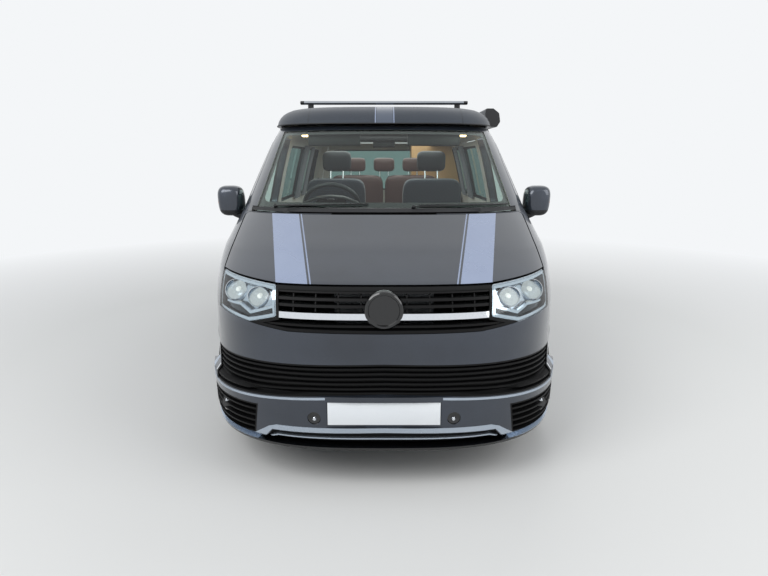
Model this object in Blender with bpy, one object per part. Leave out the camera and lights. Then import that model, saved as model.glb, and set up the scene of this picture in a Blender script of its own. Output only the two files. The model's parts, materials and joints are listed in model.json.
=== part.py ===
"""Camper van with an elevating roof, built panel by panel. Metres, +Z up, nose towards -Y, left side at +X."""

import math
from collections import namedtuple

import bmesh
import bpy
from mathutils import Matrix, Vector

# Driving sizes of the whole vehicle
FRONT_OVERHANG = 0.953
WHEELBASE = 3.0
REAR_OVERHANG = 0.997
HALF_WIDTH = 0.952
BODY_HEIGHT = 1.80
CAB_LENGTH = 2.24
REAR_BUMPER_DEPTH = 0.08
FRONT_AXLE = FRONT_OVERHANG
REAR_AXLE = FRONT_AXLE + WHEELBASE
LENGTH = REAR_AXLE + REAR_OVERHANG
REAR_FACE = LENGTH - REAR_BUMPER_DEPTH

# Walls, gaps and cutter margins
WALL = 0.055
BUMPER_WALL = 0.040
LID_WALL = 0.022
CANVAS_WALL = 0.012
HOUSE_WALL = 0.015
GLASS_DEPTH = 0.004
GLASS_THICKNESS = 0.006
PANEL_GAP = 0.008
SEAM = 0.0008
SEAT_GAP = 0.0003
OVERRUN = 0.30
DOOR_DRAFT = 0.018

# Body side
SILL_BOTTOM = 0.256
SILL_TOP = 0.30
POST_WIDTH = 0.067
PILLAR_WIDTH = 0.067
SLIDING_DOOR_LENGTH = 1.09
WINDOW_MARGIN = 0.067
QUARTER_MARGIN = 0.128
WINDOW_CORNER = 0.045
DOOR_CORNER = 0.030
SLIDE_RAIL_MARGIN = 0.030
SLIDE_RAIL_DEPTH = 0.012

# Wheels
TYRE_RADIUS = 0.343
TYRE_HALF_WIDTH = 0.1275
TYRE_INSET = 0.138
RIM_RADIUS = 0.2283
RIM_HALF_WIDTH = 0.120
RIM_WALL = 0.014
RIM_BORE = 0.0303
ARCH_RADIUS = 0.400
ARCH_STRIP = 0.065
SPINDLE_RADIUS = 0.030
SPINDLE_LENGTH = 0.076
KINGPIN_INSET = 0.040
STEER_ROOM = 0.339
REAR_TYRE_ROOM = 0.0665
HALF_TRACK = HALF_WIDTH - TYRE_INSET
KINGPIN = HALF_TRACK - KINGPIN_INSET
FRONT_HOUSE_INNER = HALF_TRACK - STEER_ROOM
REAR_HOUSE_INNER = HALF_TRACK - TYRE_HALF_WIDTH - REAR_TYRE_ROOM
WHEEL_SIDES = 28

# Floor and rails
FLOOR_TOP = 0.540
FLOOR_THICKNESS = 0.040
FLOOR_LOW = FLOOR_TOP - FLOOR_THICKNESS
FLOOR_END_MARGIN = 0.090
HOUSE_DROP = 0.080
HOUSE_LOW = FLOOR_LOW - HOUSE_DROP
FIREWALL_THICKNESS = 0.023
RAIL_WIDTH = 0.088
RAIL_HEIGHT = 0.100
RAIL_OUTER = FRONT_HOUSE_INNER + SEAT_GAP * 10
RAIL_INNER = RAIL_OUTER - RAIL_WIDTH
RAIL_TOP = FLOOR_LOW + FLOOR_THICKNESS / 2
RAIL_LOW = RAIL_TOP - RAIL_HEIGHT
CROSS_MEMBER_WIDTH = 0.060
CROSS_MEMBER_LIP = 0.005
TAIL_WALL_GAP = 0.012

Section = namedtuple("Section", "height width nose nose_depth power tail tail_depth")

# Shares of: body height, half width, cab length, half width, (exponent), half width, half width
BODY_SECTION_SHARES = [
    Section(0.111, 0.935, 0.051, 1.100, 3.0, 0.074, 0.26),
    Section(0.167, 0.972, 0.029, 1.155, 3.0, 0.042, 0.26),
    Section(0.250, 0.987, 0.022, 1.155, 3.0, 0.010, 0.26),
    Section(0.344, 0.996, 0.0205, 1.155, 3.0, 0.000, 0.26),
    Section(0.444, 1.000, 0.0285, 1.155, 3.0, 0.000, 0.26),
    Section(0.500, 0.998, 0.041, 1.155, 3.0, 0.003, 0.26),
    Section(0.525, 0.996, 0.0535, 1.155, 3.0, 0.004, 0.26),
    Section(0.539, 0.995, 0.0715, 1.100, 3.0, 0.005, 0.26),
    Section(0.556, 0.994, 0.105, 1.000, 3.0, 0.005, 0.26),
    Section(0.594, 0.991, 0.183, 0.860, 3.0, 0.006, 0.26),
    Section(0.611, 0.982, 0.2165, 0.820, 3.0, 0.008, 0.26),
    Section(0.644, 0.966, 0.286, 0.715, 3.0, 0.012, 0.26),
    Section(0.692, 0.945, 0.382, 0.630, 3.0, 0.021, 0.26),
    Section(0.833, 0.883, 0.520, 0.650, 3.0, 0.074, 0.26),
    Section(0.968, 0.807, 0.652, 0.650, 3.0, 0.137, 0.26),
    Section(0.983, 0.793, 0.674, 0.630, 3.0, 0.158, 0.26),
    Section(0.994, 0.767, 0.699, 0.600, 3.0, 0.189, 0.25),
    Section(1.000, 0.725, 0.728, 0.565, 3.0, 0.231, 0.23),
]
# The lowest three rows are the splitter's lip, and the step at 0.270 is the flare over it
BUMPER_SECTION_SHARES = [
    Section(0.1160, 0.997, 0.0100, 1.120, 3.0, 0.622, 0.26),
    Section(0.1230, 1.000, 0.0085, 1.120, 3.0, 0.622, 0.26),
    Section(0.1270, 0.986, 0.0250, 1.100, 3.0, 0.622, 0.26),
    Section(0.1450, 1.008, 0.0030, 1.120, 3.0, 0.622, 0.26),
    Section(0.2500, 1.012, 0.0000, 1.120, 3.0, 0.622, 0.26),
    Section(0.2680, 1.012, 0.0000, 1.120, 3.0, 0.622, 0.26),
    Section(0.2710, 0.990, 0.0120, 1.155, 3.0, 0.622, 0.26),
    Section(0.3440, 0.995, 0.0205, 1.155, 3.0, 0.622, 0.26),
    Section(0.4250, 0.997, 0.0250, 1.155, 3.0, 0.622, 0.26),
    Section(0.4700, 0.997, 0.0335, 1.155, 3.0, 0.622, 0.26),
]
REAR_BUMPER_SECTION_SHARES = [
    Section(0.1330, 1.000, 1.0, 0.20, 3.0, 0.040, 0.26),
    Section(0.2200, 1.016, 1.0, 0.20, 3.0, 0.000, 0.26),
    Section(0.2900, 1.018, 1.0, 0.20, 3.0, 0.002, 0.26),
    Section(0.3110, 1.012, 1.0, 0.20, 3.0, 0.018, 0.26),
]
LID_SECTION_SHARES = [
    Section(0.984, 0.818, 0.652, 0.660, 3.0, 0.134, 0.26),
    Section(1.004, 0.812, 0.665, 0.650, 3.0, 0.142, 0.26),
    Section(1.030, 0.785, 0.692, 0.640, 3.0, 0.165, 0.26),
    Section(1.050, 0.735, 0.740, 0.620, 3.0, 0.210, 0.25),
    Section(1.064, 0.670, 0.850, 0.590, 3.0, 0.300, 0.23),
    Section(1.076, 0.560, 1.050, 0.500, 3.0, 0.480, 0.20),
]
NOSE_STEPS = 6
TAIL_STEPS = 4
TAIL_POWER = 3.5


def station(distance):
    """Y of a place given as a distance behind the nose."""
    return distance - LENGTH / 2


def across(share):
    """Distance from the middle line, counted in half widths."""
    return share * HALF_WIDTH


def along(share):
    """Distance behind the nose. The share counts the cab up to 1, and the living space from 1 to 2."""
    if share <= 1:
        return share * CAB_LENGTH
    return CAB_LENGTH + (share - 1) * (REAR_FACE - CAB_LENGTH)


def upward(share):
    """Height over the ground, counted in body heights."""
    return share * BODY_HEIGHT


def front_view(shares):
    return [(across(x), upward(z)) for x, z in shares]


def side_view(shares):
    return [(along(s), upward(z)) for s, z in shares]


# Places along and up the body that several pieces meet at
DOOR_FRONT = along(0.5246)
DOOR_REAR = along(0.9978)
DOOR_TOP = upward(0.9472)
BELT = upward(0.6667)
WINDOW_TOP = upward(0.9194)
RAIL = upward(0.9639)
SLIDE_FRONT = DOOR_REAR + PILLAR_WIDTH
SLIDE_REAR = SLIDE_FRONT + SLIDING_DOOR_LENGTH
COWL_LOW = upward(0.6933)
COWL_TOP = upward(0.7039)
COWL_HALF_WIDTH = across(0.8403)
BONNET_HALF_WIDTH = across(0.874)
BONNET_REAR_HEIGHT = upward(0.6867)
BONNET_BACK = along(0.4665)
FIREWALL = along(0.4308)
BUMPER_BACK = along(0.2768)
LAMP_BACK = along(0.25)
GRILLE_BACK = along(0.2679)
NOSE_LIMIT = along(0.4241)
DASH_BASE = upward(0.5556)
RAIL_FRONT = along(0.0268)
CROSS_MEMBER_FRONT = along(0.0893)
SCUTTLE_FRONT = along(0.4085)
SCUTTLE_HALF_WIDTH = across(0.588)
TAIL_FRONT = along(1.860)
TAIL_LAMP_FRONT = along(1.9202)
TAILGATE_LOW = upward(0.3222)
TAIL_WALL_HALF_WIDTH = across(0.688)
ROOF_OPENING_HALF_WIDTH = across(0.6092)
ROOF_OPENING_FRONT = along(0.8036)
ROOF_OPENING_BACK = along(1.7795)
ROOF_HALF_WIDTH = across(0.6933)
ROOF_LOW = upward(0.9444)
LID_REAR_INSET = 0.280
LID_REAR_ROOM = 0.010
LID_LOW_CUT = 0.006
LID_REAR = REAR_FACE - LID_REAR_INSET
LID_LOW = upward(LID_SECTION_SHARES[0].height)
LID_TOP = upward(LID_SECTION_SHARES[-1].height)

# Front-view half outlines, as shares of the half width and the body height
LAMP_INNER_TOP_SHARES = (0.5347, 0.5361)
LAMP_OUTER_TOP_SHARES = (0.8782, 0.5478)
LAMP_OUTER_LOW_SHARES = (0.8845, 0.4500)
LAMP_LOW_SHARES = (0.6733, 0.4394)
LAMP_INNER_LOW_SHARES = (0.5263, 0.4611)
GRILLE_LOW_SHARES = (0.4727, 0.4272)
GRILLE_MIDDLE_LOW_SHARES = (0.0, 0.4256)
GRILLE_MIDDLE_TOP_SHARES = (0.0, 0.5361)
LAMP_SHARES = [
    LAMP_INNER_TOP_SHARES,
    LAMP_OUTER_TOP_SHARES,
    LAMP_OUTER_LOW_SHARES,
    LAMP_LOW_SHARES,
    LAMP_INNER_LOW_SHARES,
]
GRILLE_SHARES = [
    GRILLE_MIDDLE_TOP_SHARES,
    LAMP_INNER_TOP_SHARES,
    LAMP_INNER_LOW_SHARES,
    LAMP_LOW_SHARES,
    GRILLE_LOW_SHARES,
    GRILLE_MIDDLE_LOW_SHARES,
]
BUMPER_TOP_SHARES = [
    GRILLE_MIDDLE_LOW_SHARES,
    GRILLE_LOW_SHARES,
    LAMP_LOW_SHARES,
    LAMP_OUTER_LOW_SHARES,
    (1.313, 0.4444),
]
BONNET_LOW_SHARES = [GRILLE_MIDDLE_TOP_SHARES, LAMP_INNER_TOP_SHARES, LAMP_OUTER_TOP_SHARES, (1.313, 0.5478)]
SCREEN_SHARES = [(0.0, 0.7056), (0.8036, 0.7039), (0.7164, 0.9600), (0.0, 0.9628)]
TAILGATE_SHARES = [(0.0, 0.3222), (0.8351, 0.3222), (0.8403, 0.6111), (0.6828, 0.9639), (0.0, 0.9639)]
TAIL_SCREEN_SHARES = [(0.7353, 0.6556), (0.6408, 0.9222)]
TAIL_LAMP_SHARES = [(0.8466, 0.5167), (1.313, 0.5167), (1.313, 0.7389), (0.8298, 0.7389)]
FIREWALL_SHARES = [(0.893, 0.2667), (0.893, 0.611), (0.588, 0.611), (0.588, 0.701)]

# Openings between slats, each as its lower and upper line from the middle outwards
Slats = namedtuple("Slats", "low high count bar_share")
UPPER_GRILLE_SHARES = Slats([(0.0, 0.4767), (0.512, 0.4767)], [(0.0, 0.5311), (0.518, 0.5311)], 4, 0.30)
LOWER_GRILLE_SHARES = Slats([(0.0, 0.4325), (0.470, 0.4335)], [(0.0, 0.4583), (0.510, 0.4583)], 2, 0.20)
INTAKE_SHARES = Slats(
    [(0.0, 0.2740), (0.30, 0.2720), (0.86, 0.2530)],
    [(0.0, 0.3467), (0.672, 0.3400), (0.87, 0.3360)],
    4,
    0.26,
)
FOG_POD_SHARES = Slats([(0.6471, 0.1480), (0.945, 0.1390)], [(0.6271, 0.2300), (0.955, 0.2222)], 4, 0.20)
ROUND_LAMP_SHARES = (0.339, 0.2083)
BOWL_SHARES = [(0.628, 0.4980, 0.050), (0.768, 0.4990, 0.058)]
DISC_SHARES = (0.0, 0.4844)

# Side-view outlines, as shares of the cab or living space and of the body height
DASHBOARD_SHARES = [
    (0.4732, 0.5556),
    (0.6339, 0.5556),
    (0.6607, 0.6222),
    (0.6429, 0.6806),
    (0.5357, 0.6944),
    (0.4732, 0.6861),
]
SCREEN_POST_TOP_SHARES = (0.7746, 0.7111)
WINDOW_NOSE_SHARES = (0.5536, 0.7067)
WINDOW_BEND_SHARE = 0.7790
QUARTER_REAR_SHARES = (1.8517, 1.8099)

# Nose fittings
BUMPER_RECESS = 0.022
ROUND_LAMP_RADIUS = 0.030
ROUND_LAMP_DEPTH = 0.020
BOWL_DEPTH = 0.034
DISC_RADIUS = 0.090
DISC_PROUD = 0.006
DISC_DEPTH = 0.040
PLATE_HALF_WIDTH = 0.264
PLATE_HEIGHT = 0.127
FRONT_PLATE_DEPTH = 0.014
REAR_PLATE_DEPTH = 0.012
FRONT_PLATE_LOW = upward(0.18333)
REAR_PLATE_LOW = upward(0.44444)

# Hinge leaves, each ending just short of the piece that it carries
DOOR_HINGE_HEIGHT_SHARES = (0.4444, 0.5444)
DOOR_HINGE_DEPTHS = (0.028, 0.048)
DOOR_HINGE_HEIGHT = 0.070
DOOR_HINGE_BACK = 0.020
DOOR_HINGE_REACH = 0.040
LEAF_THICKNESS = 0.020
LEAF_WIDTH = 0.040
BONNET_LEAF_WIDTH = 0.023
BONNET_LEAF_INSET = 0.006
BONNET_LEAF_LENGTH = 0.035
BONNET_LEAF_HEIGHT = 0.022
BONNET_LEAF_DROP = 0.043
ROOF_LEAF_DEPTH = 0.011
LID_LEAF_FORWARD = 0.155
LID_LEAF_SHARE = 0.42
TAILGATE_LEAF_FORWARD = 0.170
TAILGATE_LEAF_SHARE = 0.40
TAILGATE_LEAF_HEIGHT = 0.025

# Sliding door's rail groove in the rear quarter
SLIDE_RAIL_END_SHARE = 1.86
SLIDE_RAIL_SHARES = (0.575, 0.589)

# Handles
HANDLE_HALF_LENGTH = 0.085
HANDLE_HALF_HEIGHT = 0.013
HANDLE_REACH = 0.030
HANDLE_BAR = 0.013
HANDLE_FOOT = 0.030
HANDLE_HEIGHT_SHARE = 0.566

# Roof fittings
CANVAS_MARGIN = 0.032
CANVAS_HEIGHT = 0.0345
BAR_STATION_SHARES = (1.0228, 1.4981)
BAR_HALF_LENGTH = 0.654
BAR_HALF_DEPTH = 0.036
BAR_HALF_THICKNESS = 0.013
BAR_CLEARANCE = 0.0282
BAR_HEIGHT = LID_TOP + BAR_CLEARANCE + BAR_HALF_THICKNESS
BAR_PROFILE_SHARES = [(-1, -0.2), (-0.55, 1), (0.55, 1), (1, -0.2), (0.6, -1), (-0.6, -1)]
BAR_FOOT_SHARE = 0.88
BAR_FOOT_WIDTH = 0.054
BAR_FOOT_DROP = 0.150
AWNING_SHARES = [(0, 0.07), (0.78, 0), (1, 0.29), (0.91, 0.75), (0.52, 1), (0, 1)]
AWNING_DEPTH = 0.115
AWNING_HEIGHT = 0.140
AWNING_LIFT = 0.010
AWNING_INNER = across(0.830)
AWNING_LOW = BODY_HEIGHT - AWNING_LIFT
AWNING_ENDS_SHARES = (0.9911, 1.8213)
BRACKET_SHARES = (0.03, 0.491, 0.908)
BRACKET_HALF_WIDTH = 0.030
BRACKET_OVERLAP = 0.010
BRACKET_HEIGHT = 0.120
BRACKET_DEPTH = 0.060

# Mirrors, as shares of their depth, half width and half height
MIRROR_RING_SHARES = [(0, 0.68, 0.75), (0.18, 0.966, 0.97), (0.68, 1, 1), (1, 0.91, 0.92)]
MIRROR_DEPTH = 0.110
MIRROR_HALF_WIDTH = 0.088
MIRROR_HALF_HEIGHT = 0.100
MIRROR_OUT = 0.060
MIRROR_ARM_WIDTH = 0.070
MIRROR_ARM_HEIGHT = 0.065
MIRROR_ARM_DROP = 0.127
MIRROR_STATION = along(0.6004)
MIRROR_CENTRE_HEIGHT = upward(0.7094)

# Wheel profiles, as shares of the radius or half width that each column follows
TYRE_SHARES = [(0.0, -0.878), (0.62, -1.0), (1.0, -0.80), (1.0, 0.80), (0.62, 1.0), (0.0, 0.878)]
RIM_FACE_OUT = 0.098
HUB_FACE_OUT = 0.084
DISC_THICKNESS = 0.026
HUB_THICKNESS = 0.034
SPOKE_INNER_SHARE = 0.42
SPOKE_OUTER_SHARE = 0.915
SPOKE_HALF_ANGLE = 24
SPOKE_TAPER_SHARE = 0.62
SPOKE_COUNT = 5
SPOKE_CUT_DEPTH = 0.200

# Running gear
KNUCKLE_INNER = 0.040
KNUCKLE_OUTER = 0.005
KNUCKLE_HALF_LENGTH = 0.045
KNUCKLE_RISE = 0.090
KNUCKLE_DROP = 0.103
SUBFRAME_HALF_LENGTH = 0.055
SUBFRAME_LOW = 0.190
SUBFRAME_HEIGHT = 0.080
SUBFRAME_LEG = 0.055
ARM_HALF_LENGTH = 0.028
ARM_THICKNESS = 0.0347
ARM_ROOT_HALF_LENGTH = 0.050
BEAM_RADIUS = 0.034
TRAILING_ARM_WIDTH = 0.060
TRAILING_ARM_LENGTH = 0.513
TRAILING_ARM_SHARES = [(0.0, 0.30), (0.0, -0.30), (0.30, -0.36), (1.0, -0.34), (1.0, 0.34), (0.30, 0.20)]
TRAILING_ARM_HEIGHT = 0.110
TRAILING_ARM_INNER = across(0.4412)
ARM_BRACKET_LENGTH = 0.080
SPRING_RADIUS = 0.045
SPRING_FORWARD = 0.200
SPRING_SIDES = 12
TAILPIPE_RADIUS = 0.024
SILENCER_RADIUS = 0.078
EXHAUST_HEIGHT = 0.265
EXHAUST_ACROSS_SHARE = -0.2626
EXHAUST_ENDS_SHARES = (0.5134, 1.935)
SILENCER_SHARES = (1.175, 1.403)
HANGER_SHARES = (0.9, 1.29, 1.836)
HANGER_HALF_WIDTH = 0.012
HANGER_HALF_LENGTH = 0.020
ENGINE_SHARES = [
    (0.3466, 0.1875, 0.3839, 0.1667, 0.3556),
    (0.2731, 0.2143, 0.3571, 0.3333, 0.4778),
]
ENGINE_MOUNT_SHARES = (0.25, 0.2857, 0.2444, 0.2778)
RADIATOR_SHARES = (0.350, 0.4111)
RADIATOR_THICKNESS = 0.050
TANK_SHARES = (0.050, 0.640, 0.700, 1.060)
TANK_HEIGHT = 0.225
TANK_CORNER = 0.060

# Seats, as side-view outlines in shares of each cushion's length and thickness
CUSHION_SHARES = [(0.0, 0.20), (0.03, 0.85), (0.14, 1.0), (0.70, 0.84), (1.0, 0.92), (1.0, 0.0), (0.10, 0.0)]
BACK_SHARES = [(0.0, 0.0), (-0.10, 0.35), (0.0, 0.80), (0.16, 1.0), (0.78, 1.0), (1.0, 0.75), (1.0, 0.0)]
HEADREST_SHARES = [(0.0, 0.1), (0.06, 0.85), (0.35, 1.0), (0.80, 1.0), (1.0, 0.75), (0.85, 0.0), (0.20, 0.0)]
SOFT_ROW_SHARES = [(-1, -1), (-0.86, 0.9), (-0.62, -0.2), (0.62, -0.2), (0.86, 0.9), (1, -1)]
BOLSTER = 0.012
SEAT_FRONT = along(0.7602)
SEAT_LENGTH = 0.570
SEAT_HALF_WIDTH = 0.245
SEAT_OFFSET = across(0.3992)
PEDESTAL_HALF_WIDTH = 0.200
PEDESTAL_INSET = 0.090
PEDESTAL_HEIGHT = 0.185
CUSHION_THICKNESS = 0.150
BACK_THICKNESS = 0.130
BACK_HEIGHT = 0.600
BACK_RECLINE = 0.110
HEADREST_HALF_WIDTH = 0.120
HEADREST_THICKNESS = 0.100
HEADREST_HEIGHT = 0.170
HEADREST_GAP = 0.045
HEADREST_POST = 0.012
BENCH_FRONT = along(1.3210)
BENCH_LENGTH = 0.600
BENCH_HALF_WIDTH = across(0.5987)
BENCH_BACK_HEIGHT = 0.550
BENCH_HEADREST_SHARES = (-0.53, 0.0, 0.53)

# Dashboard and steering wheel
DASH_HALF_WIDTH = across(0.8193)
DASH_MOUNT_SHARES = (0.5252, 0.4911, 0.6167, 0.6667)
STEERING_WHEEL_SHARES = (-0.3729, 0.6786, 0.6861)
STEERING_ROOT_SHARES = (-0.3729, 0.5938, 0.6056)
STEERING_WHEEL_RADIUS = 0.185
STEERING_WHEEL_TUBE = 0.015
STEERING_COLUMN_RADIUS = 0.035
STEERING_SIDES = 24
TUBE_SIDES = 6

# Furniture, as shares of the half width, living space and body height
KITCHEN_SHARES = (0.643, 1.0684, 1.3042, 0.6389)
WORKTOP_THICKNESS = 0.020
WORKTOP_LIP = 0.013
SINK_MARGIN = 0.045
SINK_DEPTH = 0.110
SINK_SHARE = 0.45
GROOVE = 0.005
GROOVE_SHARES = (0.333, 0.667)
WARDROBE_SHARES = (0.3151, 0.6428, 1.6768, 1.8669, 0.9528)
WARDROBE_WING_SHARES = (0.6303, 0.893, 1.6768, 1.8517, 0.4278, 0.9389)


def clear_scene():
    for old in list(bpy.data.objects):
        bpy.data.objects.remove(old)


MATERIALS = {
    "paint": ((0.085, 0.092, 0.105), 0.35, 0.7),
    "black_plastic": ((0.015, 0.015, 0.017), 0.45, 0.0),
    "silver": ((0.55, 0.58, 0.62), 0.3, 0.8),
    "glass": ((0.25, 0.33, 0.33), 0.05, 0.0),
    "lens": ((0.75, 0.78, 0.80), 0.08, 0.0),
    "red_lens": ((0.45, 0.02, 0.02), 0.15, 0.0),
    "rubber": ((0.02, 0.02, 0.02), 0.8, 0.0),
    "steel": ((0.09, 0.09, 0.10), 0.6, 0.6),
    "alloy": ((0.45, 0.46, 0.48), 0.3, 0.9),
    "seat_cloth": ((0.03, 0.035, 0.05), 0.9, 0.0),
    "wood": ((0.55, 0.36, 0.20), 0.5, 0.0),
    "canvas": ((0.20, 0.21, 0.23), 0.9, 0.0),
    "roof_paint": ((0.075, 0.085, 0.105), 0.4, 0.5),
}


def material(name):
    """The named finish, made once."""
    found = bpy.data.materials.get(name)
    if found:
        return found
    colour, roughness, metallic = MATERIALS[name]
    made = bpy.data.materials.new(name)
    made.use_nodes = True
    shader = made.node_tree.nodes["Principled BSDF"]
    shader.inputs["Base Color"].default_value = (*colour, 1.0)
    shader.inputs["Roughness"].default_value = roughness
    shader.inputs["Metallic"].default_value = metallic
    return made


def new_object(name, mesh_data):
    made = bpy.data.objects.new(name, mesh_data)
    bpy.context.scene.collection.objects.link(made)
    return made


def from_bmesh(name, shape):
    bmesh.ops.recalc_face_normals(shape, faces=shape.faces)
    mesh_data = bpy.data.meshes.new(name)
    shape.to_mesh(mesh_data)
    shape.free()
    return new_object(name, mesh_data)


def finished(target, finish):
    target.data.materials.clear()
    target.data.materials.append(material(finish))
    return target


def superellipse(angle, power):
    """(across, along) shares of a quarter superellipse, from its middle at 0 to its side at a right angle."""
    side = math.sin(angle) ** (2 / power) if angle > 0 else 0.0
    depth = 1 - max(math.cos(angle), 0.0) ** (2 / power)
    return side, depth


def plan_ring(section):
    """Plan outline of a body section, right round, as (x, y)."""
    half = []
    for step in range(NOSE_STEPS + 1):
        side, depth = superellipse(math.pi / 2 * step / NOSE_STEPS, section.power)
        half.append((section.width * side, station(section.nose + section.nose_depth * depth)))
    for step in range(TAIL_STEPS, -1, -1):
        side, depth = superellipse(math.pi / 2 * step / TAIL_STEPS, TAIL_POWER)
        half.append((section.width * side, station(section.tail - section.tail_depth * depth)))
    mirrored = [(-x, y) for x, y in reversed(half[1:-1])]
    return half + mirrored


def real_section(share, tail_datum):
    """A section's shares turned into metres."""
    return Section(
        share.height * BODY_HEIGHT,
        share.width * HALF_WIDTH,
        share.nose * CAB_LENGTH,
        share.nose_depth * HALF_WIDTH,
        share.power,
        tail_datum - share.tail * HALF_WIDTH,
        share.tail_depth * HALF_WIDTH,
    )


BODY = [real_section(share, REAR_FACE) for share in BODY_SECTION_SHARES]
BUMPER = [real_section(share, CAB_LENGTH) for share in BUMPER_SECTION_SHARES]
REAR_BUMPER = [real_section(share, LENGTH) for share in REAR_BUMPER_SECTION_SHARES]
LID = [real_section(share, LID_REAR) for share in LID_SECTION_SHARES]
LID_ROOM = [real_section(share, LID_REAR + LID_REAR_ROOM) for share in LID_SECTION_SHARES]


def loft(name, rings):
    """Closed solid through rings of equal counts, given as lists of 3-D points, with flat ends."""
    shape = bmesh.new()
    made = [[shape.verts.new(point) for point in ring] for ring in rings]
    for low, high in zip(made, made[1:]):
        for here in range(len(low)):
            after = (here + 1) % len(low)
            shape.faces.new((low[here], low[after], high[after], high[here]))
    shape.faces.new(list(reversed(made[0])))
    shape.faces.new(made[-1])
    return from_bmesh(name, shape)


def between(sections, height):
    """The section at a height, found between its neighbours."""
    for low, high in zip(sections, sections[1:]):
        if height <= high.height:
            break
    share = (height - low.height) / (high.height - low.height)
    return Section(*(a + (b - a) * share for a, b in zip(low, high)))


def section_loft(name, sections, inset=0.0, ends=0.0):
    """Solid lofted upwards through plan outlines, moved in by inset and its ends by ends, or out where negative."""
    low, high = sections[0].height + ends, sections[-1].height - ends
    if ends > 0:
        kept = [section for section in sections if low < section.height < high]
        sections = [between(sections, low), *kept, between(sections, high)]
    else:
        sections = [sections[0]._replace(height=low), *sections[1:-1], sections[-1]._replace(height=high)]
    rings = []
    for section in sections:
        moved = section._replace(
            width=section.width - inset,
            nose=section.nose + inset,
            tail=section.tail - inset,
        )
        rings.append([(x, y, section.height) for x, y in plan_ring(moved)])
    return loft(name, rings)


def skin_x(distance, height):
    """Half width of the body's skin at a distance behind the nose and a height."""
    here = between(BODY, min(max(height, BODY[0].height), BODY[-1].height))
    front = min(max((distance - here.nose) / here.nose_depth, 0.0), 1.0)
    rear = min(max((here.tail - distance) / here.tail_depth, 0.0), 1.0)
    by_nose = (1 - (1 - front) ** here.power) ** (1 / here.power)
    by_tail = (1 - (1 - rear) ** TAIL_POWER) ** (1 / TAIL_POWER)
    return here.width * min(by_nose, by_tail)


def nose_at(sections, offset, height):
    """Distance behind the nose of a skin's front at a distance from the middle line and a height."""
    here = between(sections, height)
    side = min(abs(offset) / here.width, 1.0)
    return here.nose + here.nose_depth * (1 - (1 - side**here.power) ** (1 / here.power))


def freeze(target):
    """Replaces an object's mesh by the evaluated one and drops its modifiers."""
    graph = bpy.context.evaluated_depsgraph_get()
    frozen = bpy.data.meshes.new_from_object(target.evaluated_get(graph))
    target.modifiers.clear()
    target.data = frozen
    return target


def copy_of(source, name):
    made = source.copy()
    made.data = source.data.copy()
    made.name = name
    bpy.context.scene.collection.objects.link(made)
    return made


def closed_volume(mesh_data):
    """Volume inside a mesh, or zero where it is not closed."""
    shape = bmesh.new()
    shape.from_mesh(mesh_data)
    closed = all(len(edge.link_faces) == 2 for edge in shape.edges)
    volume = shape.calc_volume(signed=True) if closed else 0.0
    shape.free()
    return volume


LEAST_VOLUME_SHARE = 0.01


def combine(target, others, operation, keep):
    """Boolean of the target with each other object. The second solver runs where the first leaves an unsound mesh."""
    for other in others:
        before = target.data
        least = closed_volume(before) * LEAST_VOLUME_SHARE
        for solver in ("EXACT", "MANIFOLD"):
            target.data = before
            change = target.modifiers.new(operation.lower(), "BOOLEAN")
            change.operation = operation
            change.solver = solver
            change.object = other
            freeze(target)
            if closed_volume(target.data) > least:
                break
        if not keep:
            bpy.data.objects.remove(other)
    return target


def cut(target, *others, keep=False):
    return combine(target, others, "DIFFERENCE", keep)


def join(target, *others):
    return combine(target, others, "UNION", False)


def common(target, *others, keep=False):
    return combine(target, others, "INTERSECT", keep)


def keep_largest(target):
    """Drops loose slivers, keeping the connected body that has the largest box."""
    shape = bmesh.new()
    shape.from_mesh(target.data)
    unseen = set(shape.verts)
    groups = []
    while unseen:
        stack = [unseen.pop()]
        group = set(stack)
        while stack:
            for edge in stack.pop().link_edges:
                for vert in edge.verts:
                    if vert in unseen:
                        unseen.discard(vert)
                        group.add(vert)
                        stack.append(vert)
        groups.append(group)

    def size(group):
        spans = [[v.co[axis] for v in group] for axis in range(3)]
        return math.dist([min(s) for s in spans], [max(s) for s in spans])

    largest = max(groups, key=size)
    loose = [v for v in shape.verts if v not in largest]
    bmesh.ops.delete(shape, geom=loose, context="VERTS")
    shape.to_mesh(target.data)
    shape.free()
    return target


def box(name, low, high):
    """Axis-aligned block between two corners, each (x, distance behind nose, z)."""
    shape = bmesh.new()
    bmesh.ops.create_cube(shape, size=1)
    low, high = (Vector((c[0], station(c[1]), c[2])) for c in (low, high))
    bmesh.ops.scale(shape, vec=high - low, verts=shape.verts)
    bmesh.ops.translate(shape, vec=(low + high) / 2, verts=shape.verts)
    return from_bmesh(name, shape)


def slab(name, half, front, back, low, high):
    """Block across the middle line."""
    return box(name, (-half, front, low), (half, back, high))


def side_slab(name, side, inner, outer, front, back, low, high):
    """Block on one side of the vehicle, between two distances from the middle line."""
    one, two = sorted((side * inner, side * outer))
    return box(name, (one, front, low), (two, back, high))


def rod(name, start, end, radius, sides=16):
    """Round bar between two points, each (x, distance behind nose, z)."""
    start, end = (Vector((p[0], station(p[1]), p[2])) for p in (start, end))
    shape = bmesh.new()
    bmesh.ops.create_cone(
        shape,
        cap_ends=True,
        segments=sides,
        radius1=radius,
        radius2=radius,
        depth=(end - start).length,
    )
    turn = (end - start).to_track_quat("Z", "Y").to_matrix().to_4x4()
    bmesh.ops.transform(shape, matrix=Matrix.Translation((start + end) / 2) @ turn, verts=shape.verts)
    return from_bmesh(name, shape)


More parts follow.
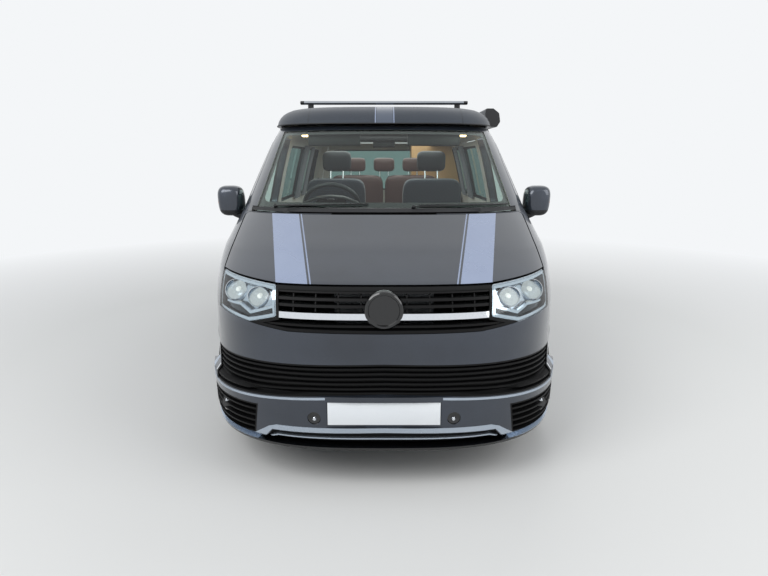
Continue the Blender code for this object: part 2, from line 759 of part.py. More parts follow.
def grown(outline, distance):
    """A closed 2-D outline with each edge moved out by a distance, or in where it is negative."""
    area = sum(a[0] * b[1] - b[0] * a[1] for a, b in zip(outline, outline[1:] + outline[:1]))
    turn = 1 if area > 0 else -1
    made = []
    for here in range(len(outline)):
        before, point, after = (Vector(outline[(here + k) % len(outline)]) for k in (-1, 0, 1))
        one = (point - before).normalized()
        two = (after - point).normalized()
        normal_one = Vector((one.y, -one.x)) * turn
        normal_two = Vector((two.y, -two.x)) * turn
        bisector = (normal_one + normal_two) / (1 + normal_one.dot(normal_two))
        made.append(tuple(point + bisector * distance))
    return made


def rounded(outline, radius, steps=3):
    """A closed 2-D outline with its corners rounded to one radius."""
    made = []
    for here in range(len(outline)):
        before, point, after = (Vector(outline[(here + k) % len(outline)]) for k in (-1, 0, 1))
        one = (before - point).normalized()
        two = (after - point).normalized()
        half = one.angle(two) / 2
        reach = radius / math.tan(half)
        centre = point + (one + two).normalized() * (radius / math.sin(half))
        start = point + one * reach - centre
        sweep = (point + two * reach - centre).angle_signed(start)
        for step in range(steps + 1):
            turned = start.copy()
            turned.rotate(Matrix.Rotation(sweep * step / steps, 2))
            made.append(tuple(centre + turned))
    return made


FOLLOW_STEP = 0.20


def divided(outline, longest=FOLLOW_STEP):
    """A closed 2-D outline with its long edges divided, so that it can follow a curved skin."""
    made = []
    for point, after in zip(outline, outline[1:] + outline[:1]):
        parts = max(1, math.ceil(math.dist(point, after) / longest))
        for part in range(parts):
            share = part / parts
            made.append(tuple(a + (b - a) * share for a, b in zip(point, after)))
    return made


def prism(name, outline, axis, low, high):
    """Solid of a 2-D outline drawn out along X, Y or Z. Distances behind the nose stand for Y."""
    def place(point, depth):
        if axis == "X":
            return (depth, station(point[0]), point[1])
        if axis == "Y":
            return (point[0], station(depth), point[1])
        return (point[0], station(point[1]), depth)

    return loft(name, [[place(p, depth) for p in outline] for depth in (low, high)])


def revolve(name, outline, sides):
    """Ring about the X axis of a closed (radius, across) outline."""
    shape = bmesh.new()
    rings = []
    for side in range(sides):
        angle = 2 * math.pi * side / sides
        rings.append([shape.verts.new((x, r * math.sin(angle), -r * math.cos(angle))) for r, x in outline])
    for here in range(sides):
        one, two = rings[here], rings[(here + 1) % sides]
        for point in range(len(outline)):
            after = (point + 1) % len(outline)
            shape.faces.new((one[point], one[after], two[after], two[point]))
    return from_bmesh(name, shape)


def whole(half_outline):
    """A front-view half outline made whole about the middle line."""
    left = [(x, z) for x, z in half_outline if x > 0]
    top = [point for point in half_outline[:1] if point[0] == 0]
    low = [point for point in half_outline[-1:] if point[0] == 0]
    return [*top, *left, *low, *[(-x, z) for x, z in reversed(left)]]


def sided(outline, side):
    return [(side * x, z) for x, z in outline]


def beyond(line, growth, height):
    """Front-view outline of what lies between a half line, moved up by growth, and a height, made whole."""
    left = [(x, z + growth) for x, z in line]
    return [(left[-1][0], height), *reversed(left), *[(-x, z) for x, z in left[1:]], (-left[-1][0], height)]


def slot_outlines(slats):
    """Half outlines of the openings between slats, spread evenly from the lower line to the upper one."""
    low, high = front_view(slats.low), front_view(slats.high)
    made = []
    for slot in range(slats.count):
        edges = []
        for share in (slot / slats.count, (slot + 1 - slats.bar_share) / slats.count):
            edges.append([tuple(a + (b - a) * share for a, b in zip(one, two)) for one, two in zip(low, high)])
        made.append([*edges[0], *reversed(edges[1])])
    return made


def front_prism(name, outline, front=-OVERRUN, back=NOSE_LIMIT):
    return prism(name, outline, "Y", front, back)


def side_prism(name, outline, side, inner=OVERRUN):
    low, high = sorted((side * inner, side * (HALF_WIDTH + OVERRUN)))
    return prism(name, outline, "X", low, high)


def half_space(side, front=-OVERRUN, back=LENGTH + OVERRUN, high=BODY_HEIGHT + OVERRUN, inner=OVERRUN):
    """Everything on one side of the vehicle between two stations and up to a height."""
    return side_slab("half", side, inner, HALF_WIDTH + OVERRUN, front, back, 0, high)


def reflected(source, name):
    """The same piece on the other side of the vehicle."""
    made = copy_of(source, name)
    made.data.transform(Matrix.Diagonal((-1, 1, 1, 1)))
    made.data.flip_normals()
    return made


def shifted(source, right=0.0, back=0.0, up=0.0):
    source.data.transform(Matrix.Translation((right, back, up)))
    return source


def put_at(target, x, distance, z):
    """Places a piece made at the origin, as an object position, so that it turns about that place."""
    target.location = (x, station(distance), z)
    return target


SIDES = ((1, "left"), (-1, "right"))


def door_outline():
    """The front door's side-view outline, with its lower front corner following the wheel arch."""
    strip = ARCH_RADIUS + ARCH_STRIP
    start = math.asin((DOOR_FRONT - FRONT_AXLE) / strip)
    stop = math.acos((SILL_TOP + ARCH_STRIP - TYRE_RADIUS) / strip)
    arch = []
    for step in range(6):
        angle = start + (stop - start) * step / 5
        arch.append((FRONT_AXLE + strip * math.sin(angle), TYRE_RADIUS + strip * math.cos(angle)))
    bend, post = SCREEN_POST_TOP_SHARES
    upper = [(DOOR_REAR, SILL_TOP), (DOOR_REAR, DOOR_TOP), (along(bend), DOOR_TOP), (DOOR_FRONT, upward(post))]
    return [*upper, *arch, (arch[-1][0], SILL_TOP)]


def door_window_outline():
    rear = DOOR_REAR - WINDOW_MARGIN
    nose, nose_height = side_view([WINDOW_NOSE_SHARES])[0]
    corners = [(nose, BELT), (rear, BELT), (rear, WINDOW_TOP), (along(WINDOW_BEND_SHARE), WINDOW_TOP), (nose, nose_height)]
    return rounded(corners, WINDOW_CORNER)


def slide_outline():
    top = RAIL - DOOR_CORNER
    corners = [(SLIDE_FRONT, SILL_TOP), (SLIDE_REAR, SILL_TOP), (SLIDE_REAR, top), (SLIDE_FRONT, top)]
    return rounded(corners, DOOR_CORNER)


def slide_window_outline():
    front, rear = SLIDE_FRONT + WINDOW_MARGIN, SLIDE_REAR - WINDOW_MARGIN
    return rounded([(front, BELT), (rear, BELT), (rear, WINDOW_TOP), (front, WINDOW_TOP)], WINDOW_CORNER)


def quarter_window_outline():
    front = SLIDE_REAR + QUARTER_MARGIN
    rear_low, rear_high = (along(share) for share in QUARTER_REAR_SHARES)
    return rounded([(front, BELT), (rear_low, BELT), (rear_high, WINDOW_TOP), (front, WINDOW_TOP)], WINDOW_CORNER)


def door_cutter(name, outline, growth, side):
    """Plug that follows the skin and narrows inwards, so that a door's edges swing clear."""
    base = divided(outline)
    outer = grown(base, growth)
    inner = grown(base, growth - DOOR_DRAFT)
    depth = WALL + PANEL_GAP
    rings = [
        [(HALF_WIDTH + OVERRUN, *p) for p in outer],
        [(skin_x(*p), *p) for p in outer],
        [(skin_x(*o) - depth, *i) for o, i in zip(outer, inner)],
        [(HALF_WIDTH - 2 * OVERRUN, *i) for i in inner],
    ]
    return loft(name, [[(side * x, station(s), z) for x, s, z in ring] for ring in rings])


def arch_cylinder(axle, radius=ARCH_RADIUS, inner=FRONT_HOUSE_INNER):
    """Both wheel openings of an axle."""
    outer = HALF_WIDTH + OVERRUN
    one, two = (
        rod("arch", (side * inner, axle, TYRE_RADIUS), (side * outer, axle, TYRE_RADIUS), radius, WHEEL_SIDES)
        for side, _ in SIDES
    )
    return join(one, two)


def body_shell():
    """The whole body's wall, open below, with the wheel arches cut and the roof cut away under the lid."""
    shell = section_loft("shell", BODY)
    cut(shell, section_loft("inside", BODY, WALL, WALL))
    cut(shell, box("under", (-LENGTH, -OVERRUN, -OVERRUN), (LENGTH, LENGTH + OVERRUN, SILL_BOTTOM)))
    cut(shell, arch_cylinder(FRONT_AXLE), arch_cylinder(REAR_AXLE))
    return cut(shell, section_loft("lid_room", LID_ROOM, -PANEL_GAP, -LID_LOW_CUT))


def glass_skin():
    skin = section_loft("glass_skin", BODY, GLASS_DEPTH)
    return cut(skin, section_loft("inside", BODY, GLASS_DEPTH + GLASS_THICKNESS, -OVERRUN))


def bonnet_room(growth, lift):
    """Space of the bonnet: over its low line, between its sides, and ahead of the cowl's line in plan."""
    back = BONNET_BACK + growth
    room = front_prism("over", beyond(front_view(BONNET_LOW_SHARES), lift, BODY_HEIGHT + OVERRUN), back=back)
    common(room, slab("plan", BONNET_HALF_WIDTH + growth, -OVERRUN, back + OVERRUN, 0, BODY_HEIGHT * 2))
    line = between(BODY, BONNET_REAR_HEIGHT)
    ring = plan_ring(line._replace(nose=line.nose + growth))
    return cut(room, loft("cowl_line", [[(x, y, z) for x, y in ring] for z in (0, BODY_HEIGHT * 2)]))


def build_grille(nose):
    """Upper grille: three slats, the broad strip under them, the lower opening and the plain round blank."""
    outline = whole(front_view(GRILLE_SHARES))
    grille = common(copy_of(nose, "upper_grille"), front_prism("grille", grown(outline, -SEAM / 2), back=GRILLE_BACK))
    keep_largest(grille)
    for slats in (UPPER_GRILLE_SHARES, LOWER_GRILLE_SHARES):
        for slot in slot_outlines(slats):
            cut(grille, front_prism("slot", whole(slot), back=GRILLE_BACK))
    x, z = front_view([DISC_SHARES])[0]
    front = nose_at(BODY, x, z) - DISC_PROUD
    join(grille, rod("blank", (x, front, z), (x, front + DISC_DEPTH, z), DISC_RADIUS, WHEEL_SIDES))
    return finished(keep_largest(grille), "black_plastic")


def build_bumper():
    """Front bumper with its slatted intake, fog lamp pods, round lamp pockets, plate recess and splitter."""
    bumper = section_loft("front_bumper", BUMPER)
    cut(bumper, section_loft("inside", BUMPER, BUMPER_WALL, -OVERRUN))
    common(bumper, front_prism("low", beyond(front_view(BUMPER_TOP_SHARES), -SEAM, 0), back=BUMPER_BACK))
    cut(bumper, arch_cylinder(FRONT_AXLE))
    keep_largest(bumper)
    for slot in slot_outlines(INTAKE_SHARES):
        cut(bumper, front_prism("slot", whole(slot), back=BUMPER_BACK))
    for side, _ in SIDES:
        for slot in slot_outlines(FOG_POD_SHARES):
            recess = front_prism("pod", sided(slot, side), back=BUMPER_BACK)
            cut(recess, section_loft("floor", BUMPER, BUMPER_RECESS, -OVERRUN))
            cut(bumper, recess)
        x, z = front_view([ROUND_LAMP_SHARES])[0]
        depth = nose_at(BUMPER, x, z) + ROUND_LAMP_DEPTH
        cut(bumper, rod("pocket", (side * x, -OVERRUN, z), (side * x, depth, z), ROUND_LAMP_RADIUS, 14))
    plate_top = FRONT_PLATE_LOW + PLATE_HEIGHT
    cut(bumper, slab("plate", PLATE_HALF_WIDTH, -OVERRUN, FRONT_PLATE_DEPTH, FRONT_PLATE_LOW, plate_top))
    return finished(keep_largest(bumper), "paint")


def build_front(shell):
    """Bonnet, wings, lamps, grille and bumper, split from the nose of the shell."""
    limit = (HALF_WIDTH + OVERRUN, DOOR_FRONT - PANEL_GAP, COWL_LOW - PANEL_GAP)
    nose = common(copy_of(shell, "nose"), box("nose", (-HALF_WIDTH - OVERRUN, -OVERRUN, 0), limit))
    grille = whole(front_view(GRILLE_SHARES))
    bonnet = common(copy_of(nose, "bonnet"), bonnet_room(0, PANEL_GAP))
    pieces = [finished(keep_largest(bonnet), "paint"), build_grille(nose), build_bumper()]
    for side, word in SIDES:
        lamp = sided(front_view(LAMP_SHARES), side)
        headlamp = common(copy_of(nose, f"headlamp_{word}"), front_prism("lamp", grown(lamp, -SEAM / 2), back=LAMP_BACK))
        keep_largest(headlamp)
        for x_share, z_share, radius in BOWL_SHARES:
            x, z = across(x_share), upward(z_share)
            depth = nose_at(BODY, x, z) + BOWL_DEPTH
            cut(headlamp, rod("bowl", (side * x, -OVERRUN, z), (side * x, depth, z), radius, 14))
        pieces.append(finished(keep_largest(headlamp), "lens"))

        wing = common(copy_of(nose, f"wing_{word}"), half_space(side))
        low = beyond(front_view(BUMPER_TOP_SHARES), 0, 0)
        cut(wing, front_prism("low", low, back=BUMPER_BACK + SEAM))
        cut(wing, front_prism("lamp", grown(lamp, SEAM / 2), back=LAMP_BACK))
        cut(wing, front_prism("grille", grown(grille, SEAM), back=GRILLE_BACK))
        cut(wing, bonnet_room(PANEL_GAP, SEAM))
        post = common(
            section_loft("post", BODY, WALL / 3),
            half_space(side, front=DOOR_FRONT - POST_WIDTH, back=DOOR_FRONT + OVERRUN),
        )
        cut(wing, post)
        leaf_outer = BONNET_HALF_WIDTH - BONNET_LEAF_INSET
        leaf_front = BONNET_BACK + SEAT_GAP
        leaf_low = BONNET_REAR_HEIGHT - BONNET_LEAF_DROP
        leaf = side_slab(
            "leaf",
            side,
            leaf_outer - BONNET_LEAF_WIDTH,
            leaf_outer,
            leaf_front,
            leaf_front + BONNET_LEAF_LENGTH,
            leaf_low,
            leaf_low + BONNET_LEAF_HEIGHT,
        )
        pieces.append(finished(keep_largest(join(wing, leaf)), "paint"))
    return pieces


def handle(side, middle, height):
    """Pull handle on a door's skin: a bar carried by a foot at each end."""
    skin = skin_x(middle, height)
    low, high = height - HANDLE_HALF_HEIGHT, height + HANDLE_HALF_HEIGHT
    front, back = middle - HANDLE_HALF_LENGTH, middle + HANDLE_HALF_LENGTH
    outer = skin + HANDLE_REACH
    bar = side_slab("handle", side, outer - HANDLE_BAR, outer, front, back, low, high)
    for start in (front, back - HANDLE_FOOT):
        join(bar, side_slab("foot", side, skin - WALL / 2, outer, start, start + HANDLE_FOOT, low, high))
    return bar


def wing_room(side):
    """What the wing takes of the side: all ahead of the hinge post, and the post's outer third."""
    top = COWL_LOW - PANEL_GAP + SEAM
    post = DOOR_FRONT - POST_WIDTH
    room = half_space(side, back=post + SEAM, high=top, inner=0)
    strip = half_space(side, front=post - 2 * SEAM, back=DOOR_FRONT - PANEL_GAP + SEAM, high=top)
    cut(strip, section_loft("post", BODY, WALL / 3 + SEAM, -OVERRUN))
    return join(room, strip)


def side_frame(shell, side, word):
    """Body side behind the wing, with its door openings, window holes and hinge leaves."""
    frame = common(copy_of(shell, f"side_{word}"), half_space(side, front=FIREWALL - WALL))
    tail = grown(whole(front_view(TAILGATE_SHARES)), PANEL_GAP)
    lamp = sided(front_view(TAIL_LAMP_SHARES), side)
    cut(frame, wing_room(side))
    cut(frame, front_prism("screen", whole(front_view(SCREEN_SHARES)), back=DOOR_REAR))
    cut(frame, slab("roof", ROOF_HALF_WIDTH + SEAT_GAP, NOSE_LIMIT, LENGTH, ROOF_LOW, BODY_HEIGHT + OVERRUN))
    cut(frame, slab("cowl", COWL_HALF_WIDTH, 0, DOOR_FRONT, DASH_BASE, COWL_TOP + SEAM))
    cut(frame, front_prism("tail", tail, front=TAIL_FRONT, back=LENGTH + OVERRUN))
    cut(frame, front_prism("tail_lamp", grown(lamp, SEAM / 2), front=TAIL_LAMP_FRONT, back=LENGTH + OVERRUN))
    cut(frame, slab("tail_wall", TAIL_WALL_HALF_WIDTH + SEAT_GAP, TAIL_FRONT, LENGTH, 0, TAILGATE_LOW))
    cut(frame, door_cutter("door_room", door_outline(), PANEL_GAP, side))
    cut(frame, side_prism("quarter", quarter_window_outline(), side))
    for share in DOOR_HINGE_HEIGHT_SHARES:
        low = upward(share)
        skin = skin_x(DOOR_FRONT, low)
        near, far = (skin - depth for depth in DOOR_HINGE_DEPTHS)
        front, back = DOOR_FRONT - DOOR_HINGE_BACK, DOOR_FRONT + DOOR_HINGE_REACH
        leaf = side_slab("hinge", side, near, far, front, back, low, low + DOOR_HINGE_HEIGHT)
        join(frame, cut(leaf, door_cutter("door_room", door_outline(), SEAT_GAP, side)))
    if side == 1:
        cut(frame, door_cutter("slide_room", slide_outline(), SEAM, side))
        groove = side_slab(
            "groove",
            side,
            OVERRUN,
            HALF_WIDTH + OVERRUN,
            SLIDE_REAR + SLIDE_RAIL_MARGIN,
            along(SLIDE_RAIL_END_SHARE),
            *(upward(share) for share in SLIDE_RAIL_SHARES),
        )
        cut(groove, section_loft("bed", BODY, SLIDE_RAIL_DEPTH, -OVERRUN))
        cut(frame, groove)
    else:
        cut(frame, side_prism("middle", slide_window_outline(), side))
    return finished(keep_largest(frame), "paint")


def pane(name, skin, outline, side):
    """Side window's glass, flush in its hole."""
    made = common(copy_of(skin, name), side_prism("pane", grown(outline, -SEAT_GAP), side))
    return finished(made, "glass")


def build_sides(shell, skin):
    """Body sides with their doors, windows and tail lamps."""
    pieces = []
    door_window = door_window_outline()
    slide_window = slide_window_outline()
    handle_height = upward(HANDLE_HEIGHT_SHARE)
    tail = grown(whole(front_view(TAILGATE_SHARES)), PANEL_GAP)
    for side, word in SIDES:
        pieces.append(side_frame(shell, side, word))
        door = common(copy_of(shell, f"front_door_{word}"), door_cutter("door", door_outline(), 0, side))
        cut(door, side_prism("window", door_window, side))
        join(keep_largest(door), handle(side, DOOR_REAR - HANDLE_HALF_LENGTH - WINDOW_MARGIN, handle_height))
        pieces.append(finished(door, "paint"))
        pieces.append(pane(f"door_glass_{word}", skin, door_window, side))
        pieces.append(pane(f"quarter_glass_{word}", skin, quarter_window_outline(), side))
        if side == 1:
            sliding = common(copy_of(shell, "sliding_door"), door_cutter("slide", slide_outline(), 0, side))
            cut(sliding, side_prism("window", slide_window, side))
            join(keep_largest(sliding), handle(side, SLIDE_FRONT + HANDLE_HALF_LENGTH + WINDOW_MARGIN, handle_height))
            pieces.append(finished(sliding, "paint"))
            pieces.append(pane("sliding_door_glass", skin, slide_window, side))
        else:
            pieces.append(pane("middle_glass_right", skin, slide_window, side))
        lamp = grown(sided(front_view(TAIL_LAMP_SHARES), side), -SEAM / 2)
        cluster = common(
            copy_of(shell, f"tail_lamp_{word}"),
            front_prism("lamp", lamp, front=TAIL_LAMP_FRONT, back=LENGTH + OVERRUN),
        )
        cut(cluster, front_prism("tail", tail, front=TAIL_FRONT, back=LENGTH + OVERRUN))
        pieces.append(finished(keep_largest(cluster), "red_lens"))
    return pieces


def build_tailgate(shell, skin):
    """Tailgate with its glass, plate recess and handle strip."""
    gate = common(
        copy_of(shell, "tailgate"),
        front_prism("tail", whole(front_view(TAILGATE_SHARES)), front=TAIL_FRONT, back=LENGTH + OVERRUN),
    )
    window = rounded(whole(front_view(TAIL_SCREEN_SHARES)), WINDOW_CORNER)
    cut(gate, front_prism("window", window, front=TAIL_FRONT, back=LENGTH + OVERRUN))
    front = REAR_FACE - REAR_PLATE_DEPTH
    plate_top = REAR_PLATE_LOW + PLATE_HEIGHT
    cut(gate, slab("plate", PLATE_HALF_WIDTH, front, LENGTH, REAR_PLATE_LOW, plate_top))
    keep_largest(gate)
    lip_low = plate_top + HANDLE_HALF_HEIGHT
    join(gate, slab(
        "lip",
        PLATE_HALF_WIDTH,
        front - HANDLE_FOOT,
        REAR_FACE + HANDLE_BAR,
        lip_low,
        lip_low + HANDLE_FOOT,
    ))
    glass = common(
        copy_of(skin, "tailgate_glass"),
        front_prism("pane", grown(window, -SEAT_GAP), front=TAIL_FRONT, back=LENGTH + OVERRUN),
    )
    return [finished(gate, "paint"), finished(keep_largest(glass), "glass")]


def build_roof(shell, skin):
    """Fixed roof frame with its hinge leaves, windscreen, lid and canvas."""
    frame = common(copy_of(shell, "roof_frame"), slab("roof", ROOF_HALF_WIDTH, NOSE_LIMIT, LENGTH, ROOF_LOW, LENGTH))
    cut(frame, front_prism("screen", whole(front_view(SCREEN_SHARES)), back=ROOF_OPENING_FRONT - WALL))
    tail = grown(whole(front_view(TAILGATE_SHARES)), PANEL_GAP)
    cut(frame, front_prism("tail", tail, front=TAIL_FRONT, back=LENGTH + OVERRUN))
    cut(frame, slab("opening", ROOF_OPENING_HALF_WIDTH, ROOF_OPENING_FRONT, ROOF_OPENING_BACK, 0, LENGTH))
    lid_hinge = LID_REAR - LID_LEAF_FORWARD
    gate_hinge = REAR_FACE - TAILGATE_LEAF_FORWARD
    lid_leaf, gate_leaf = across(LID_LEAF_SHARE), across(TAILGATE_LEAF_SHARE)
    gate_top = upward(TAILGATE_SHARES[-1][1]) + SEAT_GAP
    for side, _ in SIDES:
        join(frame, side_slab(
            "lid_leaf",
            side,
            lid_leaf,
            lid_leaf + LEAF_WIDTH,
            lid_hinge,
            lid_hinge + LEAF_THICKNESS,
            LID_LOW - ROOF_LEAF_DEPTH,
            LID_LOW - SEAM,
        ))
        join(frame, side_slab(
            "tailgate_leaf",
            side,
            gate_leaf,
            gate_leaf + LEAF_WIDTH,
            gate_hinge,
            gate_hinge + TAILGATE_LEAF_HEIGHT,
            gate_top,
            gate_top + TAILGATE_LEAF_HEIGHT,
        ))
    finished(keep_largest(frame), "paint")

    screen_outline = grown(whole(front_view(SCREEN_SHARES)), -SEAT_GAP)
    screen = common(copy_of(skin, "windscreen"), front_prism("screen", screen_outline, back=ROOF_OPENING_FRONT))
    finished(keep_largest(screen), "glass")

    lid = section_loft("pop_roof", LID)
    cut(lid, section_loft("inside", LID, LID_WALL, LID_WALL))
    cut(lid, section_loft("mouth", LID[:2], LID_WALL, -LID_WALL))
    finished(keep_largest(lid), "roof_paint")

    low = LID_LOW - LID_LOW_CUT + SEAT_GAP
    rings = []
    for margin, name in ((CANVAS_MARGIN, "canvas"), (CANVAS_MARGIN - CANVAS_WALL, "inside")):
        half, front, back = (
            ROOF_OPENING_HALF_WIDTH + margin,
            ROOF_OPENING_FRONT - margin,
            ROOF_OPENING_BACK + margin,
        )
        over = CANVAS_MARGIN - margin
        rings.append(slab(name, half, front, back, low - over, low + CANVAS_HEIGHT + over))
    canvas = finished(cut(*rings), "canvas")
    return [frame, screen, lid, canvas]


def build_roof_fittings(outer):
    """Roof bars on the lid, and the awning cassette on its brackets."""
    pieces = []
    lid_skin = section_loft("lid_skin", LID, -SEAT_GAP, -SEAT_GAP)
    profile = [(BAR_HALF_DEPTH * y, BAR_HEIGHT + BAR_HALF_THICKNESS * z) for y, z in BAR_PROFILE_SHARES]
    foot_outer = BAR_HALF_LENGTH * BAR_FOOT_SHARE + BAR_FOOT_WIDTH / 2
    for share, word in zip(BAR_STATION_SHARES, ("front", "rear")):
        place = along(share)
        outline = [(place + y, z) for y, z in profile]
        bar = prism(f"roof_bar_{word}", outline, "X", -BAR_HALF_LENGTH, BAR_HALF_LENGTH)
        for side, _ in SIDES:
            join(bar, side_slab(
                "foot",
                side,
                foot_outer - BAR_FOOT_WIDTH,
                foot_outer,
                place - BAR_HALF_DEPTH / 2,
                place + BAR_HALF_DEPTH / 2,
                BAR_HEIGHT - BAR_FOOT_DROP,
                BAR_HEIGHT,
            ))
        cut(bar, lid_skin, keep=True)
        pieces.append(finished(keep_largest(bar), "silver"))
    bpy.data.objects.remove(lid_skin)

    front, rear = (along(share) for share in AWNING_ENDS_SHARES)
    outline = [(AWNING_INNER + AWNING_DEPTH * x, AWNING_LOW + AWNING_HEIGHT * z) for x, z in AWNING_SHARES]
    awning = prism("awning", outline, "Y", front, rear)
    inner = AWNING_INNER + BRACKET_OVERLAP - BRACKET_DEPTH
    for share in BRACKET_SHARES:
        middle = front + (rear - front) * share + BRACKET_HALF_WIDTH
        high = AWNING_LOW + BRACKET_DEPTH / 2
        bracket = box(
            "bracket",
            (inner, middle - BRACKET_HALF_WIDTH, high - BRACKET_HEIGHT),
            (AWNING_INNER + BRACKET_OVERLAP, middle + BRACKET_HALF_WIDTH, high),
        )
        cut(bracket, outer, keep=True)
        cut(bracket, box("lid_side", (0, 0, RAIL + PANEL_GAP), (AWNING_INNER - SEAM * 4, LENGTH, LENGTH)))
        join(awning, keep_largest(bracket))
    pieces.append(finished(awning, "steel"))
    return pieces


def build_mirrors(outer):
    """Door mirrors: a rounded housing on an arm that stands on the door's skin."""
    centre = HALF_WIDTH + MIRROR_OUT
    rings = []
    for depth, width, high in MIRROR_RING_SHARES:
        x, z = MIRROR_HALF_WIDTH * width, MIRROR_HALF_HEIGHT * high
        outline = rounded([(x, z), (-x, z), (-x, -z), (x, -z)], x / 2, 2)
        y = station(MIRROR_STATION + MIRROR_DEPTH * depth)
        rings.append([(centre + right, y, MIRROR_CENTRE_HEIGHT + up) for right, up in outline])
    mirror = loft("mirror_left", rings)
    arm_low = MIRROR_CENTRE_HEIGHT - MIRROR_ARM_DROP
    arm_front = MIRROR_STATION + (MIRROR_DEPTH - MIRROR_ARM_WIDTH) / 2
    arm_inner = skin_x(arm_front, arm_low) - WALL
    join(mirror, box(
        "arm",
        (arm_inner, arm_front, arm_low),
        (centre, arm_front + MIRROR_ARM_WIDTH, arm_low + MIRROR_ARM_HEIGHT),
    ))
    cut(mirror, outer, keep=True)
    finished(keep_largest(mirror), "paint")
    return [mirror, reflected(mirror, "mirror_right")]


def build_floor(shell):
    """Floor, firewall, cowl, wheelhouses, front rails and the wall under the tailgate, as one welded body."""
    floor = slab("floor_structure", HALF_WIDTH, FIREWALL, REAR_FACE - FLOOR_END_MARGIN, FLOOR_LOW, FLOOR_TOP)
    firewall = whole(front_view([(0, FIREWALL_SHARES[-1][1]), *reversed(FIREWALL_SHARES), (0, FIREWALL_SHARES[0][1])]))
    join(floor, front_prism("firewall", firewall, front=FIREWALL, back=FIREWALL + FIREWALL_THICKNESS))
    rail_end = FIREWALL + FIREWALL_THICKNESS
    for side, _ in SIDES:
        join(floor, side_slab("rail", side, RAIL_INNER, RAIL_OUTER, RAIL_FRONT, rail_end, RAIL_LOW, RAIL_TOP))
    cross_back = CROSS_MEMBER_FRONT + CROSS_MEMBER_WIDTH
    cross = (RAIL_LOW + CROSS_MEMBER_LIP, RAIL_TOP - CROSS_MEMBER_LIP)
    join(floor, slab("cross_member", RAIL_OUTER - SEAM, CROSS_MEMBER_FRONT, cross_back, *cross))
    houses = []
    for axle, inner in ((FRONT_AXLE, FRONT_HOUSE_INNER), (REAR_AXLE, REAR_HOUSE_INNER)):
        for side, _ in SIDES:
            ends = [(side * x, axle, TYRE_RADIUS) for x in (inner, HALF_WIDTH)]
            houses.append(rod("house", *ends, ARCH_RADIUS + HOUSE_WALL, WHEEL_SIDES))
    for house in houses:
        cut(house, box("under", (-LENGTH, 0, -OVERRUN), (LENGTH, LENGTH, HOUSE_LOW)))
    join(floor, *houses)
    common(floor, section_loft("fit", BODY, WALL + SEAT_GAP, WALL / 2))
    for axle, inner in ((FRONT_AXLE, FRONT_HOUSE_INNER), (REAR_AXLE, REAR_HOUSE_INNER)):
        cut(floor, arch_cylinder(axle, ARCH_RADIUS, inner + HOUSE_WALL))
    wall_top = TAILGATE_LOW - TAIL_WALL_GAP
    tail = common(
        copy_of(shell, "tail_wall"),
        slab("tail", TAIL_WALL_HALF_WIDTH, TAIL_FRONT, LENGTH, 0, wall_top),
    )
    sill_front, sill_back = REAR_FACE - FLOOR_END_MARGIN * 3, REAR_FACE - WALL
    sill = slab("tail_sill", TAIL_WALL_HALF_WIDTH - SEAM, sill_front, sill_back, FLOOR_LOW - SEAM, FLOOR_TOP - SEAM)
    join(floor, tail, sill)
    cowl_low, cowl_high = COWL_LOW, COWL_TOP - SEAT_GAP
    cowl = common(
        copy_of(shell, "cowl"),
        slab("cowl", COWL_HALF_WIDTH - SEAT_GAP, BONNET_BACK / 2, DOOR_FRONT - POST_WIDTH / 2, cowl_low, cowl_high),
    )
    scuttle = slab("scuttle", SCUTTLE_HALF_WIDTH, SCUTTLE_FRONT, FIREWALL + SEAM * 10, cowl_low + SEAM, cowl_high - SEAM)
    join(floor, cowl, scuttle)
    return finished(keep_largest(floor), "steel")


def build_rear_bumper():
    """Rear bumper's wrap-round skin behind the wheel arches."""
    bumper = section_loft("rear_bumper", REAR_BUMPER)
    rear = REAR_AXLE + ARCH_RADIUS + WALL
    common(bumper, box("rear", (-LENGTH, rear, 0), (LENGTH, LENGTH + OVERRUN, LENGTH)))
    cut(bumper, section_loft("body", BODY, -SEAT_GAP, -OVERRUN))
    return finished(keep_largest(bumper), "paint")


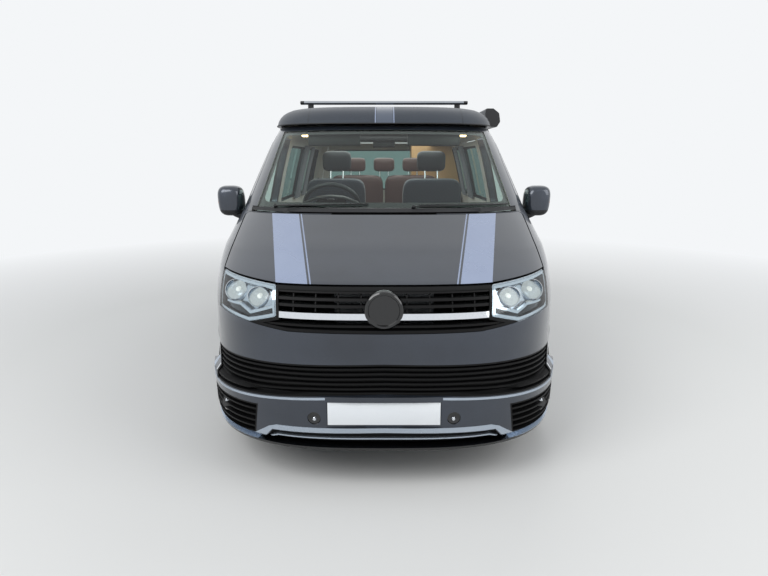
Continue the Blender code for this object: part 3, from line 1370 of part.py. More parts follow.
def build_wheels():
    """Four tyres on five-spoke rims, each about its own spindle."""
    pieces = []
    tyre_shape = [
        (RIM_RADIUS + SEAT_GAP + (TYRE_RADIUS - RIM_RADIUS - SEAT_GAP) * radial, TYRE_HALF_WIDTH * x)
        for radial, x in TYRE_SHARES
    ]
    well = RIM_RADIUS - RIM_WALL
    face_in = RIM_FACE_OUT - DISC_THICKNESS
    hub_in = HUB_FACE_OUT - HUB_THICKNESS
    rim_shape = [
        (RIM_RADIUS, -RIM_HALF_WIDTH),
        (RIM_RADIUS, RIM_HALF_WIDTH),
        (well, RIM_HALF_WIDTH),
        (well, RIM_FACE_OUT),
        (RIM_BORE, HUB_FACE_OUT),
        (RIM_BORE, hub_in),
        (well, face_in),
        (well, -RIM_HALF_WIDTH),
    ]
    base_rim = revolve("rim", rim_shape, WHEEL_SIDES)
    radii = (well * SPOKE_INNER_SHARE, well * SPOKE_OUTER_SHARE)
    swings = (SPOKE_HALF_ANGLE * SPOKE_TAPER_SHARE, SPOKE_HALF_ANGLE)
    for spoke in range(SPOKE_COUNT):
        middle = 2 * math.pi * spoke / SPOKE_COUNT
        corners = []
        for radius, swing in ((radii[0], swings[0]), (radii[1], swings[1]), (radii[1], -swings[1]), (radii[0], -swings[0])):
            angle = middle + math.radians(swing)
            corners.append((radius * math.sin(angle), radius * math.cos(angle)))
        cut(base_rim, loft("window", [[(depth, y, z) for y, z in corners] for depth in (0, SPOKE_CUT_DEPTH)]))
    for axle, row in ((FRONT_AXLE, "front"), (REAR_AXLE, "rear")):
        for side, word in SIDES:
            tyre = finished(revolve(f"tyre_{row}_{word}", tyre_shape, WHEEL_SIDES), "rubber")
            pieces.append(put_at(tyre, side * HALF_TRACK, axle, TYRE_RADIUS))
            name = f"rim_{row}_{word}"
            rim = copy_of(base_rim, name) if side == 1 else reflected(base_rim, name)
            pieces.append(put_at(finished(rim, "alloy"), side * HALF_TRACK, axle, TYRE_RADIUS))
    bpy.data.objects.remove(base_rim)
    return pieces


def build_front_axle():
    """Steering knuckles, and the subframe that hangs from the rails with its lower arms."""
    pieces = []
    low = SUBFRAME_LOW
    high = low + SUBFRAME_HEIGHT
    front, back = FRONT_AXLE - SUBFRAME_HALF_LENGTH, FRONT_AXLE + SUBFRAME_HALF_LENGTH
    subframe = slab("front_axle", RAIL_INNER + SUBFRAME_LEG, front, back, low, high)
    arm_top = TYRE_RADIUS - KNUCKLE_DROP - SEAT_GAP
    for side, word in SIDES:
        middle = side * KINGPIN
        knuckle = side_slab(
            f"knuckle_{word}",
            side,
            KINGPIN - KNUCKLE_INNER,
            KINGPIN + KNUCKLE_OUTER,
            FRONT_AXLE - KNUCKLE_HALF_LENGTH,
            FRONT_AXLE + KNUCKLE_HALF_LENGTH,
            TYRE_RADIUS - KNUCKLE_DROP,
            TYRE_RADIUS + KNUCKLE_RISE,
        )
        ends = [(x, FRONT_AXLE, TYRE_RADIUS) for x in (middle - side * KNUCKLE_INNER / 2, side * (HALF_TRACK + SPINDLE_LENGTH))]
        pieces.append(finished(join(knuckle, rod("spindle", *ends, SPINDLE_RADIUS)), "steel"))
        leg = side_slab("leg", side, RAIL_INNER, RAIL_INNER + SUBFRAME_LEG, front, back, high - SEAM, RAIL_LOW - SEAT_GAP)
        root = RAIL_INNER + SUBFRAME_LEG / 2
        arm = [
            (side * root, FRONT_AXLE - ARM_ROOT_HALF_LENGTH),
            (side * KINGPIN, FRONT_AXLE - ARM_HALF_LENGTH),
            (side * KINGPIN, FRONT_AXLE + ARM_HALF_LENGTH),
            (side * root, FRONT_AXLE + ARM_ROOT_HALF_LENGTH),
        ]
        join(subframe, leg, prism("arm", arm, "Z", arm_top - ARM_THICKNESS, arm_top))
    return [*pieces, finished(subframe, "steel")]


def build_rear_axle():
    """Cross beam with its spindles, trailing arms in brackets under the floor, and a coil spring over each arm."""
    beam = rod("rear_axle", (-REAR_HOUSE_INNER, REAR_AXLE, TYRE_RADIUS), (REAR_HOUSE_INNER, REAR_AXLE, TYRE_RADIUS), BEAM_RADIUS, 12)
    pivot = REAR_AXLE - TRAILING_ARM_LENGTH
    top = FLOOR_LOW - SEAT_GAP
    for side, _ in SIDES:
        outline = [
            (pivot + TRAILING_ARM_LENGTH * y, TYRE_RADIUS + TRAILING_ARM_HEIGHT * z) for y, z in TRAILING_ARM_SHARES
        ]
        near, far = sorted((side * TRAILING_ARM_INNER, side * (TRAILING_ARM_INNER + TRAILING_ARM_WIDTH)))
        arm = prism("arm", outline, "X", near, far)
        bracket = side_slab(
            "bracket",
            side,
            TRAILING_ARM_INNER + SEAM,
            TRAILING_ARM_INNER + TRAILING_ARM_WIDTH - SEAM,
            pivot - SEAM,
            pivot + ARM_BRACKET_LENGTH,
            TYRE_RADIUS,
            top,
        )
        middle, seat = side * (TRAILING_ARM_INNER + TRAILING_ARM_WIDTH / 2), REAR_AXLE - SPRING_FORWARD
        spring = rod("spring", (middle, seat, TYRE_RADIUS), (middle, seat, top), SPRING_RADIUS, SPRING_SIDES)
        ends = [(side * x, REAR_AXLE, TYRE_RADIUS) for x in (REAR_HOUSE_INNER - WALL, HALF_TRACK + SPINDLE_LENGTH)]
        join(beam, arm, bracket, spring, rod("spindle", *ends, SPINDLE_RADIUS))
    return finished(beam, "steel")


def build_under_floor():
    """Exhaust with its silencer and hangers, fuel tank, engine block and radiator."""
    x = across(EXHAUST_ACROSS_SHARE)
    start, stop = (along(share) for share in EXHAUST_ENDS_SHARES)
    exhaust = rod("exhaust", (x, start, EXHAUST_HEIGHT), (x, stop, EXHAUST_HEIGHT), TAILPIPE_RADIUS, 12)
    ends = [(x, along(share), EXHAUST_HEIGHT) for share in SILENCER_SHARES]
    join(exhaust, rod("silencer", *ends, SILENCER_RADIUS, 14))
    for share in HANGER_SHARES:
        place = along(share)
        join(exhaust, box(
            "hanger",
            (x - HANGER_HALF_WIDTH, place - HANGER_HALF_LENGTH, EXHAUST_HEIGHT),
            (x + HANGER_HALF_WIDTH, place + HANGER_HALF_LENGTH, FLOOR_LOW - SEAT_GAP),
        ))

    inner, outer, front, back = (
        across(TANK_SHARES[0]),
        across(TANK_SHARES[1]),
        along(TANK_SHARES[2]),
        along(TANK_SHARES[3]),
    )
    plan = [(inner, front), (outer, front), (outer, back), (inner, back)]
    top = FLOOR_LOW - SEAT_GAP
    rings = []
    for inset, drop in ((TANK_CORNER / 2, TANK_HEIGHT), (0, TANK_HEIGHT - TANK_CORNER / 2), (0, 0)):
        outline = rounded(grown(plan, -inset), TANK_CORNER)
        rings.append([(px, station(py), top - drop) for px, py in outline])
    tank = loft("fuel_tank", rings)

    engine = None
    for half, front, back, low, high in ENGINE_SHARES:
        piece = slab("engine", across(half), along(front), along(back), upward(low), upward(high))
        engine = join(engine, piece) if engine else piece
    front, back, low, high = ENGINE_MOUNT_SHARES
    mount = slab("mount", RAIL_INNER - SEAT_GAP, along(front), along(back), upward(low), upward(high))
    join(engine, mount)

    half, high = RADIATOR_SHARES
    radiator = slab(
        "radiator",
        across(half),
        CROSS_MEMBER_FRONT + CROSS_MEMBER_LIP,
        CROSS_MEMBER_FRONT + CROSS_MEMBER_LIP + RADIATOR_THICKNESS,
        RAIL_TOP - CROSS_MEMBER_LIP + SEAT_GAP,
        upward(high),
    )
    return [
        finished(exhaust, "steel"),
        finished(tank, "black_plastic"),
        finished(engine, "steel"),
        finished(radiator, "black_plastic"),
    ]


def soft_block(name, outline, half_width):
    """Cushion drawn across the vehicle through copies of its side view, swelled at the bolsters."""
    rings = []
    for width, swell in SOFT_ROW_SHARES:
        shape = grown(outline, BOLSTER * swell)
        rings.append([(half_width * width, station(s), z) for s, z in shape])
    return loft(name, rings)


def build_seat(name, front, length, half_width, back_height, rest_places):
    """Pedestal, cushion, reclined back and headrests on posts, about the middle line."""
    floor = FLOOR_TOP + SEAT_GAP
    cushion_low = FLOOR_TOP + PEDESTAL_HEIGHT
    rear = front + length
    pedestal_half = half_width * PEDESTAL_HALF_WIDTH / SEAT_HALF_WIDTH
    seat = slab(name, pedestal_half, front + PEDESTAL_INSET, rear, floor, cushion_low + CUSHION_THICKNESS / 2)
    cushion = [(front + length * y, cushion_low + CUSHION_THICKNESS * z) for y, z in CUSHION_SHARES]
    join(seat, soft_block("cushion", cushion, half_width))
    back_low = cushion_low + CUSHION_THICKNESS / 2
    lean = BACK_RECLINE / back_height
    back_front = rear - BACK_THICKNESS

    def leaned(y, z):
        return back_front + y + (z - back_low) * lean, z

    back = [leaned(BACK_THICKNESS * y, back_low + back_height * z) for y, z in BACK_SHARES]
    join(seat, soft_block("back", back, half_width * (1 - BOLSTER / half_width)))
    rest_low = back_low + back_height + HEADREST_GAP
    for place in rest_places:
        outline = [
            leaned(HEADREST_THICKNESS * y, rest_low + HEADREST_HEIGHT * z) for y, z in HEADREST_SHARES
        ]
        rest = shifted(soft_block("rest", outline, HEADREST_HALF_WIDTH), right=place)
        start = leaned(BACK_THICKNESS / 2, rest_low - HEADREST_GAP * 2)
        stop = leaned(BACK_THICKNESS / 2, rest_low + HEADREST_HEIGHT / 2)
        join(seat, rest, rod("post", (place, *start), (place, *stop), HEADREST_POST, 8))
    return finished(seat, "seat_cloth")


def build_dashboard():
    """Dashboard on its firewall mount, with the steering column and wheel."""
    dash = prism("dashboard", side_view(DASHBOARD_SHARES), "X", -DASH_HALF_WIDTH, DASH_HALF_WIDTH)
    common(dash, section_loft("fit", BODY, WALL + PANEL_GAP, WALL))
    half, back, low, high = DASH_MOUNT_SHARES
    mount_front = FIREWALL + FIREWALL_THICKNESS + SEAT_GAP
    join(dash, slab("mount", across(half), mount_front, along(back), upward(low), upward(high)))
    places = []
    for share in (STEERING_WHEEL_SHARES, STEERING_ROOT_SHARES):
        places.append((across(share[0]), along(share[1]), upward(share[2])))
    centre, root = (Vector((x, station(s), z)) for x, s, z in places)
    turn = (centre - root).to_track_quat("X", "Z").to_matrix().to_4x4()
    tube = []
    for step in range(TUBE_SIDES):
        angle = 2 * math.pi * step / TUBE_SIDES
        radius = STEERING_WHEEL_RADIUS + STEERING_WHEEL_TUBE * math.cos(angle)
        tube.append((radius, STEERING_WHEEL_TUBE * math.sin(angle)))
    ring = revolve("steering_ring", tube, STEERING_SIDES)
    half = STEERING_WHEEL_TUBE / 2
    spoke = bmesh.new()
    bmesh.ops.create_cube(spoke, size=2)
    bmesh.ops.scale(spoke, vec=(half, STEERING_WHEEL_RADIUS, STEERING_WHEEL_TUBE), verts=spoke.verts)
    join(ring, from_bmesh("spoke", spoke))
    ring.data.transform(Matrix.Translation(centre) @ turn)
    join(dash, rod("column", places[1], places[0], STEERING_COLUMN_RADIUS, 12), ring)
    return finished(keep_largest(dash), "black_plastic")


def build_furniture():
    """Kitchen unit with worktop, sink and fronts, and the wardrobe beside the boot."""
    inner, front, back, high = (
        across(KITCHEN_SHARES[0]),
        along(KITCHEN_SHARES[1]),
        along(KITCHEN_SHARES[2]),
        upward(KITCHEN_SHARES[3]),
    )
    floor = FLOOR_TOP + SEAT_GAP
    top = high - WORKTOP_THICKNESS
    kitchen = side_slab("kitchen_unit", -1, inner, HALF_WIDTH, front, back, floor, top)
    for share in GROOVE_SHARES:
        place = front + (back - front) * share
        cut(kitchen, side_slab("groove", -1, 0, inner + GROOVE, place, place + GROOVE, floor + WALL, top - WALL))
    lip = inner - WORKTOP_LIP
    join(kitchen, side_slab("worktop", -1, lip, HALF_WIDTH, front, back, top - SEAM, high))
    sink_back = front + (back - front) * SINK_SHARE
    sink_outer = HALF_WIDTH - WALL - SINK_MARGIN * 2
    sink_low, sink_high = high - SINK_DEPTH, high + OVERRUN
    sink = side_slab("sink", -1, inner + SINK_MARGIN, sink_outer, front + SINK_MARGIN, sink_back, sink_low, sink_high)
    cut(kitchen, sink)

    inner, outer, front, back, high = WARDROBE_SHARES
    inner, outer, front, back = across(inner), across(outer), along(front), along(back)
    wardrobe = side_slab("wardrobe", 1, inner, outer, front, back, floor, upward(high))
    middle = (front + back - GROOVE) / 2
    cut(wardrobe, side_slab("groove", 1, 0, inner + GROOVE, middle, middle + GROOVE, floor + WALL, upward(high) - WALL))
    inner, outer, front, back, low, high = WARDROBE_WING_SHARES
    wing = side_slab("wing", 1, across(inner), across(outer), along(front), along(back), upward(low), upward(high))
    join(wardrobe, wing)
    fit = section_loft("fit", BODY, WALL + SEAT_GAP, WALL)
    common(kitchen, fit, keep=True)
    common(wardrobe, fit, keep=True)
    bpy.data.objects.remove(fit)
    return [finished(keep_largest(kitchen), "wood"), finished(keep_largest(wardrobe), "wood")]


def build_interior():
    """Front seats, rear bench, dashboard and furniture."""
    pieces = []
    for side, word in SIDES:
        seat = build_seat(f"front_seat_{word}", SEAT_FRONT, SEAT_LENGTH, SEAT_HALF_WIDTH, BACK_HEIGHT, (0,))
        pieces.append(shifted(seat, right=side * SEAT_OFFSET))
    rests = [share * BENCH_HALF_WIDTH for share in BENCH_HEADREST_SHARES]
    pieces.append(build_seat("rear_bench", BENCH_FRONT, BENCH_LENGTH, BENCH_HALF_WIDTH, BENCH_BACK_HEIGHT, rests))
    return [*pieces, build_dashboard(), *build_furniture()]


def build():
    clear_scene()
    outer = section_loft("outer", BODY, -SEAT_GAP, -SEAT_GAP)
    shell = body_shell()
    skin = glass_skin()
    pieces = [
        *build_front(shell),
        *build_sides(shell, skin),
        *build_tailgate(shell, skin),
        *build_roof(shell, skin),
        *build_roof_fittings(outer),
        *build_mirrors(outer),
        build_floor(shell),
        build_rear_bumper(),
        *build_wheels(),
        *build_front_axle(),
        build_rear_axle(),
        *build_under_floor(),
        *build_interior(),
    ]
    keep = {piece.name for piece in pieces}
    for other in list(bpy.data.objects):
        if other.name not in keep:
            bpy.data.objects.remove(other)


build()
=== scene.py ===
"""Looks of the camper van: fine panels, glazing, lamps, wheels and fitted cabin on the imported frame.

Metres, +Z up, nose towards -Y, left side at +X. Distances behind the nose are called stations.
"""

from __future__ import annotations

import json
import logging
import math
from dataclasses import dataclass, field
from enum import Enum
from functools import partial
from typing import Iterable, NamedTuple, Sequence

import bmesh
import bpy
import numpy as np
from mathutils import Matrix, Vector

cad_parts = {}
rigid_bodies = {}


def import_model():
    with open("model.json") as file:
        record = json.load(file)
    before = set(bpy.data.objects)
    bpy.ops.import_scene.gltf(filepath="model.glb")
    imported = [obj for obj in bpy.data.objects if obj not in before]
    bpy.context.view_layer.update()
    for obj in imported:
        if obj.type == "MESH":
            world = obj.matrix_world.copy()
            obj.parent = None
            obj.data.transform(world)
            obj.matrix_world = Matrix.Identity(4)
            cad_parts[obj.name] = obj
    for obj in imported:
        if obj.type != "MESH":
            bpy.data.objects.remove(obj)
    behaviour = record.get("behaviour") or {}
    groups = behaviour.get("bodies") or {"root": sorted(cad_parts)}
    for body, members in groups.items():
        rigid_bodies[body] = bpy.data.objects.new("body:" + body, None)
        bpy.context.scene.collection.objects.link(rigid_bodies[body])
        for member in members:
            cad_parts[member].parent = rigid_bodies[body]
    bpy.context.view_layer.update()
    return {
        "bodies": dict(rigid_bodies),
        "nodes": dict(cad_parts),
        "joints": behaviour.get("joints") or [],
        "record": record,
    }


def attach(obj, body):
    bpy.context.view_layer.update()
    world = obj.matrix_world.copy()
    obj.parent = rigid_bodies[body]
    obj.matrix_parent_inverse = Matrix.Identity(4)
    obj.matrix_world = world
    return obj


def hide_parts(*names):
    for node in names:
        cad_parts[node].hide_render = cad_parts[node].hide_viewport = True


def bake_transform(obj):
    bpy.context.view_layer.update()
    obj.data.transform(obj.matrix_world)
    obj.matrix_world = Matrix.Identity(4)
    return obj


LOG = logging.getLogger("camper_van")

MM = 0.001
# Driving sizes of the vehicle, in metres: as in the CAD
LENGTH = 4.95
HALF_WIDTH = 0.952
BODY_HEIGHT = 1.80
CAB_LENGTH = 2.24
REAR_FACE = 4.87
FRONT_AXLE = 0.953
REAR_AXLE = 3.953
HALF_TRACK = 0.814
TYRE_RADIUS = 0.343
ARCH_RADIUS = 0.400
WALL = 0.055
PANEL_GAP = 0.008
SEAM = 0.0008
FIT = 0.0003
# Overrun of the cutters past the body
FAR = 0.30
# Quarter turns that face what is spun about X to the front, to the tail and upwards
FRONTWARD = Matrix.Rotation(-math.pi / 2, 4, "Z")
TAILWARD = Matrix.Rotation(math.pi / 2, 4, "Z")
UPRIGHT = Matrix.Rotation(-math.pi / 2, 4, "Y")

Point2 = tuple[float, float]
Point3 = tuple[float, float, float]
Outline = list[Point2]


class Section(NamedTuple):
    """Plan outline of the body at one height, as shares of the driving sizes."""

    height: float
    width: float
    nose: float
    nose_depth: float
    power: float
    tail: float
    tail_depth: float


class Side(Enum):
    """A side of the vehicle, as the sign of its X."""

    LEFT = 1
    RIGHT = -1

    @property
    def word(self) -> str:
        """The side's word in node names."""
        return self.name.lower()


def station_y(station: float) -> float:
    """Y of a distance behind the nose."""
    return station - LENGTH / 2


def metres(points: Iterable[Sequence[float]]) -> list:
    """Millimetre tuples turned into metres."""
    return [tuple(value * MM for value in point) for point in points]


def flipped(outline: Outline) -> Outline:
    """An outline mirrored to the other side of the vehicle."""
    return [(-x, z) for x, z in outline]


def sided(outline: Outline, side: Side) -> Outline:
    """A left-hand outline given for either side."""
    return list(outline) if side is Side.LEFT else flipped(outline)


def whole(outline: Outline) -> Outline:
    """A left half outline made whole across the middle line.

    Args:
        outline: Points from the middle line outwards and back, middle points optional.

    Returns:
        The closed outline with its right half added.
    """
    left = [p for p in outline if p[0] > 0]
    middle = [p for p in outline if p[0] == 0]
    ends = ([middle[0]], [middle[-1]]) if middle else ([], [])
    return [*ends[0], *left, *ends[1], *flipped(left[::-1])]


def grown(outline: Outline, distance: float) -> Outline:
    """A closed outline with each edge moved out by a distance, or in where it is negative.

    Args:
        outline: Closed outline.
        distance: How far its sides move out, or in where negative.

    Returns:
        The moved outline.
    """
    area = sum(a[0] * b[1] - b[0] * a[1] for a, b in zip(outline, outline[1:] + outline[:1]))
    turn = 1 if area > 0 else -1
    made = []
    for here in range(len(outline)):
        before, point, after = (Vector(outline[(here + k) % len(outline)]) for k in (-1, 0, 1))
        one, two = (point - before).normalized(), (after - point).normalized()
        normals = [Vector((edge.y, -edge.x)) * turn for edge in (one, two)]
        bisector = (normals[0] + normals[1]) / (1 + normals[0].dot(normals[1]))
        made.append(tuple(point + bisector * distance))
    return made


def rounded(outline: Outline, radius: float, steps: int = 6) -> Outline:
    """A closed outline with its corners rounded to one radius.

    Args:
        outline: Closed outline.
        radius: Radius of its corners.
        steps: Steps round a corner.

    Returns:
        The outline with round corners.
    """
    made = []
    for here in range(len(outline)):
        before, point, after = (Vector(outline[(here + k) % len(outline)]) for k in (-1, 0, 1))
        one, two = (before - point).normalized(), (after - point).normalized()
        half = one.angle(two) / 2
        limit = min((before - point).length, (after - point).length) * 0.49
        reach = min(radius / math.tan(half), limit)
        centre = point + (one + two).normalized() * (reach / math.cos(half))
        start = point + one * reach - centre
        sweep = (point + two * reach - centre).angle_signed(start)
        for step in range(steps + 1):
            turned = start.copy()
            turned.rotate(Matrix.Rotation(sweep * step / steps, 2))
            made.append(tuple(centre + turned))
    return made


def divided(outline: Outline, longest: float) -> Outline:
    """A closed outline with its long edges divided, so that it can follow a curved skin.

    Args:
        outline: Closed outline.
        longest: Longest side that stays whole.

    Returns:
        The outline with points added along its long sides.
    """
    made = []
    for point, after in zip(outline, outline[1:] + outline[:1]):
        parts = max(1, math.ceil(math.dist(point, after) / longest))
        made += [tuple(a + (b - a) * part / parts for a, b in zip(point, after)) for part in range(parts)]
    return made


def rectangle(left: float, right: float, low: float, high: float) -> Outline:
    """Corners of a rectangle."""
    return [(left, low), (right, low), (right, high), (left, high)]


def oval(half: float, tall: float, sides: int, power: float = 2.0) -> Outline:
    """Points round an oval, which a power over 2 squares up into a rounded box.

    Args:
        half: Half width.
        tall: Half height.
        sides: Number of points.
        power: Squareness, 2 for an ellipse.

    Returns:
        The closed outline.
    """
    made = []
    for step in range(sides):
        angle = 2 * math.pi * step / sides
        one, two = (math.copysign(abs(turn) ** (2 / power), turn) for turn in (math.cos(angle), math.sin(angle)))
        made.append((one * half, two * tall))
    return made


def span_of(side: Side, one: float, two: float) -> Point2:
    """Lower and higher X of two distances from the middle line on one side."""
    return tuple(sorted((side.value * one, side.value * two)))


def monotone(knots: np.ndarray, values: np.ndarray, at: np.ndarray) -> np.ndarray:
    """Smooth curve through knots that never swings past them.

    Args:
        knots: Rising places of the known values.
        values: The known values.
        at: Places to work out.

    Returns:
        The value at each place.
    """
    span = np.diff(knots)
    slope = np.diff(values) / span
    product = slope[:-1] * slope[1:]
    inner = np.where(product > 0, 2 * product / np.where(product > 0, slope[:-1] + slope[1:], 1), 0)
    tangent = np.concatenate([[slope[0]], inner, [slope[-1]]])
    index = np.clip(np.searchsorted(knots, at) - 1, 0, len(span) - 1)
    t = (at - knots[index]) / span[index]
    start, end = values[index], values[index + 1]
    pull, push = tangent[index] * span[index], tangent[index + 1] * span[index]
    return (
        start * (2 * t**3 - 3 * t**2 + 1) + pull * (t**3 - 2 * t**2 + t)
        + end * (3 * t**2 - 2 * t**3) + push * (t**3 - t**2)
    )


class Solid:
    """A closed mesh in work, with Boolean steps that change it and return it."""

    def __init__(self, shape: bmesh.types.BMesh) -> None:
        """Takes over a bmesh and turns its faces outwards.

        Args:
            shape: Closed form, freed once its faces are taken over.
        """
        bmesh.ops.recalc_face_normals(shape, faces=shape.faces)
        mesh = bpy.data.meshes.new("work")
        shape.to_mesh(mesh)
        shape.free()
        self.made = bpy.data.objects.new("work", mesh)
        bpy.context.scene.collection.objects.link(self.made)

    @classmethod
    def loft(cls, rings: Sequence[Sequence[Point3]]) -> Solid:
        """Solid through rings of equal counts, with flat ends, shaped from one grid.

        Args:
            rings: Sections in order, each with as many points.

        Returns:
            The closed solid.
        """
        count, layers = len(rings[0]), len(rings)
        shape = bmesh.new()
        bmesh.ops.create_grid(shape, x_segments=count, y_segments=layers - 1, size=1)
        shape.verts.ensure_lookup_table()
        for layer, ring in enumerate(rings):
            for place in range(count + 1):
                shape.verts[layer * (count + 1) + place].co = ring[place % count]
        bmesh.ops.remove_doubles(shape, verts=shape.verts, dist=1e-6)
        open_edges = [edge for edge in shape.edges if edge.is_boundary]
        bmesh.ops.holes_fill(shape, edges=open_edges, sides=0)
        return cls(shape)

    @classmethod
    def prism(cls, outline: Outline, axis: str, low: float, high: float) -> Solid:
        """Outline drawn out along an axis. Stations stand for Y.

        Args:
            outline: Section of the solid.
            axis: Axis that it is drawn along.
            low: Where it starts.
            high: Where it ends.

        Returns:
            The closed solid.
        """
        def place(point: Point2, depth: float) -> Point3:
            """Point of the outline at a depth along the axis."""
            if axis == "X":
                return depth, station_y(point[0]), point[1]
            if axis == "Y":
                return point[0], station_y(depth), point[1]
            return point[0], station_y(point[1]), depth

        return cls.loft([[place(p, depth) for p in outline] for depth in (low, high)])

    @classmethod
    def box(cls, low: Point3, high: Point3, bevel: float = 0.0, segments: int = 3) -> Solid:
        """Block between two corners, each (x, station, z), with rounded edges where bevel is set.

        Args:
            low: Lowest corner.
            high: Highest corner.
            bevel: Width of the rounded edges.
            segments: Steps in their rounding.

        Returns:
            The closed solid.
        """
        shape = bmesh.new()
        bmesh.ops.create_cube(shape, size=1)
        corners = [Vector((c[0], station_y(c[1]), c[2])) for c in (low, high)]
        bmesh.ops.scale(shape, vec=corners[1] - corners[0], verts=shape.verts)
        bmesh.ops.translate(shape, vec=(corners[0] + corners[1]) / 2, verts=shape.verts)
        if bevel:
            bmesh.ops.bevel(
                shape, geom=list(shape.edges), offset=bevel, segments=segments,
                profile=0.5, affect="EDGES", material=-1,
            )
        return cls(shape)

    @classmethod
    def rod(
        cls, start: Point3, end: Point3, radius: float, sides: int = 32, end_radius: float | None = None
    ) -> Solid:
        """Round bar or cone between two points, each (x, station, z).

        Args:
            start: Middle of its first end.
            end: Middle of its last end.
            radius: Radius at its start.
            sides: Number of its sides.
            end_radius: Radius at its end, where it tapers.

        Returns:
            The closed solid.
        """
        first, last = (Vector((p[0], station_y(p[1]), p[2])) for p in (start, end))
        shape = bmesh.new()
        bmesh.ops.create_cone(
            shape, cap_ends=True, segments=sides, radius1=radius,
            radius2=radius if end_radius is None else end_radius, depth=(last - first).length,
        )
        turn = (last - first).to_track_quat("Z", "Y").to_matrix().to_4x4()
        bmesh.ops.transform(shape, matrix=Matrix.Translation((first + last) / 2) @ turn, verts=shape.verts)
        return cls(shape)

    @classmethod
    def sweep(
        cls, path: Sequence[Point3], width: float, height: float | None = None, sides: int = 10, power: float = 2.0
    ) -> Solid:
        """Tube along points.

        Args:
            path: Points as (x, station, z).
            width: Half width of the tube, level across its run.
            height: Half height, the same as the width where left out.
            sides: Points round the tube.
            power: 2 for an oval, more for a rounded box.

        Returns:
            The closed tube.
        """
        spine = [Vector((p[0], station_y(p[1]), p[2])) for p in path]
        tall = width if height is None else height
        rings = []
        for here, point in enumerate(spine):
            along = (spine[min(here + 1, len(spine) - 1)] - spine[max(here - 1, 0)]).normalized()
            up = Vector((0, 0, 1)) if abs(along.z) < 0.9 else Vector((0, 1, 0))
            across = along.cross(up).normalized()
            rise = across.cross(along)
            section = oval(width, tall, sides, power)
            rings.append([tuple(point + across * right + rise * high) for right, high in section])
        return cls.loft(rings)

    @classmethod
    def turned(cls, profile: Sequence[Point2], sides: int, closed: bool = True) -> Solid:
        """Solid of revolution about X of a (radius, across) profile, spun about the origin.

        Args:
            profile: Radius and distance along the axis of each point.
            sides: Steps of a full turn.
            closed: Whether the profile's ends are joined.

        Returns:
            The closed solid.
        """
        shape = bmesh.new()
        verts = [shape.verts.new((across, 0.0, -radius)) for radius, across in profile]
        pairs = list(zip(verts, verts[1:])) + ([(verts[-1], verts[0])] if closed else [])
        edges = [shape.edges.new(pair) for pair in pairs]
        bmesh.ops.spin(
            shape, geom=[*verts, *edges], cent=(0, 0, 0), axis=(1, 0, 0), dvec=(0, 0, 0),
            angle=2 * math.pi, steps=sides, use_merge=True,
        )
        bmesh.ops.remove_doubles(shape, verts=shape.verts, dist=1e-6)
        return cls(shape)

    def copy(self) -> Solid:
        """Another solid with the same mesh.

        Returns:
            The copy.
        """
        shape = bmesh.new()
        shape.from_mesh(self.made.data)
        return Solid(shape)

    def drop(self) -> None:
        """Removes the solid."""
        mesh = self.made.data
        bpy.data.objects.remove(self.made)
        bpy.data.meshes.remove(mesh)

    def moved(self, matrix: Matrix) -> Solid:
        """Transforms the mesh, and turns its faces back out where the matrix mirrors it.

        Args:
            matrix: Transform of the mesh.

        Returns:
            This solid.
        """
        self.made.data.transform(matrix)
        if matrix.determinant() < 0:
            self.made.data.flip_normals()
        return self

    def shifted(self, across: float = 0.0, along: float = 0.0, up: float = 0.0) -> Solid:
        """Moves the mesh by distances along the axes."""
        return self.moved(Matrix.Translation((across, along, up)))

    def set_down(self, place: Point3, turn: Matrix) -> Solid:
        """Turns the solid about the origin, then moves the origin to (x, station, z)."""
        return self.moved(Matrix.Translation((place[0], station_y(place[1]), place[2])) @ turn)

    def _combine(self, others: Sequence[Solid], operation: str, keep: bool) -> Solid:
        """Boolean step with each other solid in turn, by the exact solver where the quick one fails.

        Args:
            others: Solids to combine with.
            operation: Boolean operation.
            keep: Whether the others are kept for later use.

        Returns:
            This solid.
        """
        for other in others:
            before = self.made.data
            for solver in ("MANIFOLD", "EXACT"):
                self.made.data = before
                change = self.made.modifiers.new("change", "BOOLEAN")
                change.operation, change.solver, change.object = operation, solver, other.made
                graph = bpy.context.evaluated_depsgraph_get()
                frozen = bpy.data.meshes.new_from_object(self.made.evaluated_get(graph))
                self.made.modifiers.clear()
                self.made.data = frozen
                if len(frozen.polygons) > 3:
                    break
            if not keep:
                other.drop()
        return self

    def cut(self, *others: Solid, keep: bool = False) -> Solid:
        """Takes other solids away."""
        return self._combine(others, "DIFFERENCE", keep)

    def join(self, *others: Solid, keep: bool = False) -> Solid:
        """Adds other solids."""
        return self._combine(others, "UNION", keep)

    def common(self, *others: Solid, keep: bool = False) -> Solid:
        """Keeps only what other solids share."""
        return self._combine(others, "INTERSECT", keep)

    def largest(self) -> Solid:
        """Keeps the connected body with the largest box.

        Returns:
            This solid without its loose bits.
        """
        shape = bmesh.new()
        shape.from_mesh(self.made.data)
        unseen, groups = set(shape.verts), []
        while unseen:
            stack = [unseen.pop()]
            group = set(stack)
            while stack:
                for edge in stack.pop().link_edges:
                    for vert in edge.verts:
                        if vert in unseen:
                            unseen.discard(vert)
                            group.add(vert)
                            stack.append(vert)
            groups.append(group)

        def span(group: set) -> float:
            """Diagonal of a group's box."""
            places = np.array([vert.co for vert in group])
            return float(np.linalg.norm(places.max(axis=0) - places.min(axis=0)))

        best = max(groups, key=span)
        bmesh.ops.delete(shape, geom=[v for v in shape.verts if v not in best], context="VERTS")
        shape.to_mesh(self.made.data)
        shape.free()
        return self


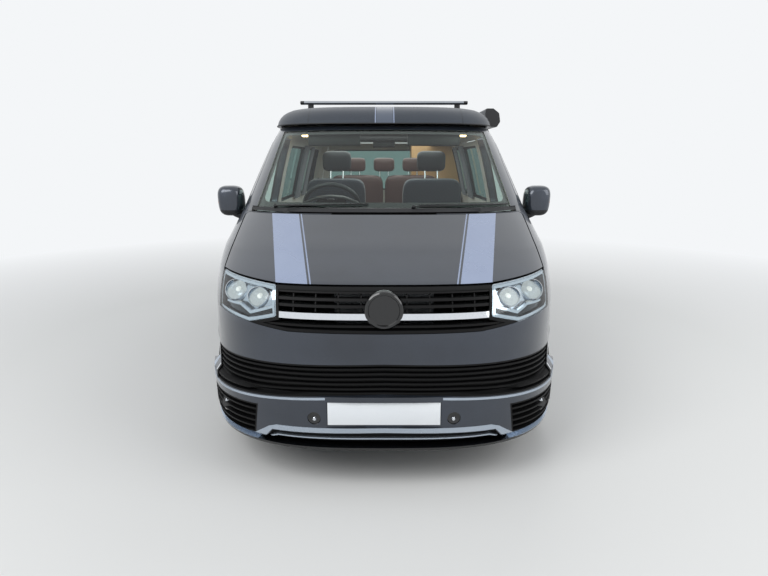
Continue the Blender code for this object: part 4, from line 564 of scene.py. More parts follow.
@dataclass
class Skin:
    """Outer surface of a lofted body, given by plan sections that are joined smoothly upwards."""

    rows: Sequence[Section]
    tail_datum: float = REAR_FACE
    creases: tuple[float, ...] = ()
    nose_steps: int = 26
    tail_steps: int = 12
    tail_power: float = 3.5
    pitch: float = 0.024
    heights: np.ndarray = field(init=False)
    table: dict = field(init=False)

    def __post_init__(self) -> None:
        """Works out the dense table of sections."""
        scale = (BODY_HEIGHT, HALF_WIDTH, CAB_LENGTH, HALF_WIDTH, 1.0, -HALF_WIDTH, HALF_WIDTH)
        real = np.array(self.rows) * np.array(scale)
        real[:, 5] += self.tail_datum
        knots = real[:, 0]
        self.heights = np.linspace(knots[0], knots[-1], 2 + int((knots[-1] - knots[0]) / 0.001))
        stops = [0, *[int(np.abs(np.array(self.rows)[:, 0] - c).argmin()) for c in self.creases], len(knots) - 1]
        self.table = {}
        for column, name in enumerate(Section._fields[1:], 1):
            values = np.zeros_like(self.heights)
            for low, high in zip(stops, stops[1:]):
                inside = (self.heights >= knots[low]) & (self.heights <= knots[high])
                part = slice(low, high + 1)
                values[inside] = monotone(knots[part], real[part, column], self.heights[inside])
            self.table[name] = values
        self.knots = knots

    def values(self, height: float | np.ndarray) -> list:
        """Every value of the section at a height, or at each of many heights."""
        return [np.interp(height, self.heights, self.table[name]) for name in Section._fields[1:]]

    def ring(self, height: float, inset: float = 0.0, lift: float = 0.0) -> list[Point3]:
        """Plan outline at a height, moved in by inset and placed at height plus lift.

        Args:
            height: Height of the section.
            inset: Distance inside the skin.
            lift: Distance that the points are raised.

        Returns:
            Points round the section.
        """
        width, nose, nose_depth, power, tail, tail_depth = self.values(height)
        half = []
        for steps, order, start, depth, bend in (
            (self.nose_steps, 1, nose + inset, nose_depth, power),
            (self.tail_steps, -1, tail - inset, -tail_depth, self.tail_power),
        ):
            for step in range(steps + 1)[::order]:
                angle = math.pi / 2 * step / steps
                across = math.sin(angle) ** (2 / bend)
                along = 1 - max(math.cos(angle), 0.0) ** (2 / bend)
                half.append(((width - inset) * across, station_y(start + depth * along)))
        outline = half + [(-x, y) for x, y in reversed(half[1:-1])]
        return [(x, y, height + lift) for x, y in outline]

    def solid(
        self, inset: float = 0.0, ends: float = 0.0, low: float | None = None, high: float | None = None
    ) -> Solid:
        """Solid inside the skin.

        Args:
            inset: Distance that the sides are moved in, or out where negative.
            ends: Distance that the flat ends are moved in, or out where negative.
            low: Height to start at, in place of the skin's own.
            high: Height to stop at, in place of the skin's own.

        Returns:
            The lofted solid.
        """
        bottom = self.knots[0] + ends if low is None else low
        top = self.knots[-1] - ends if high is None else high
        first, last = max(bottom, self.knots[0]), min(top, self.knots[-1])
        levels = {first, last, *[float(k) for k in self.knots if first < k < last]}
        ordered = sorted(levels)
        for one, two in zip(ordered, ordered[1:]):
            parts = math.ceil((two - one) / self.pitch)
            levels |= {one + (two - one) * part / parts for part in range(1, parts)}
        ordered = sorted(levels)
        rings = [self.ring(level, inset) for level in ordered]
        if bottom < first:
            rings.insert(0, self.ring(first, inset, bottom - first))
        if top > last:
            rings.append(self.ring(last, inset, top - last))
        return Solid.loft(rings)

    def wall(self, outer: float, inner: float, low: float | None = None, high: float | None = None) -> Solid:
        """Thin wall that follows the skin between two insets and two heights.

        Args:
            outer: Inset of its outer face.
            inner: Inset of its inner face.
            low: Lower end, or the skin's own.
            high: Upper end, or the skin's own.

        Returns:
            The wall.
        """
        made = self.solid(outer, 0.0, low, high)
        bottom = self.knots[0] if low is None else low
        top = self.knots[-1] if high is None else high
        return made.cut(self.solid(inner, 0.0, bottom - FAR, top + FAR))

    def level(self, places: np.ndarray) -> np.ndarray:
        """Level of each place: 1 on the skin, less inside it.

        Args:
            places: Places, one in a row.

        Returns:
            One level for each place.
        """
        z = np.clip(places[:, 2], self.knots[0], self.knots[-1])
        width, nose, depth, power, tail, tail_depth = self.values(z)
        along = places[:, 1] + LENGTH / 2
        across = np.abs(places[:, 0]) / width
        front = np.clip((nose + depth - along) / depth, 0, None)
        rear = np.clip((along - tail + tail_depth) / tail_depth, 0, None)
        by_nose = (across**power + front**power) ** (1 / power)
        by_tail = (across**self.tail_power + rear**self.tail_power) ** (1 / self.tail_power)
        return np.maximum(by_nose, by_tail)

    def normals(self, places: np.ndarray) -> np.ndarray:
        """Outward direction of the skin at each place.

        Args:
            places: Places, one in a row.

        Returns:
            One direction of length 1 for each place.
        """
        step = 0.001
        slopes = [self.level(places + offset) - self.level(places - offset) for offset in np.eye(3) * step]
        found = np.stack(slopes, axis=1)
        return found / np.maximum(np.linalg.norm(found, axis=1, keepdims=True), 1e-12)

    def half_width(self, station: float, height: float) -> float:
        """Half width of the skin at a station and a height.

        Args:
            station: Distance behind the nose.
            height: Height over the ground.

        Returns:
            Distance from the middle line.
        """
        height = min(max(height, float(self.knots[0])), float(self.knots[-1]))
        width, nose, depth, power, tail, tail_depth = self.values(height)
        front = min(max((station - nose) / depth, 0.0), 1.0)
        rear = min(max((tail - station) / tail_depth, 0.0), 1.0)
        by_nose = (1 - (1 - front) ** power) ** (1 / power)
        by_tail = (1 - (1 - rear) ** self.tail_power) ** (1 / self.tail_power)
        return width * min(by_nose, by_tail)

    def nose_station(self, across: float, height: float) -> float:
        """Station of the skin's front at a place across and a height.

        Args:
            across: Distance from the middle line.
            height: Height over the ground.

        Returns:
            Station of the skin.
        """
        width, nose, depth, power = self.values(height)[:4]
        share = min(abs(across) / width, 1.0)
        return nose + depth * (1 - (1 - share**power) ** (1 / power))

    def tail_station(self, across: float, height: float) -> float:
        """Station of the skin's back at a place across and a height.

        Args:
            across: Distance from the middle line.
            height: Height over the ground.

        Returns:
            Station of the skin.
        """
        width, _, _, _, tail, depth = self.values(height)
        share = min(abs(across) / width, 1.0)
        return tail - depth * (1 - (1 - share**self.tail_power) ** (1 / self.tail_power))


class Pattern(Enum):
    """How a finish's surface was made, which gives its grain."""

    FLAKE = "metal flake under lacquer"
    PEEL = "sprayed or moulded gloss"
    GRAIN = "leather grain of a mould"
    WEAVE = "crossed threads"
    BRUSHED = "drawn along X"
    TURNED = "turned or ground round"
    WOOD = "long fibres along Z"
    FLEECE = "needled felt"
    CAST = "rough cast or sprayed wax"


def linear(code: str) -> tuple[float, float, float, float]:
    """An sRGB hex colour as linear red, green, blue and alpha."""
    shares = [int(code[place:place + 2], 16) / 255 for place in (1, 3, 5)]
    return (*[s / 12.92 if s <= 0.04045 else ((s + 0.055) / 1.055) ** 2.4 for s in shares], 1.0)


def add_node(tree: bpy.types.NodeTree, kind: str, inputs: dict | None = None, **settings: object) -> bpy.types.Node:
    """Adds a node with its settings, values and links.

    Args:
        tree: Node tree of the material or world.
        kind: Blender's name of the node type.
        inputs: Socket name or number to a value, or to the output socket that feeds it.
        **settings: Attributes of the node.

    Returns:
        The node.
    """
    node = tree.nodes.new(kind)
    for name, value in settings.items():
        setattr(node, name, value)
    for name, value in (inputs or {}).items():
        if isinstance(value, bpy.types.NodeSocket):
            tree.links.new(value, node.inputs[name])
        else:
            node.inputs[name].default_value = value
    return node


@dataclass(frozen=True)
class Finish:
    """A surface finish: what it is made of, its two tones and its grain."""

    name: str
    tone: str
    second: str
    pattern: Pattern
    grain_mm: float
    roughness: tuple[float, float] = (0.4, 0.5)
    metallic: float = 0.0
    bump: float = 0.1
    coat: float = 0.0
    sheen: float = 0.0
    glow: float = 0.0
    specular: float = 0.5
    slot: str = "black_plastic"

    def _spots(self, tree: bpy.types.NodeTree, place: bpy.types.NodeSocket, scale: Point3) -> bpy.types.NodeSocket:
        """Cloudy noise, stretched by a scale for each axis.

        Args:
            tree: Node tree that it is added to.
            place: Socket with places in object space, in metres.
            scale: Noise cells in a metre along each axis.

        Returns:
            Socket with the noise.
        """
        mapping = add_node(tree, "ShaderNodeMapping", {"Vector": place, "Scale": scale})
        noise = add_node(
            tree, "ShaderNodeTexNoise", {"Vector": mapping.outputs[0], "Scale": 1.0, "Detail": 3.0, "Roughness": 0.6}
        )
        return noise.outputs["Fac"]

    def _threads(self, tree: bpy.types.NodeTree, place: bpy.types.NodeSocket, rate: float) -> bpy.types.NodeSocket:
        """Crossed waves of thread at a rate per metre.

        Args:
            tree: Node tree that it is added to.
            place: Socket with places in object space, in metres.
            rate: Threads in a metre.

        Returns:
            Socket with the weave.
        """
        waves = [
            add_node(
                tree, "ShaderNodeTexWave", {"Vector": place, "Scale": rate / 20, "Distortion": 0.4},
                bands_direction=direction,
            ).outputs["Fac"]
            for direction in ("DIAGONAL", "Z")
        ]
        return add_node(tree, "ShaderNodeMath", {0: waves[0], 1: waves[1]}, operation="MULTIPLY").outputs[0]

    def _height(self, tree: bpy.types.NodeTree, place: bpy.types.NodeSocket) -> bpy.types.NodeSocket:
        """Height of the finish's grain, from its size in millimetres.

        Args:
            tree: Node tree that it is added to.
            place: Socket with places in object space, in metres.

        Returns:
            Socket with the height.
        """
        rate = 1000 / self.grain_mm
        if self.pattern is Pattern.WEAVE:
            return self._threads(tree, place, rate)
        if self.pattern is Pattern.GRAIN:
            cells = add_node(tree, "ShaderNodeTexVoronoi", {"Vector": place, "Scale": rate}, feature="SMOOTH_F1")
            return cells.outputs["Distance"]
        stretch = {
            Pattern.BRUSHED: (rate / 60, rate, rate),
            Pattern.WOOD: (rate, rate, rate / 25),
            Pattern.TURNED: (rate, rate / 8, rate / 8),
        }.get(self.pattern, (rate, rate, rate))
        return self._spots(tree, place, stretch)

    def build(self) -> bpy.types.Material:
        """Makes the node material, or returns the one made before.

        Returns:
            The material, made once.
        """
        made = bpy.data.materials.get(self.name)
        if made:
            return made
        made = bpy.data.materials.new(self.name)
        made.use_nodes = True
        tree = made.node_tree
        shader = tree.nodes["Principled BSDF"]
        place = add_node(tree, "ShaderNodeTexCoord").outputs["Object"]
        height = self._height(tree, place)
        broad = self._spots(tree, place, (2.2, 2.2, 2.2))
        blend = add_node(tree, "ShaderNodeMath", {0: height, 1: broad}, operation="MULTIPLY")
        spread = add_node(
            tree, "ShaderNodeMapRange", {"Value": blend.outputs[0], "From Min": 0.1, "From Max": 0.45}
        )
        # A colour Mix node keeps its two colours in sockets 6 and 7
        colour = add_node(
            tree, "ShaderNodeMix", {0: spread.outputs[0], 6: linear(self.tone), 7: linear(self.second)},
            data_type="RGBA",
        )
        tree.links.new(colour.outputs[2], shader.inputs["Base Color"])
        low, high = self.roughness
        rough = add_node(
            tree, "ShaderNodeMapRange",
            {"Value": broad, "From Min": 0.3, "From Max": 0.7, "To Min": low, "To Max": high},
        )
        tree.links.new(rough.outputs[0], shader.inputs["Roughness"])
        bump = add_node(
            tree, "ShaderNodeBump",
            {"Height": height, "Strength": self.bump, "Distance": self.grain_mm * MM * 0.3},
        )
        tree.links.new(bump.outputs[0], shader.inputs["Normal"])
        shader.inputs["Metallic"].default_value = self.metallic
        shader.inputs["Specular IOR Level"].default_value = self.specular
        shader.inputs["Coat Weight"].default_value = self.coat
        shader.inputs["Coat Roughness"].default_value = 0.04
        shader.inputs["Sheen Weight"].default_value = self.sheen
        if self.glow:
            shader.inputs["Emission Color"].default_value = linear(self.tone)
            shader.inputs["Emission Strength"].default_value = self.glow
        return made


@dataclass(frozen=True)
class Pane:
    """Glass or clear plastic: it passes tinted light and mirrors by Fresnel."""

    name: str
    tint: str
    slot: str = "glass"

    def build(self) -> bpy.types.Material:
        """Makes the node material, or returns the one made before.

        Returns:
            The material, made once.
        """
        made = bpy.data.materials.get(self.name)
        if made:
            return made
        made = bpy.data.materials.new(self.name)
        made.use_nodes = True
        tree = made.node_tree
        tree.nodes.remove(tree.nodes["Principled BSDF"])
        place = add_node(tree, "ShaderNodeTexCoord").outputs["Object"]
        wave = add_node(tree, "ShaderNodeTexNoise", {"Vector": place, "Scale": 3.0, "Detail": 1.0})
        bump = add_node(
            tree, "ShaderNodeBump", {"Height": wave.outputs["Fac"], "Strength": 0.02, "Distance": 0.002}
        )
        mirror = add_node(
            tree, "ShaderNodeBsdfGlossy", {"Roughness": 0.0, "Normal": bump.outputs[0]}
        )
        clear = add_node(tree, "ShaderNodeBsdfTransparent", {"Color": linear(self.tint)})
        outer = add_node(tree, "ShaderNodeFresnel", {"IOR": 1.5})
        # Only faces that a ray enters by mirror, so light leaves the pane as freely as it came in
        inside = add_node(tree, "ShaderNodeNewGeometry").outputs["Backfacing"]
        front = add_node(tree, "ShaderNodeMath", {0: 1.0, 1: inside}, operation="SUBTRACT")
        share = add_node(tree, "ShaderNodeMath", {0: outer.outputs[0], 1: front.outputs[0]}, operation="MULTIPLY")
        mix = add_node(
            tree, "ShaderNodeMixShader", {0: share.outputs[0], 1: clear.outputs[0], 2: mirror.outputs[0]}
        )
        tree.links.new(mix.outputs[0], tree.nodes["Material Output"].inputs["Surface"])
        return made


# Metallic lacquer: fine flake gives a soft sparkle, the clear coat a sharp second gloss
BODY_LACQUER = Finish(
    "metallic_lacquer", "#2D323B", "#3C434F", Pattern.FLAKE, 2.0, (0.28, 0.36), 0.75, 0.03, 1.0, slot="body_paint"
)
# Painted gelcoat: long shallow waves and a soft spread highlight, duller than the body
ROOF_LACQUER = Finish(
    "gelcoat_lacquer", "#2B313A", "#363D47", Pattern.PEEL, 9.0, (0.40, 0.50), 0.20, 0.04, 0.15, slot="body_paint"
)
# Undercoat inside bonnet and wings: flat grey with a dusty edge
INNER_PAINT = Finish("undercoat_paint", "#2E3238", "#383D44", Pattern.PEEL, 4.0, (0.45, 0.6), 0.1, 0.08)
# Cast vinyl films: an even metallic tone that lies flat on the lacquer
STRIPE_FILM = Finish(
    "cast_vinyl_silver", "#8F9CB8", "#A2AEC8", Pattern.FLAKE, 2.0, (0.24, 0.32), 0.6, 0.03, 0.6, slot="aluminium"
)
DARK_FILM = Finish(
    "cast_vinyl_graphite", "#4E5766", "#596272", Pattern.FLAKE, 2.0, (0.28, 0.36), 0.5, 0.03, 0.6, slot="aluminium"
)
# Polished plastic: deep black with hard, clean reflections
GLOSS_BLACK = Finish("gloss_abs", "#07080A", "#0D0E11", Pattern.PEEL, 6.0, (0.10, 0.18), 0.0, 0.03, 0.5)
# Plain moulded plastic of grilles: dead black, so that slats read by their edges alone
MOULDED_BLACK = Finish("moulded_abs", "#050506", "#0A0A0B", Pattern.CAST, 3.0, (0.50, 0.62), 0.0, 0.06, specular=0.2)
# Leather-grained and satin plastics: dark grey that catches light in small cells
GRAINED_BLACK = Finish("grained_polypropylene", "#151618", "#202124", Pattern.GRAIN, 2.2, (0.48, 0.62), 0.0, 0.35)
SATIN_BLACK = Finish("satin_polyamide", "#0E0F11", "#17181A", Pattern.CAST, 3.0, (0.34, 0.46), 0.0, 0.10)
# Chrome: a bright mirror that bends the studio into thin lines
CHROME = Finish("chromed_abs", "#D9DDE2", "#E6E9EC", Pattern.PEEL, 12.0, (0.05, 0.10), 1.0, 0.02, slot="aluminium")
# Satin, drawn and powder-coated aluminium: streaks along X, or an even fine pebble
SATIN_SILVER = Finish(
    "satin_aluminium_trim", "#A9B4C2", "#BAC4CF", Pattern.BRUSHED, 1.2, (0.22, 0.32), 0.85, 0.05, slot="aluminium"
)
ANODISED = Finish(
    "anodised_aluminium", "#A3A8AE", "#B6BABF", Pattern.BRUSHED, 1.0, (0.26, 0.36), 1.0, 0.08, slot="chassis_steel"
)
CASSETTE = Finish("powder_coated_aluminium", "#4A4E54", "#575B61", Pattern.CAST, 2.5, (0.40, 0.50), 0.4, 0.08)
# Rubber of seals and tyres: near black with no gloss, the tyre a little browner and rougher
RUBBER = Finish("extruded_epdm", "#0B0B0C", "#141415", Pattern.CAST, 2.0, (0.65, 0.80), 0.0, 0.15)
TYRE_RUBBER = Finish("tyre_rubber", "#161617", "#232324", Pattern.CAST, 3.5, (0.72, 0.88), 0.0, 0.30)
# Lacquered alloy: silver flake under a clear coat, soft on the spokes and sharp at edges
ALLOY = Finish(
    "lacquered_cast_alloy", "#83888F", "#969BA2", Pattern.FLAKE, 2.0, (0.24, 0.34), 0.9, 0.03, 0.6, slot="aluminium"
)
# Ground disc and plated caliper: rings from the grinder, and a rough cast skin
DISC_IRON = Finish(
    "ground_cast_iron", "#6F7072", "#8B8B8C", Pattern.TURNED, 1.5, (0.30, 0.45), 1.0, 0.15, slot="chassis_steel"
)
CALIPER = Finish(
    "zinc_plated_iron", "#4B4C4F", "#5D5E60", Pattern.CAST, 4.0, (0.45, 0.60), 0.7, 0.30, slot="chassis_steel"
)
# Underside: sprayed wax with lumps, cast aluminium and dull coated steel
UNDERSEAL = Finish("underbody_wax", "#17181A", "#26272A", Pattern.CAST, 9.0, (0.55, 0.75), 0.0, 0.40)
CAST_BLOCK = Finish("cast_aluminium", "#66696C", "#7B7E80", Pattern.CAST, 5.0, (0.45, 0.60), 0.8, 0.35)
EXHAUST_STEEL = Finish("aluminised_steel", "#77756F", "#8F8B82", Pattern.CAST, 12.0, (0.35, 0.50), 0.9, 0.20)
# Headlining felt: pale, soft and without any gloss
LINING = Finish("needled_headlining", "#B9B7B0", "#CBC9C2", Pattern.FLEECE, 2.5, (0.85, 0.95), 0.0, 0.40, 0.0, 0.2)
# Seats: woven navy cloth with a soft rim of light, and grained hide with a low sheen
SEAT_CLOTH = Finish(
    "woven_seat_cloth", "#1D222D", "#2D3443", Pattern.WEAVE, 2.4, (0.75, 0.90), 0.0, 0.45, 0.0, 0.3, slot="seat_cloth"
)
SEAT_HIDE = Finish(
    "grained_leatherette", "#1B1D22", "#282B31", Pattern.GRAIN, 2.6, (0.42, 0.55), 0.0, 0.35, slot="seat_cloth"
)
BENCH_HIDE = Finish(
    "tan_leatherette", "#4A3432", "#5C423E", Pattern.GRAIN, 2.6, (0.42, 0.55), 0.0, 0.35, slot="seat_cloth"
)
# Furniture: oak with upright fibres, speckled stone laminate and streaked steel
OAK = Finish("oak_laminate", "#B98B57", "#D2A673", Pattern.WOOD, 7.0, (0.32, 0.44), 0.0, 0.12, slot="wood")
WORKTOP = Finish("stone_laminate", "#55585C", "#6C6F72", Pattern.CAST, 3.0, (0.30, 0.42), 0.0, 0.05, slot="wood")
STAINLESS = Finish(
    "brushed_stainless", "#B5B7B8", "#C7C8C9", Pattern.BRUSHED, 0.8, (0.22, 0.34), 1.0, 0.10, slot="aluminium"
)
# Floor: embossed planks of brown vinyl
VINYL_FLOOR = Finish("embossed_vinyl_floor", "#5A5247", "#6E6558", Pattern.WOOD, 14.0, (0.42, 0.55), 0.0, 0.20)
# Curtains, canvas and belts: crossed threads that break up the light
CURTAIN = Finish(
    "dimout_curtain", "#6E7279", "#858A91", Pattern.WEAVE, 1.8, (0.85, 0.95), 0.0, 0.30, 0.0, 0.3, slot="seat_cloth"
)
CANVAS = Finish(
    "acrylic_canvas", "#5E646D", "#70767F", Pattern.WEAVE, 2.0, (0.80, 0.92), 0.0, 0.40, 0.0, 0.2, slot="canvas"
)
BELT_WEB = Finish(
    "polyester_webbing", "#141518", "#202226", Pattern.WEAVE, 1.5, (0.60, 0.75), 0.0, 0.30, slot="seat_cloth"
)
# Blank plates: clean and bright under a thin clear coat
WHITE_PLATE = Finish(
    "reflective_acrylic_white", "#E4E8EC", "#EEF1F3", Pattern.PEEL, 3.0, (0.18, 0.26), 0.0, 0.02, 0.3, slot="aluminium"
)
YELLOW_PLATE = Finish(
    "reflective_acrylic_yellow", "#E0B62C", "#EAC544", Pattern.PEEL, 3.0, (0.18, 0.26), 0.0, 0.02, 0.3, slot="aluminium"
)
# Lamp parts: mirrored bowls, frosted bulbs that glow a little, and one warm reading light
REFLECTOR = Finish(
    "vapour_metallised_bowl", "#C9CED4", "#DADEE2", Pattern.PEEL, 8.0, (0.10, 0.18), 1.0, 0.03, slot="aluminium"
)
BULB = Finish(
    "frosted_lamp_glass", "#F4F1E6", "#FFFDF4", Pattern.PEEL, 5.0, (0.20, 0.30), 0.0, 0.02, 0.0, 0.0, 0.6,
    slot="lamp_lens",
)
WARM_SPOT = Finish(
    "warm_led_diffuser", "#FFD9A0", "#FFE4B8", Pattern.PEEL, 5.0, (0.30, 0.40), 0.0, 0.02, 0.0, 0.0, 6.0,
    slot="lamp_lens",
)
# Coloured lenses: clear gloss over a deep tone
RED_LENS = Finish(
    "red_acrylic", "#7A0A0C", "#970F12", Pattern.PEEL, 9.0, (0.08, 0.14), 0.0, 0.04, 0.6, slot="red_lens"
)
AMBER_LENS = Finish(
    "amber_acrylic", "#B4560C", "#CB6A14", Pattern.PEEL, 9.0, (0.08, 0.14), 0.0, 0.04, 0.6, slot="red_lens"
)
SMOKED_LENS = Finish(
    "smoked_acrylic", "#B9B4B6", "#C8C3C5", Pattern.PEEL, 9.0, (0.08, 0.14), 0.0, 0.04, 0.6, slot="red_lens"
)
# Glass: a green tint, darker behind the doors, with a clear lens over the headlamps
SCREEN_GLASS = Pane("laminated_green_glass", "#F1F8F5")
DOOR_GLASS = Pane("toughened_green_glass", "#E6F0ED")
DARK_GLASS = Pane("tinted_rear_glass", "#A9BAB8")
CLEAR_LENS = Pane("hard_coated_polycarbonate", "#F2F6F8", slot="lamp_lens")


def dress(
    solid: Solid | bpy.types.Object,
    name: str,
    finish: Finish | Pane,
    body: str = "root",
    stands_for: Sequence[str] = (),
    skin: Skin | None = None,
    lining: Finish | None = None,
    crease: float = 32.0,
) -> bpy.types.Object:
    """Names, smooths, paints and fits a piece.

    Args:
        solid: The solid, or an object made another way.
        name: Piece name.
        finish: Its material.
        body: The frame body that it rides on, or nothing for a piece that is left unattached.
        stands_for: CAD nodes that it is shown in place of.
        skin: Surface whose own directions shade the faces that follow it.
        lining: Second material, for faces that look into the cabin.
        crease: Angle in degrees above which an edge stays sharp.

    Returns:
        The finished object.
    """
    made = solid.made if isinstance(solid, Solid) else solid
    made.name = name
    made.data.name = name
    made.data.materials.clear()
    made.data.materials.append(finish.build())
    if lining:
        made.data.materials.append(lining.build())
    if isinstance(solid, Solid):
        shade(made, skin, bool(lining), crease)
    if body:
        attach(made, body)
    if stands_for:
        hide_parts(*stands_for)
    LOG.info("piece %s: %d faces", name, len(made.data.polygons))
    return made


def shade(made: bpy.types.Object, skin: Skin | None, lined: bool, crease: float) -> None:
    """Shades smooth between creases, by the skin's own directions where faces follow it.

    Args:
        made: The piece.
        skin: Surface that it follows, if it has one.
        lined: Whether faces that look inwards take the second material.
        crease: Angle in degrees above which an edge stays sharp.
    """
    mesh = made.data
    mesh.polygons.foreach_set("use_smooth", [True] * len(mesh.polygons))
    mesh.set_sharp_from_angle(angle=math.radians(crease))
    if skin is None:
        return
    count = len(mesh.loops)
    corners = np.empty(count * 3)
    mesh.corner_normals.foreach_get("vector", corners)
    corners = corners.reshape(-1, 3)
    places = np.empty(len(mesh.vertices) * 3)
    mesh.vertices.foreach_get("co", places)
    places = places.reshape(-1, 3)
    verts = np.empty(count, int)
    mesh.loops.foreach_get("vertex_index", verts)
    faces = np.empty(len(mesh.polygons) * 3)
    mesh.polygons.foreach_get("normal", faces)
    faces = faces.reshape(-1, 3)
    sizes = np.empty(len(mesh.polygons), int)
    mesh.polygons.foreach_get("loop_total", sizes)
    owner = np.repeat(np.arange(len(sizes)), sizes)
    directions = skin.normals(places)[verts]
    agreement = (directions * faces[owner]).sum(axis=1)
    follows = np.abs(agreement) > math.cos(math.radians(11))
    corners[follows] = directions[follows] * np.sign(agreement[follows])[:, None]
    mesh.normals_split_custom_set(corners.tolist())
    if lined:
        inward = np.zeros(len(sizes))
        np.add.at(inward, owner, agreement)
        slots = (inward / sizes < -0.3).astype(int)
        mesh.polygons.foreach_set("material_index", slots)


# Shares of: body height, half width, cab length, half width, (exponent), half width, half width
BODY_ROWS = (
    Section(0.111, 0.935, 0.051, 1.100, 3.0, 0.074, 0.26),
    Section(0.167, 0.972, 0.029, 1.155, 3.0, 0.042, 0.26),
    Section(0.250, 0.987, 0.022, 1.155, 3.0, 0.010, 0.26),
    Section(0.344, 0.996, 0.0205, 1.155, 3.0, 0.000, 0.26),
    Section(0.444, 1.000, 0.0285, 1.155, 3.0, 0.000, 0.26),
    Section(0.500, 0.998, 0.041, 1.155, 3.0, 0.003, 0.26),
    Section(0.525, 0.996, 0.0535, 1.155, 3.0, 0.004, 0.26),
    Section(0.539, 0.995, 0.0715, 1.100, 3.0, 0.005, 0.26),
    Section(0.556, 0.994, 0.105, 1.000, 3.0, 0.005, 0.26),
    Section(0.594, 0.991, 0.183, 0.860, 3.0, 0.006, 0.26),
    Section(0.611, 0.982, 0.2165, 0.820, 3.0, 0.008, 0.26),
    Section(0.644, 0.966, 0.286, 0.715, 3.0, 0.012, 0.26),
    Section(0.692, 0.945, 0.382, 0.630, 3.0, 0.021, 0.26),
    Section(0.833, 0.883, 0.520, 0.650, 3.0, 0.074, 0.26),
    Section(0.968, 0.807, 0.652, 0.650, 3.0, 0.137, 0.26),
    Section(0.983, 0.793, 0.674, 0.630, 3.0, 0.158, 0.26),
    Section(0.994, 0.767, 0.699, 0.600, 3.0, 0.189, 0.25),
    Section(1.000, 0.725, 0.728, 0.565, 3.0, 0.231, 0.23),
)
BUMPER_ROWS = (
    Section(0.1160, 0.997, 0.0100, 1.120, 3.0, 0.622, 0.26),
    Section(0.1230, 1.000, 0.0085, 1.120, 3.0, 0.622, 0.26),
    Section(0.1270, 0.986, 0.0250, 1.100, 3.0, 0.622, 0.26),
    Section(0.1450, 1.008, 0.0030, 1.120, 3.0, 0.622, 0.26),
    Section(0.2500, 1.012, 0.0000, 1.120, 3.0, 0.622, 0.26),
    Section(0.2680, 1.012, 0.0000, 1.120, 3.0, 0.622, 0.26),
    Section(0.2710, 0.990, 0.0120, 1.155, 3.0, 0.622, 0.26),
    Section(0.3440, 0.995, 0.0205, 1.155, 3.0, 0.622, 0.26),
    Section(0.4250, 0.997, 0.0250, 1.155, 3.0, 0.622, 0.26),
    Section(0.4700, 0.997, 0.0335, 1.155, 3.0, 0.622, 0.26),
)
REAR_BUMPER_ROWS = (
    Section(0.1330, 1.000, 1.0, 0.20, 3.0, 0.040, 0.26),
    Section(0.2200, 1.016, 1.0, 0.20, 3.0, 0.000, 0.26),
    Section(0.2900, 1.018, 1.0, 0.20, 3.0, 0.002, 0.26),
    Section(0.3110, 1.012, 1.0, 0.20, 3.0, 0.018, 0.26),
)
LID_ROWS = (
    Section(0.984, 0.818, 0.652, 0.660, 3.0, 0.134, 0.26),
    Section(1.004, 0.812, 0.665, 0.650, 3.0, 0.142, 0.26),
    Section(1.030, 0.785, 0.692, 0.640, 3.0, 0.165, 0.26),
    Section(1.050, 0.735, 0.740, 0.620, 3.0, 0.210, 0.25),
    Section(1.064, 0.670, 0.850, 0.590, 3.0, 0.300, 0.23),
    Section(1.076, 0.560, 1.050, 0.500, 3.0, 0.480, 0.20),
)
COWL_CREASE = 0.692
BUMPER_CREASES = (0.123, 0.127, 0.268, 0.271)
BUMPER_BACK = 0.620
LID_REAR = 4.590
LID_REAR_ROOM = 0.010
LID_LOW_CUT = 0.006
LID_WALL = 0.022
SILL_BOTTOM = 0.256
SILL_TOP = 0.30
RAIL = 1.735
DOOR_FRONT = 1.175
DOOR_REAR = 2.235
POST_WIDTH = 0.067
PILLAR_WIDTH = 0.067
SLIDING_DOOR_LENGTH = 1.09
DOOR_DRAFT = 0.018
DOOR_CORNER = 0.030
WINDOW_CORNER = 0.045
ARCH_STRIP = 0.065
COWL_LOW = 1.248
GLASS_DEPTH = 0.004
GLASS_THICKNESS = 0.006
FOLLOW_STEP = 0.08
LAMP_BACK = 0.56
GRILLE_BACK = 0.60
NOSE_BAND = (0.72, 1.0)
LAMP_BAND = (0.72, 1.02)
LOWER_BAND = (0.215, 0.315)
TAIL_LAMP_FRONT = 4.66

# Front-view half outlines, as (across, height) in millimetres
LAMP_OUTLINE = metres([(509, 965), (836, 986), (842, 810), (641, 791), (501, 830)])
GRILLE_OUTLINE = metres([(0, 965), (509, 965), (501, 830), (641, 791), (450, 769), (0, 766)])
BUMPER_TOP_LINE = metres([(0, 766), (450, 769), (641, 791), (842, 810), (1250, 800)])
BONNET_LOW_LINE = metres([(0, 965), (509, 965), (836, 986), (1250, 986)])
SCREEN_OUTLINE = metres([(0, 1270), (765, 1267), (682, 1728), (0, 1733)])
TAILGATE_OUTLINE = metres([(0, 580), (795, 580), (800, 1100), (650, 1735), (0, 1735)])
TAIL_SCREEN_OUTLINE = metres([(700, 1180), (610, 1660)])
TAIL_LAMP_OUTLINE = metres([(806, 930), (1250, 930), (1250, 1330), (790, 1330)])

# Side-view outlines, as (station, height) in millimetres
DOOR_UPPER = metres([(2235, 300), (2235, 1705), (1735, 1705), (1175, 1280)])
DOOR_WINDOW = metres([(1240, 1200), (2180, 1200), (2180, 1655), (1745, 1655), (1240, 1272)])
SLIDING_WINDOW = metres([(2370, 1200), (3325, 1200), (3325, 1655), (2370, 1655)])
QUARTER_WINDOW = metres([(3520, 1200), (4480, 1200), (4370, 1655), (3520, 1655)])


